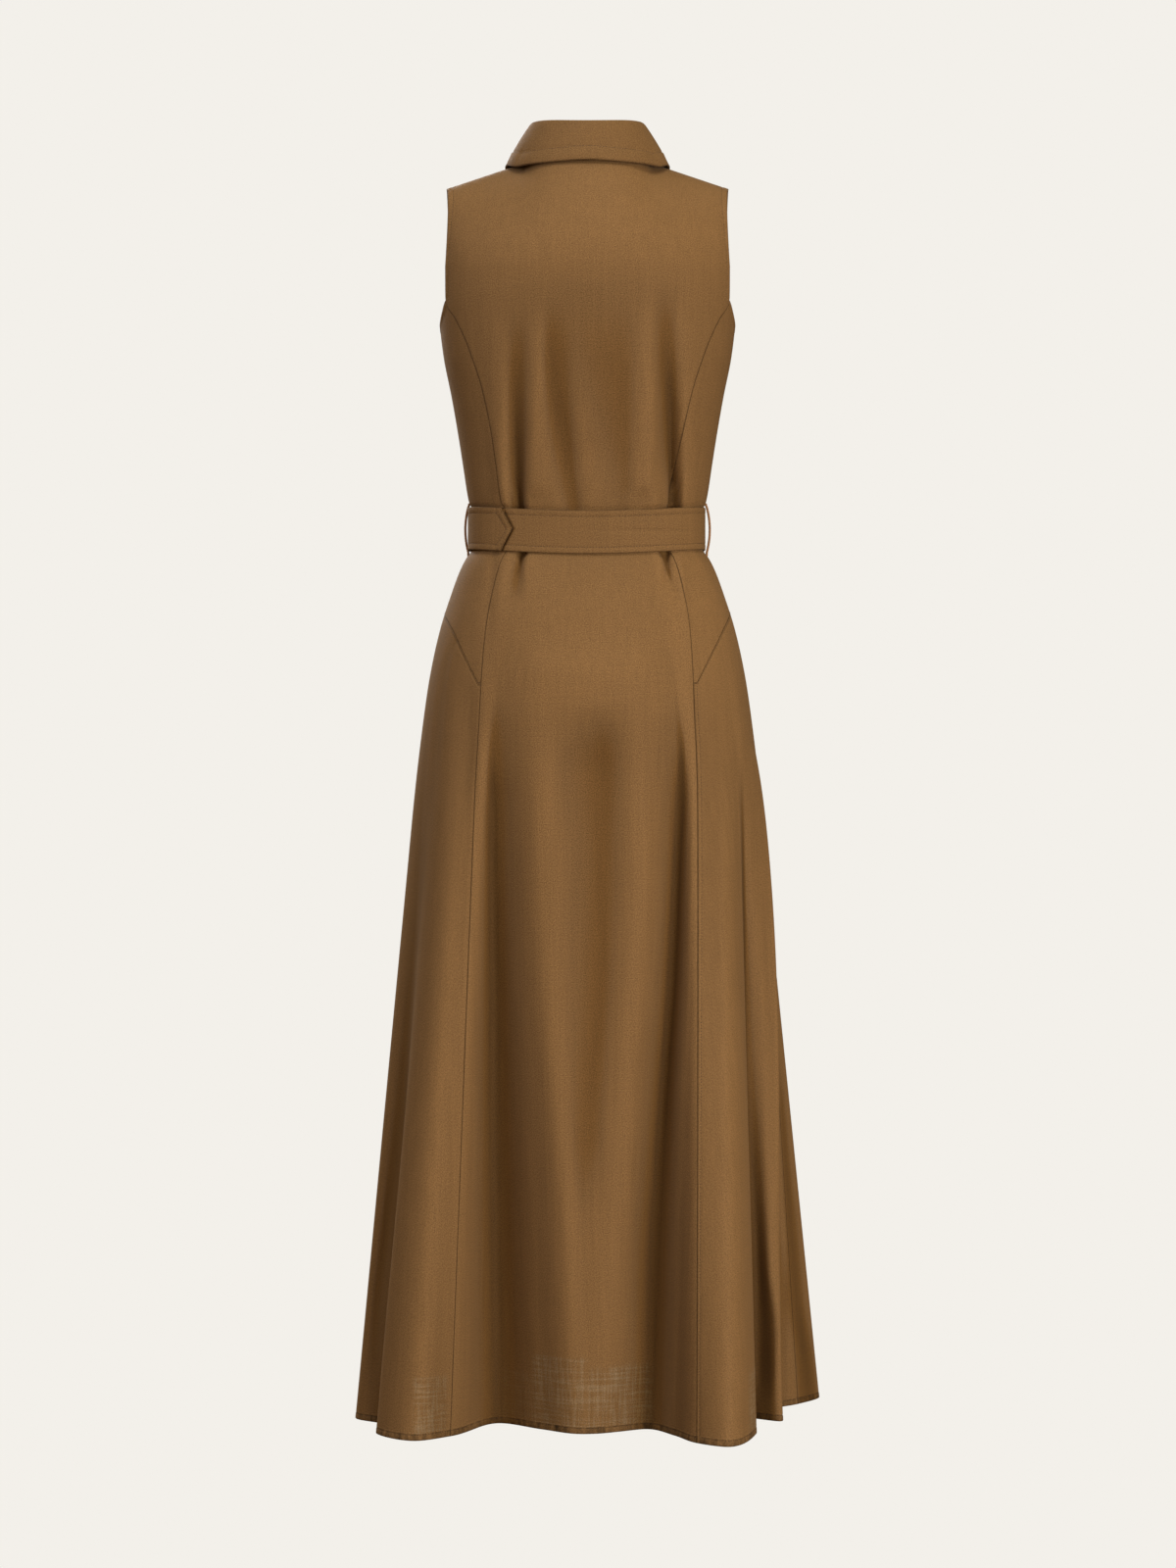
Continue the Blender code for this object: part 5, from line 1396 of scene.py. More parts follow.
def fill(tree, target, **inputs):
    """Links or sets a node's inputs, each given by its name or, as in i0, by its number."""
    for key, value in inputs.items():
        socket = target.inputs[int(key[1:]) if key[1:].isdigit() else key.replace("_", " ")]
        if isinstance(value, bpy.types.NodeSocket):
            tree.links.new(value, socket)
        else:
            socket.default_value = value
    return target


def node_maker(tree):
    """A helper that adds a node to the tree, with its settings and its inputs."""

    def node(kind, settings=None, **inputs):
        added = tree.nodes.new(kind)
        for key, value in (settings or {}).items():
            setattr(added, key, value)
        return fill(tree, added, **inputs)

    return node


def new_material(name):
    """An empty procedural material with its Principled shader and a helper that adds nodes."""
    made = bpy.data.materials.new(name)
    made.use_nodes = True
    tree = made.node_tree
    return made, tree, tree.nodes["Principled BSDF"], node_maker(tree)


def math_of(node, operation, *values, clamp=False):
    settings = {"operation": operation, "use_clamp": clamp}
    return node("ShaderNodeMath", settings, **{f"i{k}": v for k, v in enumerate(values)}).outputs[0]


def scaled_noise(node, vector, scale, detail=2.0, roughness=0.5):
    """Noise from 0 to 1 on a vector stretched by three scales."""
    stretched = node("ShaderNodeVectorMath", {"operation": "MULTIPLY"}, i0=vector, i1=scale).outputs[0]
    return node(
        "ShaderNodeTexNoise", Vector=stretched, Detail=detail, Roughness=roughness, Scale=1.0
    ).outputs["Fac"]


def varied(node, part, middle, amount, base, clamp=False):
    """A base that a part changes by an amount, up and down from the part's middle."""
    swing = math_of(node, "SUBTRACT", part, middle)
    return math_of(node, "MULTIPLY_ADD", swing, amount, base, clamp=clamp)


def attribute(node, name):
    return node("ShaderNodeAttribute", {"attribute_name": name}).outputs["Fac"]


def scaled_colour(node, colour, by):
    return node("ShaderNodeVectorMath", {"operation": "SCALE"}, i0=colour, Scale=by).outputs[0]


def two_tones(node, value, low, high, colour, dark, light):
    """A colour that goes from darker to lighter while the value rises from low to high."""
    made = node("ShaderNodeValToRGB", Fac=value)
    for element, at, share in zip(made.color_ramp.elements, (low, high), (dark, light)):
        element.position = at
        element.color = (*[c * share for c in colour], 1.0)
    return made.outputs[0]


def add_bump(tree, node, shader, height, strength, distance):
    bump = node("ShaderNodeBump", Height=height, Strength=strength, Distance=distance)
    fill(tree, shader, Normal=bump.outputs[0])


def ramp(node, value, low, high, out_low=0.0, out_high=1.0):
    """The value carried smoothly from one range to another."""
    return node(
        "ShaderNodeMapRange", {"interpolation_type": "SMOOTHSTEP"}, Value=value,
        From_Min=low, From_Max=high, To_Min=out_low, To_Max=out_high,
    ).outputs["Result"]


def cloth_material():
    """The plain weave: slubbed threads, soft mottling, puckered seams, sheer places; painted shade in seams,
    hollows and the hem band, and painted highlight on crests.
    """
    made = bpy.data.materials.get("woven_cloth")
    if made:
        return made
    cloth = bpy.context.scene.dress_cloth
    made, tree, shader, node = new_material("woven_cloth")
    flat = node("ShaderNodeUVMap", {"uv_map": "Flat"}).outputs["UV"]
    place = node("ShaderNodeTexCoord").outputs["Object"]
    edge, seam, sheer, hollow, hem = (
        attribute(node, name) for name in ("edge", "seam", "sheer", "hollow", "hem")
    )
    split = node("ShaderNodeSeparateXYZ", Vector=flat)
    turn = 2 * math.pi / cloth.thread_pitch
    warp, weft = (
        math_of(node, "SINE", math_of(node, "MULTIPLY", split.outputs[axis], turn)) for axis in "XY"
    )
    weave = math_of(node, "MULTIPLY", warp, weft)
    down = scaled_noise(node, flat, (900.0, 22.0, 1.0), 3.0, 0.6)
    across = scaled_noise(node, flat, (22.0, 900.0, 1.0), 3.0, 0.6)
    slub = math_of(node, "ADD", down, across)
    grain = scaled_noise(node, flat, (900.0, 820.0, 1.0), 1.0)
    streak = scaled_noise(node, place, (240.0, 240.0, 7.0), 3.0, 0.6)
    cloud = scaled_noise(node, place, (9.0, 9.0, 5.0), 3.0)

    tone = varied(node, slub, 1.0, cloth.slub, 1.0)
    for part, amount in ((grain, cloth.speckle), (streak, cloth.streak), (cloud, CLOUD_TONE)):
        tone = varied(node, part, 0.5, amount, tone)
    gathers = scaled_noise(node, flat, (170.0, 60.0, 1.0))
    # Painted shade of the hem: a darker band along the turned hem, rippled by painted shade of its gathers
    wrinkle = varied(node, gathers, 0.5, HEM_WRINKLE_SHADE, cloth.hem_shade - 1.0)
    band = math_of(node, "MULTIPLY_ADD", hem, wrinkle, 1.0)
    band = math_of(node, "MULTIPLY", band, ramp(node, edge, 0.0, RIM_REACH, cloth.rim, 1.0))
    # Painted shade in the seams: darker close to each seam, and beside the belt's point
    crease = ramp(node, seam, 0.0, CREASE_REACH, cloth.crease, 1.0)
    tone = math_of(node, "MULTIPLY", math_of(node, "MULTIPLY", tone, band), crease)
    # Painted shade and highlight of the folds: darker in hollows, lighter on crests
    fold_shade = node("ShaderNodeFloatCurve", Value=math_of(node, "ADD", hollow, 0.5, clamp=True))
    curve = fold_shade.mapping.curves[0]
    for k, (at, value) in enumerate(FOLD_SHADE_CURVE):
        if k < 2:
            curve.points[k].location = (at, value)
        else:
            curve.points.new(at, value)
    fold_shade.mapping.update()
    tone = math_of(node, "MULTIPLY", tone, math_of(node, "MULTIPLY", fold_shade.outputs[0], 1 / LEVEL_SHADE))
    tone = math_of(node, "MULTIPLY", tone, math_of(node, "MULTIPLY_ADD", sheer, SHEER_TONE, 1.0))

    thin = math_of(node, "ADD", *(
        ramp(node, scaled_noise(node, place, scale), 0.40, 0.70)
        for scale in ((420.0, 420.0, 26.0), (26.0, 26.0, 420.0))
    ))
    light = math_of(node, "MULTIPLY_ADD", thin, *SHEER_LIGHT, clamp=True)
    base = node(
        "ShaderNodeMix", {"data_type": "RGBA", "blend_type": "MIX"},
        i0=math_of(node, "MULTIPLY", sheer, light), i6=(*cloth.colour, 1.0), i7=(*cloth.sheer_colour, 1.0),
    )
    # Painted shade in the hollows, warmer in colour as the hollow deepens
    deep = node(
        "ShaderNodeMix", {"data_type": "RGBA", "blend_type": "MULTIPLY"},
        i0=ramp(node, hollow, 0.0, HOLLOW_SHADE_REACH), i6=base.outputs[2], i7=HOLLOW_SHADE_COLOUR,
    )
    rough = varied(node, slub, 1.0, ROUGH_SLUB, cloth.roughness, clamp=True)
    fill(
        tree, shader, Base_Color=scaled_colour(node, deep.outputs[2], tone), Roughness=rough,
        Specular_IOR_Level=0.08, Sheen_Weight=cloth.sheen, Sheen_Roughness=0.45,
        Sheen_Tint=(0.95, 0.80, 0.62, 1.0),
    )

    pucker = scaled_noise(node, flat, (60.0, 260.0, 1.0))
    near = ramp(node, seam, *PUCKER_FADE, 1.0, 0.0)
    near_edge = ramp(node, edge, *GATHER_FADE, 1.0, 0.0)
    soft = scaled_noise(node, place, (26.0, 26.0, 9.0))
    height = math_of(node, "MULTIPLY", weave, 0.00003)
    for part, rise in (
        (slub, 0.00012), (grain, 0.00010), (math_of(node, "MULTIPLY", pucker, near), 0.0006),
        (math_of(node, "MULTIPLY", gathers, near_edge), 0.0014), (soft, 0.0008),
    ):
        height = math_of(node, "MULTIPLY_ADD", part, rise, height)
    add_bump(tree, node, shader, height, cloth.relief, 1.0)
    return made


def thread_material():
    """Sewing thread: the cloth's hue, darkened as painted shade of the stitch holes, with the twist across
    its length.
    """
    made = bpy.data.materials.get("sewing_thread")
    if made:
        return made
    made, tree, shader, node = new_material("sewing_thread")
    place = node("ShaderNodeTexCoord").outputs["Object"]
    fine = scaled_noise(node, place, (2500.0, 2500.0, 2500.0))
    colour = two_tones(node, fine, 0.3, 0.7, bpy.context.scene.dress_thread.colour, 0.75, 1.2)
    fresh = math_of(node, "MULTIPLY_ADD", attribute(node, "fresh"), LOOP_PAINTED_LIGHT, 1.0)
    fill(
        tree, shader, Base_Color=scaled_colour(node, colour, fresh), Roughness=0.6, Specular_IOR_Level=0.4
    )
    add_bump(tree, node, shader, fine, 0.3, 0.0002)
    return made


def button_material():
    """Horn-like resin in a dark brown, with soft clouds and a satin face."""
    made = bpy.data.materials.get("horn_button")
    if made:
        return made
    made, tree, shader, node = new_material("horn_button")
    place = node("ShaderNodeTexCoord").outputs["Object"]
    cloud = scaled_noise(node, place, (260.0, 260.0, 90.0), 4.0, 0.6)
    fill(
        tree, shader, Roughness=ramp(node, cloud, 0.2, 0.8, 0.26, 0.42),
        Base_Color=two_tones(node, cloud, 0.32, 0.72, bpy.context.scene.dress_buttons.colour, 0.45, 1.7),
    )
    add_bump(tree, node, shader, scaled_noise(node, place, (900.0, 900.0, 900.0)), 0.1, 0.0002)
    return made


# Cloth pieces


def evenly(first, last, spacing, length):
    """Places from first to last, about one spacing apart along a length in metres."""
    return np.linspace(first, last, max(4, math.ceil(length / spacing)) + 1)


def spaced(surface, first, last, row, fine, hem_row=None):
    """Places across a surface, one fine step apart and closer where the belt tucks the cloth."""
    places = np.linspace(first, last, 1200)
    points = surface(places, np.full_like(places, row))
    x = np.where(points[:, 1] < 0, points[:, 0], -points[:, 0])
    apart = np.min([np.abs(x - at) for at in CLOSE_PLACES], axis=0)
    weight = np.where(apart < CLOSE_REACH, 1 / CLOSE_STEP, 1 / fine)
    run = np.linalg.norm(np.gradient(points, axis=0), axis=-1)
    count = weight * run
    if hem_row is not None:
        wide = surface(places, np.full_like(places, hem_row))
        count = np.maximum(count, np.linalg.norm(np.gradient(wide, axis=0), axis=-1) / fine)
    total = np.concatenate([[0.0], np.cumsum((count[1:] + count[:-1]) / 2)])
    steps = max(6, math.ceil(total[-1]))
    return np.interp(np.linspace(0.0, total[-1], steps + 1), total, places)


def above_underarm(row):
    """1 where a back or front panel's side is the armhole's edge, above the side panel."""
    return ease((row - LAST_ROW) / 0.05)


def back_sheet(across, row):
    """The back bodice, eased below the neck so that no crease runs down from the collar's ends."""
    points = back_panel(across, row)
    blade = LAST_ROW + 1
    whole = np.zeros_like(points)
    for side, share in EASE_WEIGHTS:
        for up, part in EASE_WEIGHTS:
            to_side = np.clip(across + side * BACK_EASE.across, -1.0, 1.0)
            to_row = np.minimum(row + up * BACK_EASE.row, blade + 1.0)
            whole = whole + share * part * back_panel(to_side, to_row) / EASE_SUM
    inside = ease((1 - np.abs(across)) / EASE_SIDES)
    below = ease((blade + EASE_NECK.start - row) / EASE_NECK.over)
    above = ease((row - blade + EASE_RIBS.start) / EASE_RIBS.over)
    mix = (inside * below * above)[..., None]
    return points * (1 - mix) + whole * mix


def build_bodice():
    cloth = bpy.context.scene.dress_cloth
    fine, t = cloth.spacing, cloth.thickness
    rows = np.concatenate([
        np.linspace(0.0, 2.0, 9)[:-1],
        np.linspace(2.0, LAST_ROW, math.ceil(RIBS_LENGTH / fine))[:-1],
        np.linspace(LAST_ROW, LAST_ROW + 1.0, math.ceil(BLADE_LENGTH / fine) + 1)[:-1],
        np.linspace(LAST_ROW + 1.0, LAST_ROW + 2.0, math.ceil(TOP_LENGTH / fine) + 1),
    ])
    across = spaced(back_panel, -1.0, 1.0, 0.9, fine)
    sides = [above_underarm, above_underarm, None, None]
    seams = [ARMHOLE, ARMHOLE, SEAM, SEAM]
    sheet = sample(folded(back_sheet, BODICE_RELIEF), across, rows, seams, t, sides)
    add_sheet("back_bodice", sheet, "bodice_back_centre", "bodice")
    lower = rows[rows <= LAST_ROW]
    shares = np.linspace(0.0, 1.0, math.ceil(SIDE_LENGTH / fine))
    half = spaced(lambda s, r: front_panel(s, r, 1), 0.0, 1.0, 0.9, fine)
    armhole_top = [SEAM, SEAM, SEAM, ARMHOLE]
    for side, word in ((-1, "left"), (1, "right")):
        for name, node, surface, places, up, finishes, masks in (
            ("back_side", "back_side", lambda s, r: side_panel(s, r, side, False), shares, lower,
             armhole_top, [None] * 4),
            ("front", "front", lambda s, r: front_panel(s, r, side), half, rows,
             [SEAM, ARMHOLE, SEAM, SEAM], [None, above_underarm, None, None]),
            ("front_side", "front", lambda s, r: side_panel(s, r, side, True), shares, lower,
             armhole_top, [None] * 4),
        ):
            sheet = sample(folded(surface, BODICE_RELIEF), places, up, finishes, t, masks)
            add_sheet(f"{name}_bodice_{word}", sheet, f"bodice_{node}_{word}", "bodice")


def skirt_sheet(place, row):
    return skirt(place, skirt_height(place, row))


def skirt_rows(first, last, spacing):
    made = [float(first)]
    for k in range(first, last):
        steps = max(2, math.ceil((SKIRT_ROWS[k] - SKIRT_ROWS[k + 1]) / spacing))
        made.extend(np.linspace(k, k + 1.0, steps + 1)[1:])
    return np.array(made)


SKIRT_PANELS = [
    ("back_skirt", "skirt_back_centre", "princess seam, left", "princess seam, right", 0, HEM_ROW),
    ("hip_yoke_cloth_left", "hip_yoke_left", "side seam, left", "princess seam, left", 0, YOKE_ROW),
    ("hip_yoke_cloth_right", "hip_yoke_right", "princess seam, right", "side seam, right", 0, YOKE_ROW),
    ("side_back_skirt_left", "skirt_side_back_left", "side seam, left", "princess seam, left",
     YOKE_ROW, HEM_ROW),
    ("side_back_skirt_right", "skirt_side_back_right", "princess seam, right", "side seam, right",
     YOKE_ROW, HEM_ROW),
    ("front_skirt_left", "skirt_front_left", "placket edge, left", "side seam, left", 0, HEM_ROW),
    ("front_skirt_right", "skirt_front_right", "side seam, right", "placket edge, right", 0, HEM_ROW),
]


def build_skirt():
    cloth = bpy.context.scene.dress_cloth
    fine, t = cloth.spacing, cloth.thickness
    for name, node, first, last, top, bottom in SKIRT_PANELS:
        columns = spaced(skirt_sheet, fold_place(first), fold_place(last), 2.0, fine, float(HEM_ROW))
        rows = skirt_rows(top, bottom, fine * 1.25)
        below = SKIRT_HEM if bottom == HEM_ROW else SEAM
        above = HIP_SEAM if top == YOKE_ROW else SEAM
        finishes = [SEAM, SEAM, above, below]
        if name == "side_back_skirt_right":
            finishes[0] = SEAM_STITCHED
        sheet = sample(folded(skirt_sheet, SKIRT_RELIEF), columns, rows, finishes, t)
        add_sheet(name, sheet, node, "skirt")


def collar_stations():
    """The fall's stations at close angles, as a table that the fine sheet is drawn through."""
    trunk_parts = [o for o in bpy.context.scene.objects if o.name.startswith(("back_bodice", "front_bodice"))]
    tree = surface_tree(trunk_parts)
    widest = COLLAR_EDGE[-1].angle
    angles = np.linspace(-widest, widest, 87)
    table = np.stack([fall(angles, np.full_like(angles, k), tree) for k in range(COLLAR_ROWS + 1)])
    return angles, table


def build_collar():
    cloth = bpy.context.scene.dress_cloth
    fine = cloth.spacing
    angles = evenly(-STAND_END, STAND_END, fine, COLLAR_LENGTH)
    rises = np.linspace(0.0, 1.0, 9)
    sheet = sample(stand, angles, rises, [STAND_FINISH] * 2 + [SEAM, SEAM], cloth.collar_thickness)
    add_sheet("collar_stand_cloth", sheet, "collar_stand", "collar")
    at, table = collar_stations()

    def surface(angle, row):
        flat = np.asarray(angle, float)
        stations = [
            np.stack([smooth(at, table[k][:, axis], flat, True) for axis in range(3)], axis=-1)
            for k in range(len(table))
        ]
        return through(stations, row)

    widest = COLLAR_EDGE[-1].angle
    angles = evenly(-widest, widest, fine * 0.8, COLLAR_LENGTH)
    rows = np.concatenate([np.linspace(0.0, 3.0, 13)[:-1], np.linspace(3.0, COLLAR_ROWS, 13)])
    finishes = [COLLAR_FINISH, COLLAR_FINISH, SEAM, COLLAR_FINISH]
    sheet = sample(surface, angles, rows, finishes, cloth.collar_thickness)
    add_sheet("collar_fall_cloth", sheet, "collar_fall", "collar")


def placket_rows():
    rows = skirt_rows(0, HEM_ROW, PLACKET_SPACING)[:0:-1]
    chest = np.linspace(0.0, LAST_ROW + 1.0, 52)[:-1]
    return np.concatenate([-rows, chest, np.linspace(LAST_ROW + 1.0, LAST_ROW + 2.0, 19)])


def build_plackets():
    cloth = bpy.context.scene.dress_cloth
    rows = placket_rows()
    across = np.linspace(-1.0, 1.0, 7)
    sheet = sample(placket, across, rows, [SEAM, SEAM, SKIRT_HEM, SEAM], cloth.thickness)
    add_sheet("button_stand", sheet, "placket_under", "placket")

    def over(share, row):
        points = placket(share, row)
        normals = normals_of(placket, share, row)
        normals = normals * np.sign(normals[..., 1:2])
        return points + normals * (cloth.thickness + LAP_GAP)

    rows[-1] -= PLACKET_TRIM
    across = across * PLACKET_WIDER
    finishes = [PLACKET_FINISH, PLACKET_FINISH, SKIRT_HEM, SEAM]
    sheet = sample(over, across, rows, finishes, cloth.thickness)
    add_sheet("buttonhole_placket", sheet, "placket_over", "placket")


def build_belt():
    along = np.concatenate([
        evenly(BELT_START, BELT_CLOSE[0], BELT_SPACING[0], BELT_STRETCHES[0])[:-1],
        evenly(*BELT_CLOSE, BELT_SPACING[1], BELT_STRETCHES[1])[:-1],
        evenly(BELT_CLOSE[1], BELT_SHOULDER, BELT_SPACING[0], BELT_STRETCHES[2])[:-1],
        np.linspace(BELT_SHOULDER, BELT_CORNER, 12),
    ])
    up = np.linspace(-1.0, 1.0, 25)
    sheet = sample(creased_belt, along, up, [SEAM, BELT_FINISH, BELT_FINISH, BELT_FINISH], BELT_THICK)
    # Painted shadow beside the strap's point: the strap beneath it is darkened through its seam and hollow
    # values
    turn = np.arctan2(sheet.points[..., 0], -sheet.points[..., 1])
    height = (sheet.points[..., 2] - BELT_MIDDLE + droop(np.degrees(turn), WAIST)) / (BELT_HEIGHT / 2)
    end = belt(np.full_like(up, BELT_CORNER), up)
    tip = np.interp(height, up, np.arctan2(end[:, 0], -end[:, 1]))
    past = (turn - tip) * np.hypot(sheet.points[..., 0], sheet.points[..., 1])
    lower = np.linspace(0.0, 1.0, turn.shape[1]) < 0.5
    under = np.where(lower & (turn < 0) & (past > -0.001), np.abs(past), FAR)
    shade = np.where(past > 0, 0.5, 0.9) * np.exp(-((np.minimum(under, 0.1) / 0.0022) ** 2))
    sheet = sheet._replace(seam=np.minimum(sheet.seam, under * BELT_SHADE), hollow=sheet.hollow + shade)
    add_sheet("belt_strap", sheet, "belt", "belt")


def creased_belt(along, up):
    """The strap with one long, shallow crease that wearing has pressed into its back."""
    points = belt(along, up)
    middle = BELT_CREASE.up + (along - BELT_CREASE.angle) * BELT_CREASE.slope
    fade = np.exp(-(((along - BELT_CREASE.angle) / BELT_CREASE.reach) ** 2))
    depth = BELT_CREASE.depth * fade * np.exp(-(((up - middle) / BELT_CREASE.width) ** 2))
    points[..., 1] += depth
    return points


def swept(name, path, side, breadth, depth, closed):
    """A band with rounded edges that follows a path, with its length and girth as its flat layout."""
    corner = np.radians(np.arange(0.0, 360.0, BAND_STEP))
    wide, deep = (np.sign(wave) * np.abs(wave) ** BAND_ROUND for wave in (np.cos(corner), np.sin(corner)))
    if closed:
        slope = unit(np.roll(path, -1, axis=0) - np.roll(path, 1, axis=0))
    else:
        slope = unit(np.gradient(path, axis=0))
    inward = unit(np.cross(slope, side))
    rings = (
        path[:, None] + np.cross(inward, slope)[:, None] * (wide * breadth / 2)[None, :, None]
        + inward[:, None] * (deep * depth / 2)[None, :, None]
    )
    count, around = rings.shape[:2]
    faces, flat = [], []
    run = lengths(path, 0)
    girth = (breadth + depth) * 2 * BAND_GIRTH
    for k in range(count if closed else count - 1):
        after = (k + 1) % count
        v, w = run[k], run[k] + np.linalg.norm(path[after] - path[k])
        for j in range(around):
            beside = (j + 1) % around
            u, t = girth * j / around, girth * (j + 1) / around
            faces.append((k * around + j, k * around + beside, after * around + beside, after * around + j))
            flat.extend(((u, v), (t, v), (t, w), (u, w)))
    points = rings.reshape(-1, 3).tolist()
    if not closed:
        for end, order in ((0, -1), (count - 1, 1)):
            points.append(path[end].tolist())
            for j in range(around):
                pair = (end * around + j, end * around + (j + 1) % around)[::order]
                faces.append((*pair, len(points) - 1))
                flat.extend(((0.0, 0.0), (breadth, 0.0), (0.0, depth)))
    mesh = mesh_of(name, points, faces)
    keep_flat(mesh, flat)
    for label in ("edge", "seam"):
        keep_values(mesh, label, np.full(len(points), FAR))
    made = bmesh.new()
    made.from_mesh(mesh)
    bmesh.ops.recalc_face_normals(made, faces=made.faces)
    made.to_mesh(mesh)
    made.free()
    mesh.shade_smooth()
    return mesh


def joined(name, meshes):
    """One mesh of several, with their flat layouts and attributes kept."""
    parts = [linked(f"{name}_{k}", mesh) for k, mesh in enumerate(meshes)]
    with bpy.context.temp_override(
        active_object=parts[0], selected_objects=parts, selected_editable_objects=parts
    ):
        bpy.ops.object.join()
    mesh = parts[0].data
    bpy.data.objects.remove(parts[0], do_unlink=True)
    mesh.name = name
    return mesh


def build_slide():
    """The frame rides on the strap, and its middle bar passes behind the strap's sewn end."""
    inner = trunk(180.0, WAIST)[1] + BELT_OFFSET + CLOTH + LAP_GAP
    over = inner + 2 * BELT_THICK + BELT_LAP_GAP + SLIDE_GAP
    half_x = SLIDE_HALF_WIDTH - SLIDE_BAR / 2
    half_z = BELT_HEIGHT / 2 + SLIDE_GAP + SLIDE_RAIL / 2
    ring = []
    for quarter, (x, z) in enumerate(((1, -1), (1, 1), (-1, 1), (-1, -1))):
        for turn in np.radians(np.linspace(-90.0, 0.0, 7) + 90.0 * quarter):
            ring.append((
                x * (half_x - SLIDE_CORNER) + SLIDE_CORNER * math.cos(turn),
                over + SLIDE_DEEP / 2,
                BELT_MIDDLE + z * (half_z - SLIDE_CORNER) + SLIDE_CORNER * math.sin(turn),
            ))
    ring = np.array(ring)
    frame_band = swept("slide_frame", ring, LEVEL_SIDE, SLIDE_DEEP, SLIDE_RAIL, True)
    s = np.linspace(-1.0, 1.0, 25)
    middle = over + SLIDE_DEEP / 2
    back = middle - (middle - inner - BELT_THICK / 2) * ease((1 - np.abs(s)) / BAND_ENDS)
    bar = np.stack([np.zeros_like(s), back, BELT_MIDDLE + half_z * s], axis=-1)
    middle_bar = swept("slide_bar", bar, LEVEL_SIDE, SLIDE_DEEP * 0.6, 2 * SLIDE_MIDDLE, False)
    add_piece("cloth_covered_slide", joined("cloth_covered_slide", [frame_band, middle_bar]),
              ["belt_slide"], cloth_material())


def button_places():
    """Middles and outward normals of the buttons, each where the frame's button is."""
    middles, normals = [], []
    rows = placket_rows()
    line = placket(np.zeros_like(rows), rows)
    for k in range(1, BODICE_BUTTONS + SKIRT_BUTTONS + 2):
        low, high = (np.array(corner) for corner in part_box(f"button_{k}"))
        middle = (low + high) / 2
        if k == 1:
            normal = normals_of(stand, np.array([180.0]), np.array([0.5]))[0]
        else:
            row = np.interp([middle[2]], line[:, 2], rows)
            normal = normals_of(placket, np.zeros(1), row)[0]
        normal = normal * np.sign(normal[1])
        middles.append(middle - normal * BUTTON_THICK / 2)
        normals.append(normal)
    return np.array(middles), np.array(normals)


def turned_mesh(name, outline, sides):
    """A turned body on +Z with closed poles."""
    points, faces = [(0.0, 0.0, outline[0][1])], []
    for radius, height in outline:
        for k in range(sides):
            turn = 2 * math.pi * k / sides
            points.append((radius * math.cos(turn), radius * math.sin(turn), height))
    points.append((0.0, 0.0, outline[-1][1]))
    top = len(points) - 1
    for k in range(sides):
        after = (k + 1) % sides
        faces.append((0, 1 + after, 1 + k))
        for ring in range(len(outline) - 1):
            low, high = 1 + ring * sides, 1 + (ring + 1) * sides
            faces.append((low + k, low + after, high + after, high + k))
        last = 1 + (len(outline) - 1) * sides
        faces.append((last + k, last + after, top))
    return mesh_of(name, points, faces)


def hole_places():
    return [(x * BUTTON_HOLE_OUT, y * BUTTON_HOLE_OUT) for x in (-1, 1) for y in (-1, 1)]


def button_shape():
    """One button at the origin, its face to +Z, with its four holes bored."""
    outline = [(BUTTON_RADIUS * r.radius, BUTTON_THICK * r.height) for r in BUTTON_OUTLINE]
    blank = linked("button_blank", turned_mesh("button_blank", outline, 40))
    drill = bmesh.new()
    for x, y in hole_places():
        place = Matrix.Translation((x, y, BUTTON_THICK / 2))
        bmesh.ops.create_cone(
            drill, cap_ends=True, segments=14, radius1=BUTTON_HOLE, radius2=BUTTON_HOLE,
            depth=BUTTON_THICK * 2, matrix=place,
        )
    bits = bpy.data.meshes.new("button_drill")
    drill.to_mesh(bits)
    drill.free()
    cutter = linked("button_drill", bits)
    bore = blank.modifiers.new("Bore", "BOOLEAN")
    bore.operation = "DIFFERENCE"
    bore.solver = "EXACT"
    bore.object = cutter
    evaluated = blank.evaluated_get(bpy.context.evaluated_depsgraph_get())
    made = bpy.data.meshes.new_from_object(evaluated)
    for part in (blank, cutter):
        bpy.data.objects.remove(part, do_unlink=True)
    return made


def button_thread_shape():
    """Two bars of thread over one button's holes, and the shank under it, at the origin."""
    bars = []
    high = BUTTON_THICK * BUTTON_OUTLINE[-1].height
    for side in (-1, 1):
        s = np.linspace(-1.0, 1.0, 13)
        rise = high - BUTTON_THICK * 0.5 + (BUTTON_THICK * 0.5 + BAR_RISE) * ease((1 - np.abs(s)) / BAR_ENDS)
        path = np.stack([BUTTON_HOLE_OUT * s, np.full_like(s, side * BUTTON_HOLE_OUT), rise], axis=-1)
        bars.append(swept("button_bar", path, LEVEL_SIDE, BAR_WIDE, BAR_DEEP, False))
    s = np.linspace(0.0, 1.0, 4)
    path = np.stack([np.zeros_like(s), np.zeros_like(s), BUTTON_THICK * 0.3 * s - 0.0006], axis=-1)
    bars.append(swept("button_shank", path, LEVEL_SIDE, 0.0022, 0.0022, False))
    return joined("button_bars", bars)


def geometry_tree(name, **inputs):
    """A geometry nodes tree, a helper that adds its nodes, and its named inputs.

    An input is a number's default or the kind of thing that the input takes.
    """
    tree = bpy.data.node_groups.new(name, "GeometryNodeTree")
    tree.interface.new_socket("Geometry", in_out="INPUT", socket_type="NodeSocketGeometry")
    for label, value in inputs.items():
        kind = value if isinstance(value, str) else "Float"
        socket = tree.interface.new_socket(label, in_out="INPUT", socket_type=f"NodeSocket{kind}")
        if kind == "Float":
            socket.default_value = value
    tree.interface.new_socket("Geometry", in_out="OUTPUT", socket_type="NodeSocketGeometry")
    node = node_maker(tree)
    return tree, node, node("NodeGroupInput").outputs


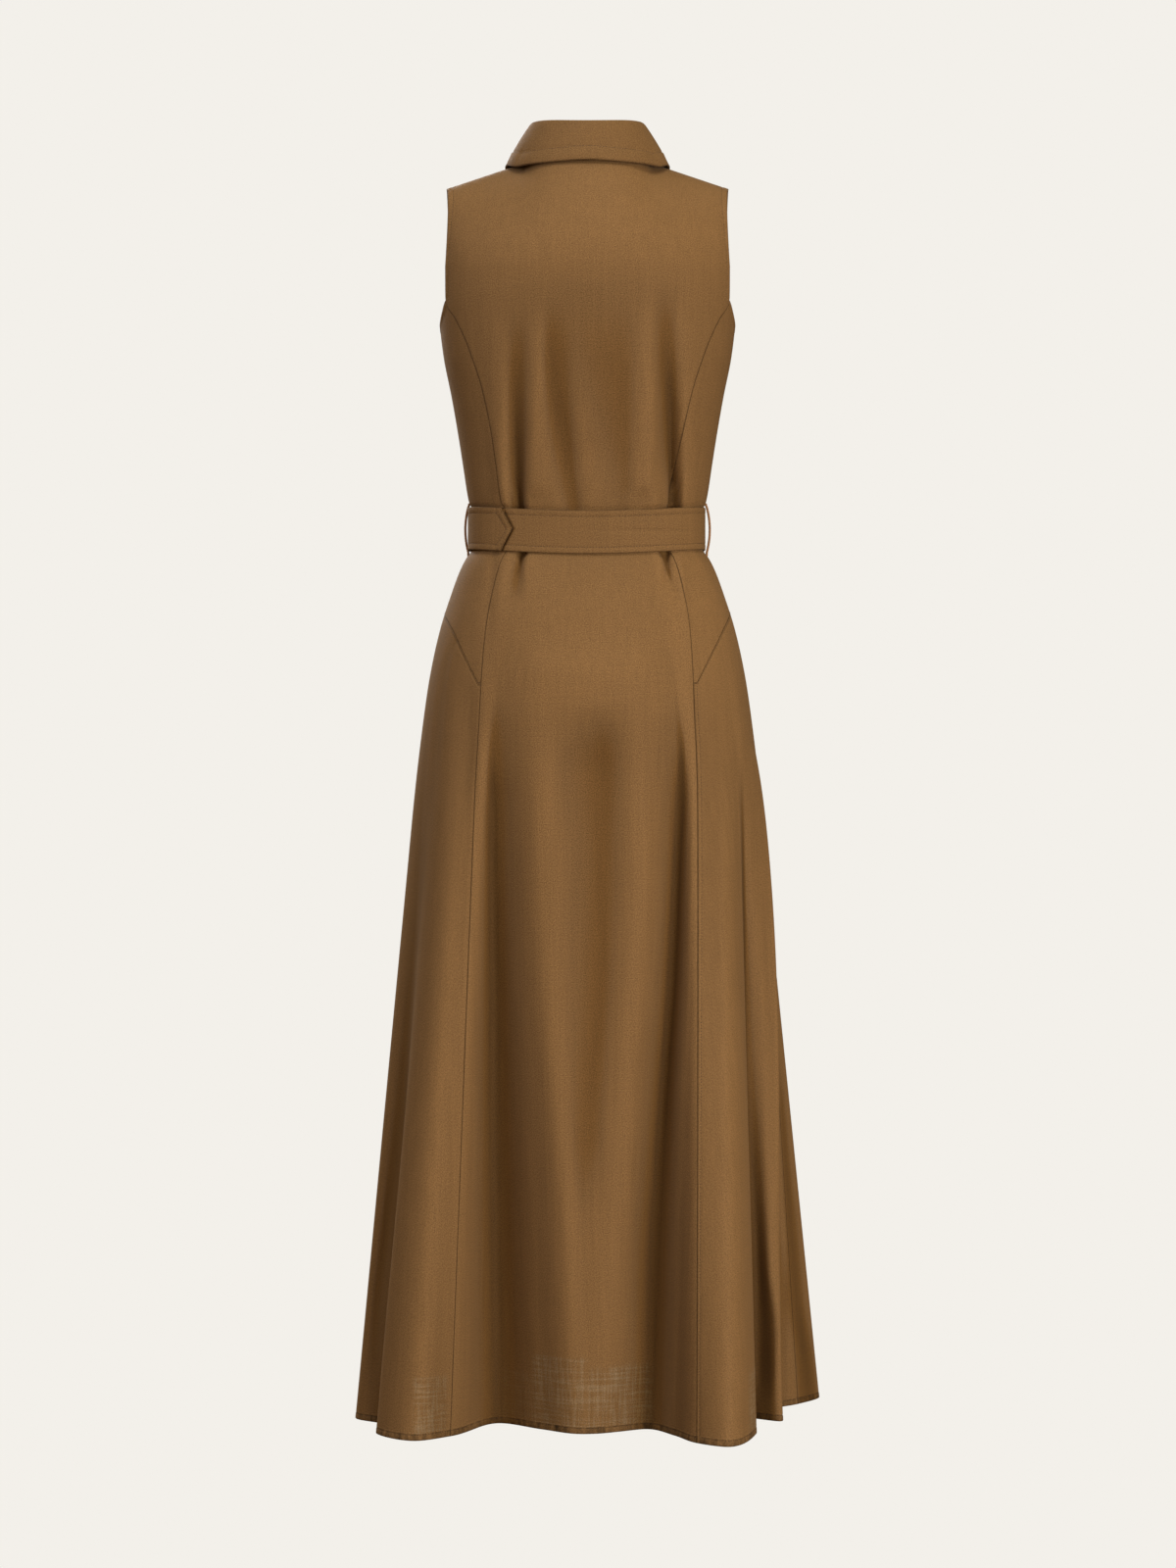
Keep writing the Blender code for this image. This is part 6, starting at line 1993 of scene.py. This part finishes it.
def end_tree(tree, node, geometry, material):
    """Ends a tree: its geometry made real, in its material."""
    real = node("GeometryNodeRealizeInstances", Geometry=geometry)
    done = node("GeometryNodeSetMaterial", Geometry=real.outputs["Geometry"], Material=material)
    node("NodeGroupOutput", Geometry=done.outputs["Geometry"])
    return tree


def outward(node):
    """The outward direction kept with each point of a line."""
    kept = node("GeometryNodeInputNamedAttribute", {"data_type": "FLOAT_VECTOR"}, Name="out")
    return kept.outputs["Attribute"]


def place_tree():
    """Geometry nodes that set one part on every point, turned to face its outward direction."""
    tree, node, given = geometry_tree("Set On", Part="Object", Spin=0.2, Finish="Material")
    turn = node(
        "FunctionNodeAxesToRotation", {"primary_axis": "Z", "secondary_axis": "Y"},
        Primary_Axis=outward(node), Secondary_Axis=(0.0, 0.0, 1.0),
    )
    part = node("GeometryNodeObjectInfo", Object=given["Part"])
    placed = node(
        "GeometryNodeInstanceOnPoints", Points=given["Geometry"], Instance=part.outputs["Geometry"],
        Rotation=turn.outputs["Rotation"],
    )
    chance = node("FunctionNodeRandomValue", {"data_type": "FLOAT"}, Seed=3)
    swing = node(
        "ShaderNodeMath", {"operation": "MULTIPLY_ADD"}, i0=chance.outputs[1], i1=given["Spin"], i2=0.0
    )
    angle = node("ShaderNodeCombineXYZ", Z=swing.outputs[0])
    turned = node(
        "GeometryNodeRotateInstances", Instances=placed.outputs["Instances"], Rotation=angle.outputs[0]
    )
    return end_tree(tree, node, turned.outputs["Instances"], given["Finish"])


def build_buttons():
    middles, normals = button_places()
    tree = place_tree()
    spin = bpy.context.scene.dress_buttons.spin
    nodes = [f"button_{k + 1}" for k in range(len(middles))]
    lines = [(middles[k:k + 1], normals[k:k + 1]) for k in range(len(middles))]
    for name, shape, slot, replaced, finish in (
        ("horn_buttons", button_shape(), "button", nodes, button_material()),
        ("button_thread", button_thread_shape(), "thread", [], thread_material()),
    ):
        part = linked(f"{name}_part", shape)
        values = {"Part": part, "Spin": spin, "Finish": finish}
        made = with_nodes(line_mesh(f"{name}_points", lines), tree, values)
        bpy.data.objects.remove(part, do_unlink=True)
        add_made(name, made, replaced, finish)


def buttonhole_lines():
    """Rings of close stitches round the buttonholes: upright on the placket, level on the stand."""
    middles, _ = button_places()
    rows = placket_rows()
    line = placket(np.zeros_like(rows), rows)
    turn = np.radians(np.arange(0.0, 361.0, 12.0))
    straight = BUTTONHOLE_HALF - BUTTONHOLE_WIDE
    along = np.sign(np.sin(turn)) * straight * (np.abs(np.sin(turn)) > 0.01) + BUTTONHOLE_WIDE * np.sin(turn)
    side = BUTTONHOLE_WIDE * np.cos(turn)
    lines = []
    for k, middle in enumerate(middles):
        if k:
            row = np.interp(middle[2] + along, line[:, 2], rows)
            across = side / PLACKET_HALF
            points, normals = placket(across, row), normals_of(placket, across, row)
            lift = bpy.context.scene.dress_cloth.thickness + LAP_GAP + BUTTONHOLE_LIFT
        else:
            angle = 180.0 - np.degrees(along / STAND_FRONT)
            rise = 0.5 + side / BUTTONHOLE_RISE
            points, normals = stand(angle, rise), normals_of(stand, angle, rise)
            lift = BUTTONHOLE_LIFT
        normals = normals * np.sign(normals[:, 1:2])
        lines.append((points + normals * lift, normals))
    return lines


def loop_path(side, count):
    """Middle line of a thread loop, out of the side seam above the belt and back in below it."""
    s = np.linspace(-1.0, 1.0, count)
    height = BELT_MIDDLE + LOOP_REACH * s
    ends = trunk(np.full(2, SIDE_ANGLE), height[[0, -1]])
    foot = np.interp(height, height[[0, -1]], ends[:, 0]) + LOOP_FOOT
    belt_side = belt(np.array([SIDE_ANGLE]), np.array([0.0]))[0, 0] + STRAND_OUT + STRAND_RADIUS
    bowed = belt_side + LOOP_BULGE * (1 - (s / LOOP_FLAT) ** 2)
    x = foot + (np.maximum(bowed, foot) - foot) * ease((1 - np.abs(s)) / BAND_ENDS)
    return np.stack([side * x, np.full_like(x, ends[:, 1].mean()), height], axis=-1)


def cord_tree():
    """Geometry nodes that give lines the round body of a cord."""
    tree, node, given = geometry_tree("Cord", Radius=0.0005, Thread="Material")
    curve = node("GeometryNodeMeshToCurve", Mesh=given["Geometry"])
    ring = node("GeometryNodeCurvePrimitiveCircle", Resolution=8, Radius=given["Radius"])
    body = node(
        "GeometryNodeCurveToMesh", Curve=curve.outputs["Curve"], Profile_Curve=ring.outputs["Curve"],
        Fill_Caps=True,
    )
    return end_tree(tree, node, body.outputs["Mesh"], given["Thread"])


def build_loops():
    tree = cord_tree()
    for side, word in ((-1, "left"), (1, "right")):
        path = loop_path(side, 161)
        slope = unit(np.gradient(path, axis=0))
        square = np.cross(slope, LEVEL_SIDE)
        run = lengths(path, 0)
        lines = []
        for k in range(STRANDS):
            turn = (2 * math.pi * (run / STRAND_TURN + k / STRANDS))[:, None]
            lines.append((path + STRAND_OUT * (np.cos(turn) * square + np.sin(turn) * LEVEL_SIDE), slope))
        values = {"Radius": STRAND_RADIUS, "Thread": thread_material()}
        made = with_nodes(line_mesh(f"loop_{word}", lines), tree, values)
        # Painted light on the loops' thread
        keep_values(made, "fresh", np.ones(len(made.vertices)))
        add_made(f"twisted_loop_{word}", made, [f"thread_loop_{word}"], thread_material())


# Stitching


def stitch_tree():
    """Geometry nodes that lay one thread stitch after another along lines on the cloth."""
    tree, node, given = geometry_tree(
        "Stitches", Pitch=0.003, Length=0.0022, Width=0.0006, Height=0.0004, Thread="Material"
    )
    curve = node("GeometryNodeMeshToCurve", Mesh=given["Geometry"])
    steps = node(
        "GeometryNodeResampleCurve", {"mode": "LENGTH"}, Curve=curve.outputs["Curve"], Length=given["Pitch"]
    )
    ball = node("GeometryNodeMeshIcoSphere", Radius=0.5, Subdivisions=1)
    size = node("ShaderNodeCombineXYZ", X=given["Length"], Y=given["Width"], Z=given["Height"])
    one = node("GeometryNodeTransform", Geometry=ball.outputs["Mesh"], Scale=size.outputs[0])
    turn = node(
        "FunctionNodeAxesToRotation", {"primary_axis": "Z", "secondary_axis": "X"},
        Primary_Axis=outward(node), Secondary_Axis=node("GeometryNodeInputTangent").outputs["Tangent"],
    )
    chance = node(
        "FunctionNodeRandomValue", {"data_type": "FLOAT_VECTOR"}, Min=(0.85, 0.9, 0.9), Max=(1.08, 1.1, 1.1),
        Seed=7,
    )
    placed = node(
        "GeometryNodeInstanceOnPoints", Points=steps.outputs["Curve"], Instance=one.outputs["Geometry"],
        Rotation=turn.outputs["Rotation"], Scale=chance.outputs["Value"],
    )
    return end_tree(tree, node, placed.outputs["Instances"], given["Thread"])


def line_mesh(name, lines):
    """A mesh of plain edges along lines, with the cloth's outward direction at each point."""
    points = np.concatenate([p for p, _ in lines])
    normals = np.concatenate([n for _, n in lines])
    edges, first = [], 0
    for p, _ in lines:
        edges.extend((first + k, first + k + 1) for k in range(len(p) - 1))
        first += len(p)
    mesh = mesh_of(name, points.tolist(), [], edges)
    own = mesh.attributes.new("out", "FLOAT_VECTOR", "POINT")
    own.data.foreach_set("vector", normals.astype(np.float32).reshape(-1))
    return mesh


def with_nodes(mesh, tree, values):
    """The plain mesh that a geometry nodes tree makes of a mesh."""
    carrier = linked(f"{mesh.name}_carrier", mesh)
    modifier = carrier.modifiers.new("Nodes", "NODES")
    modifier.node_group = tree
    for item in tree.interface.items_tree:
        if item.in_out == "INPUT" and item.name in values:
            modifier[item.identifier] = values[item.name]
    evaluated = carrier.evaluated_get(bpy.context.evaluated_depsgraph_get())
    made = bpy.data.meshes.new_from_object(evaluated)
    bpy.data.objects.remove(carrier, do_unlink=True)
    return made


def build_stitching():
    thread = bpy.context.scene.dress_thread
    tree = stitch_tree()
    for group, lines in {**LINES, "buttonhole": buttonhole_lines()}.items():
        values = {
            "Pitch": thread.pitch, "Length": thread.length, "Width": thread.width,
            "Height": thread.height, "Thread": thread_material(),
        }
        if group == "buttonhole":
            values.update({"Pitch": thread.close_pitch, "Length": thread.close_pitch, "Width": thread.bar})
        made = with_nodes(line_mesh(f"{group}_lines", lines), tree, values)
        add_made(f"{group}_stitches", made, [], thread_material())


# Stage

STUDIO_RADIUS = 24.0
CAMERA_LENS = 78.64
CAMERA_PLACE = (0.0005, -3.6, -0.657)
AMBIENT_COLOUR = (1.0, 0.62, 0.12, 1.0)

# Lights: where each stands, what it points at, its size and its colour
DRESS_MIDDLE = (0.0, 0.0, -0.65)
WHITE = (1.0, 1.0, 1.0)
LIGHTS = (
    ("key", (1.947, -3.373, -0.854), DRESS_MIDDLE, (2.0, 2.0), WHITE),
    ("low", (1.0, -2.2, -0.58), (0.0, 0.0, -0.62), (0.8, 0.8), WHITE),
    ("side", (3.146, -2.203, 0.027), DRESS_MIDDLE, (2.0, 2.0), WHITE),
    ("fill", (-3.061, -1.427, 1.300), DRESS_MIDDLE, (2.0, 2.0), (0.72, 0.80, 1.0)),
    ("top", (0.0, -1.334, 3.015), DRESS_MIDDLE, (2.0, 2.0), (1.0, 1.0, 0.90)),
    ("back", (-1.2, 3.0, 1.2), DRESS_MIDDLE, (2.4, 1.8), (1.0, 0.98, 0.96)),
)


def area_light(name, place, aim, size, watts, colour):
    light = bpy.data.lights.new(name, "AREA")
    light.shape = "RECTANGLE"
    light.size, light.size_y = size
    light.energy = watts
    light.color = colour
    lamp = linked(name, light)
    lamp.location = place
    lamp.rotation_mode = "QUATERNION"
    lamp.rotation_quaternion = (Vector(aim) - Vector(place)).to_track_quat("-Z", "Y")


def disc_mesh(name, radius, height, rings, sides):
    points, faces = [(0.0, 0.0, height)], []
    for r in range(1, rings + 1):
        for k in range(sides):
            t = 2 * math.pi * k / sides
            size = radius * (r / rings) ** 2
            points.append((size * math.cos(t), size * math.sin(t), height))
    for k in range(sides):
        after = (k + 1) % sides
        faces.append((0, 1 + k, 1 + after))
        for r in range(rings - 1):
            a, b = 1 + r * sides, 1 + (r + 1) * sides
            faces.append((a + k, b + k, b + after, a + after))
    return mesh_of(name, points, faces)


def build_stage():
    stage = bpy.context.scene.dress_stage
    scene = bpy.context.scene
    scene.view_settings.view_transform = "Standard"
    scene.view_settings.look = "None"
    world = bpy.data.worlds.new("studio")
    world.use_nodes = True
    back = world.node_tree.nodes["Background"]
    fill(world.node_tree, back, Color=AMBIENT_COLOUR, Strength=stage.ambient)
    scene.world = world

    paper, tree, shader, node = new_material("studio_paper")
    glow = node("ShaderNodeEmission", Color=(*stage.paper, 1.0), Strength=1.0)
    fill(tree, tree.nodes["Material Output"], Surface=glow.outputs[0])
    tree.nodes.remove(shader)
    floor = disc_mesh("studio_floor", STUDIO_RADIUS, stage.floor_height, 12, 64)
    for name, mesh in (("studio_floor", floor), ("studio_backdrop", dome_mesh(STUDIO_RADIUS))):
        mesh.materials.append(paper)
        sheet = linked(name, mesh)
        sheet.visible_diffuse = sheet.visible_glossy = sheet.visible_transmission = False
        sheet.visible_shadow = False

    for name, place, aim, size, colour in LIGHTS:
        area_light(name, place, aim, size, getattr(stage, name), colour)

    camera = bpy.data.cameras.new("camera")
    camera.lens = CAMERA_LENS
    camera.sensor_width = 36.0
    camera.clip_start, camera.clip_end = 0.05, 120.0
    eye = linked("camera", camera)
    eye.location = CAMERA_PLACE
    eye.rotation_euler = (math.radians(90.0), 0.0, 0.0)
    scene.camera = eye


def dome_mesh(radius):
    """A closed sky of even faces that look inwards."""
    points, faces = [], []
    rings, sides = 16, 32
    for r in range(rings + 1):
        tilt = math.pi * r / rings - math.pi / 2
        for k in range(sides):
            turn = 2 * math.pi * k / sides
            points.append((
                radius * math.cos(tilt) * math.cos(turn),
                radius * math.cos(tilt) * math.sin(turn),
                radius * math.sin(tilt),
            ))
    for r in range(rings):
        for k in range(sides):
            after = (k + 1) % sides
            a, b = r * sides, (r + 1) * sides
            faces.append((a + k, b + k, b + after, a + after))
    return mesh_of("studio_backdrop", points, faces)


# Add-on


class DressCloth(bpy.types.PropertyGroup):
    """The cloth's sizes and colours."""

    thickness: bpy.props.FloatProperty(
        name="Thickness", description="Thickness of one panel", default=0.0012, unit="LENGTH"
    )
    collar_thickness: bpy.props.FloatProperty(
        name="Collar Thickness", description="Thickness of the stiffened collar",
        default=0.0015, unit="LENGTH",
    )
    spacing: bpy.props.FloatProperty(
        name="Spacing", description="Distance between the points of a sheet", default=0.003, unit="LENGTH"
    )
    colour: bpy.props.FloatVectorProperty(
        name="Colour", description="Colour of the woven cloth",
        default=(0.184, 0.0965, 0.036), subtype="COLOR",
    )
    sheer_colour: bpy.props.FloatVectorProperty(
        name="Sheer Colour", description="Colour where light comes through",
        default=(0.240, 0.160, 0.085),
        subtype="COLOR",
    )
    thread_pitch: bpy.props.FloatProperty(
        name="Thread Pitch", description="Distance between two threads of the weave",
        default=0.0011, unit="LENGTH",
    )
    slub: bpy.props.FloatProperty(
        name="Slub", description="How much uneven threads change the colour",
        default=0.24, subtype="FACTOR",
    )
    speckle: bpy.props.FloatProperty(
        name="Speckle", description="How much single threads change the colour",
        default=1.50, subtype="FACTOR",
    )
    streak: bpy.props.FloatProperty(
        name="Streak", description="How much bundles of threads change the colour",
        default=0.26, subtype="FACTOR",
    )
    # Painted shade along the turned hem band
    hem_shade: bpy.props.FloatProperty(
        name="Hem Shade", description="How dark the hem's turned cloth is, 1 for no change", default=0.68,
        subtype="FACTOR",
    )
    rim: bpy.props.FloatProperty(
        name="Rim", description="How dark the cloth's edges are, 1 for no change",
        default=0.62, subtype="FACTOR",
    )
    # Painted shade in the seams
    crease: bpy.props.FloatProperty(
        name="Crease", description="How dark the cloth is in a seam, 1 for no change",
        default=0.46, subtype="FACTOR",
    )
    roughness: bpy.props.FloatProperty(
        name="Roughness", description="Roughness of the cloth", default=0.72, subtype="FACTOR"
    )
    sheen: bpy.props.FloatProperty(
        name="Sheen", description="Soft shine of the fibres", default=0.05, subtype="FACTOR"
    )
    relief: bpy.props.FloatProperty(
        name="Relief", description="Strength of the weave's relief", default=0.6, subtype="FACTOR"
    )


class DressThread(bpy.types.PropertyGroup):
    """The stitches' sizes and colour."""

    pitch: bpy.props.FloatProperty(
        name="Pitch", description="From one stitch to the next", default=0.003, unit="LENGTH"
    )
    length: bpy.props.FloatProperty(
        name="Length", description="Length of a stitch", default=0.0019, unit="LENGTH"
    )
    width: bpy.props.FloatProperty(
        name="Width", description="Width of a stitch", default=0.0009, unit="LENGTH"
    )
    height: bpy.props.FloatProperty(
        name="Height", description="Height of a stitch", default=0.0005, unit="LENGTH"
    )
    close_pitch: bpy.props.FloatProperty(
        name="Close Pitch", description="From one buttonhole stitch to the next",
        default=0.00055, unit="LENGTH",
    )
    bar: bpy.props.FloatProperty(
        name="Bar", description="Breadth of the stitches round a buttonhole",
        default=0.0015, unit="LENGTH",
    )
    # Darker than the thread's own colour: painted shade of the stitch holes
    colour: bpy.props.FloatVectorProperty(
        name="Colour", description="Colour of the thread", default=(0.045, 0.021, 0.008), subtype="COLOR"
    )


class DressButtons(bpy.types.PropertyGroup):
    """The buttons' colour."""

    colour: bpy.props.FloatVectorProperty(
        name="Colour", description="Colour of the buttons", default=(0.075, 0.040, 0.020), subtype="COLOR"
    )
    spin: bpy.props.FloatProperty(
        name="Spin", description="How far buttons turn on their threads", default=0.35, subtype="ANGLE"
    )


class DressStage(bpy.types.PropertyGroup):
    """The studio's light and floor."""

    paper: bpy.props.FloatVectorProperty(
        name="Paper", description="Colour of floor and backdrop",
        default=(0.896, 0.871, 0.823), subtype="COLOR",
    )
    ambient: bpy.props.FloatProperty(
        name="Ambient", description="Strength of light from all round", default=0.165
    )
    key: bpy.props.FloatProperty(name="Key", description="Main light", default=79.0, unit="POWER")
    low: bpy.props.FloatProperty(
        name="Low", description="Near light on the skirt", default=10.0, unit="POWER"
    )
    side: bpy.props.FloatProperty(
        name="Side", description="Light from the right", default=22.0, unit="POWER"
    )
    fill: bpy.props.FloatProperty(
        name="Fill", description="Light from the left", default=50.0, unit="POWER"
    )
    top: bpy.props.FloatProperty(name="Top", description="Light from above", default=74.0, unit="POWER")
    back: bpy.props.FloatProperty(
        name="Back", description="Light on the front of the dress", default=110.0, unit="POWER"
    )
    floor_height: bpy.props.FloatProperty(
        name="Floor Height", description="Height of the floor below the shoulders",
        default=-1.52, unit="LENGTH",
    )


class DRESS_OT_bodice(bpy.types.Operator):
    """Cut the bodice panels and shape them to the wearer"""

    bl_idname = "dress.bodice"
    bl_label = "Bodice"

    def execute(self, context):
        build_bodice()
        return {"FINISHED"}


class DRESS_OT_skirt(bpy.types.Operator):
    """Cut the skirt panels and hang them in folds"""

    bl_idname = "dress.skirt"
    bl_label = "Skirt"

    def execute(self, context):
        build_skirt()
        return {"FINISHED"}


class DRESS_OT_collar(bpy.types.Operator):
    """Set the collar stand and roll the fall over it"""

    bl_idname = "dress.collar"
    bl_label = "Collar"

    def execute(self, context):
        build_collar()
        return {"FINISHED"}


class DRESS_OT_plackets(bpy.types.Operator):
    """Lay the button stand and the buttonhole placket down the front"""

    bl_idname = "dress.plackets"
    bl_label = "Plackets"

    def execute(self, context):
        build_plackets()
        return {"FINISHED"}


class DRESS_OT_belt(bpy.types.Operator):
    """Wrap the strap round the waist and lap its point at the back"""

    bl_idname = "dress.belt"
    bl_label = "Belt"

    def execute(self, context):
        build_belt()
        return {"FINISHED"}


class DRESS_OT_slide(bpy.types.Operator):
    """Put the cloth-covered slide on the strap"""

    bl_idname = "dress.slide"
    bl_label = "Belt Slide"

    def execute(self, context):
        build_slide()
        return {"FINISHED"}


class DRESS_OT_loops(bpy.types.Operator):
    """Twist the thread loops at the side seams"""

    bl_idname = "dress.loops"
    bl_label = "Thread Loops"

    def execute(self, context):
        build_loops()
        return {"FINISHED"}


class DRESS_OT_buttons(bpy.types.Operator):
    """Sew the buttons down the front"""

    bl_idname = "dress.buttons"
    bl_label = "Buttons"

    def execute(self, context):
        build_buttons()
        return {"FINISHED"}


class DRESS_OT_stitching(bpy.types.Operator):
    """Sew the rows of stitches and the buttonholes"""

    bl_idname = "dress.stitching"
    bl_label = "Stitching"

    def execute(self, context):
        build_stitching()
        return {"FINISHED"}


class DRESS_OT_stage(bpy.types.Operator):
    """Set the floor, the light and the camera"""

    bl_idname = "dress.stage"
    bl_label = "Stage"

    def execute(self, context):
        build_stage()
        return {"FINISHED"}


OPERATORS = [
    DRESS_OT_bodice,
    DRESS_OT_skirt,
    DRESS_OT_collar,
    DRESS_OT_plackets,
    DRESS_OT_belt,
    DRESS_OT_slide,
    DRESS_OT_loops,
    DRESS_OT_buttons,
    DRESS_OT_stitching,
    DRESS_OT_stage,
]


class DRESS_PT_panel(bpy.types.Panel):
    """The steps of making the dress."""

    bl_label = "Shirt Dress"
    bl_idname = "DRESS_PT_panel"
    bl_space_type = "VIEW_3D"
    bl_region_type = "UI"
    bl_category = "Dress"

    def draw(self, context):
        for kind in OPERATORS:
            self.layout.operator(kind.bl_idname)


SETTINGS = {
    "dress_cloth": DressCloth,
    "dress_thread": DressThread,
    "dress_buttons": DressButtons,
    "dress_stage": DressStage,
}


def register():
    for kind in (*SETTINGS.values(), *OPERATORS, DRESS_PT_panel):
        bpy.utils.register_class(kind)
    for name, kind in SETTINGS.items():
        setattr(bpy.types.Scene, name, bpy.props.PointerProperty(type=kind))


def unregister():
    for name in SETTINGS:
        delattr(bpy.types.Scene, name)
    for kind in (DRESS_PT_panel, *reversed(OPERATORS), *SETTINGS.values()):
        bpy.utils.unregister_class(kind)


def main():
    register()
    for kind in OPERATORS:
        step = getattr(bpy.ops.dress, kind.bl_idname.split(".")[1])
        step()


if __name__ == "__main__":
    main()
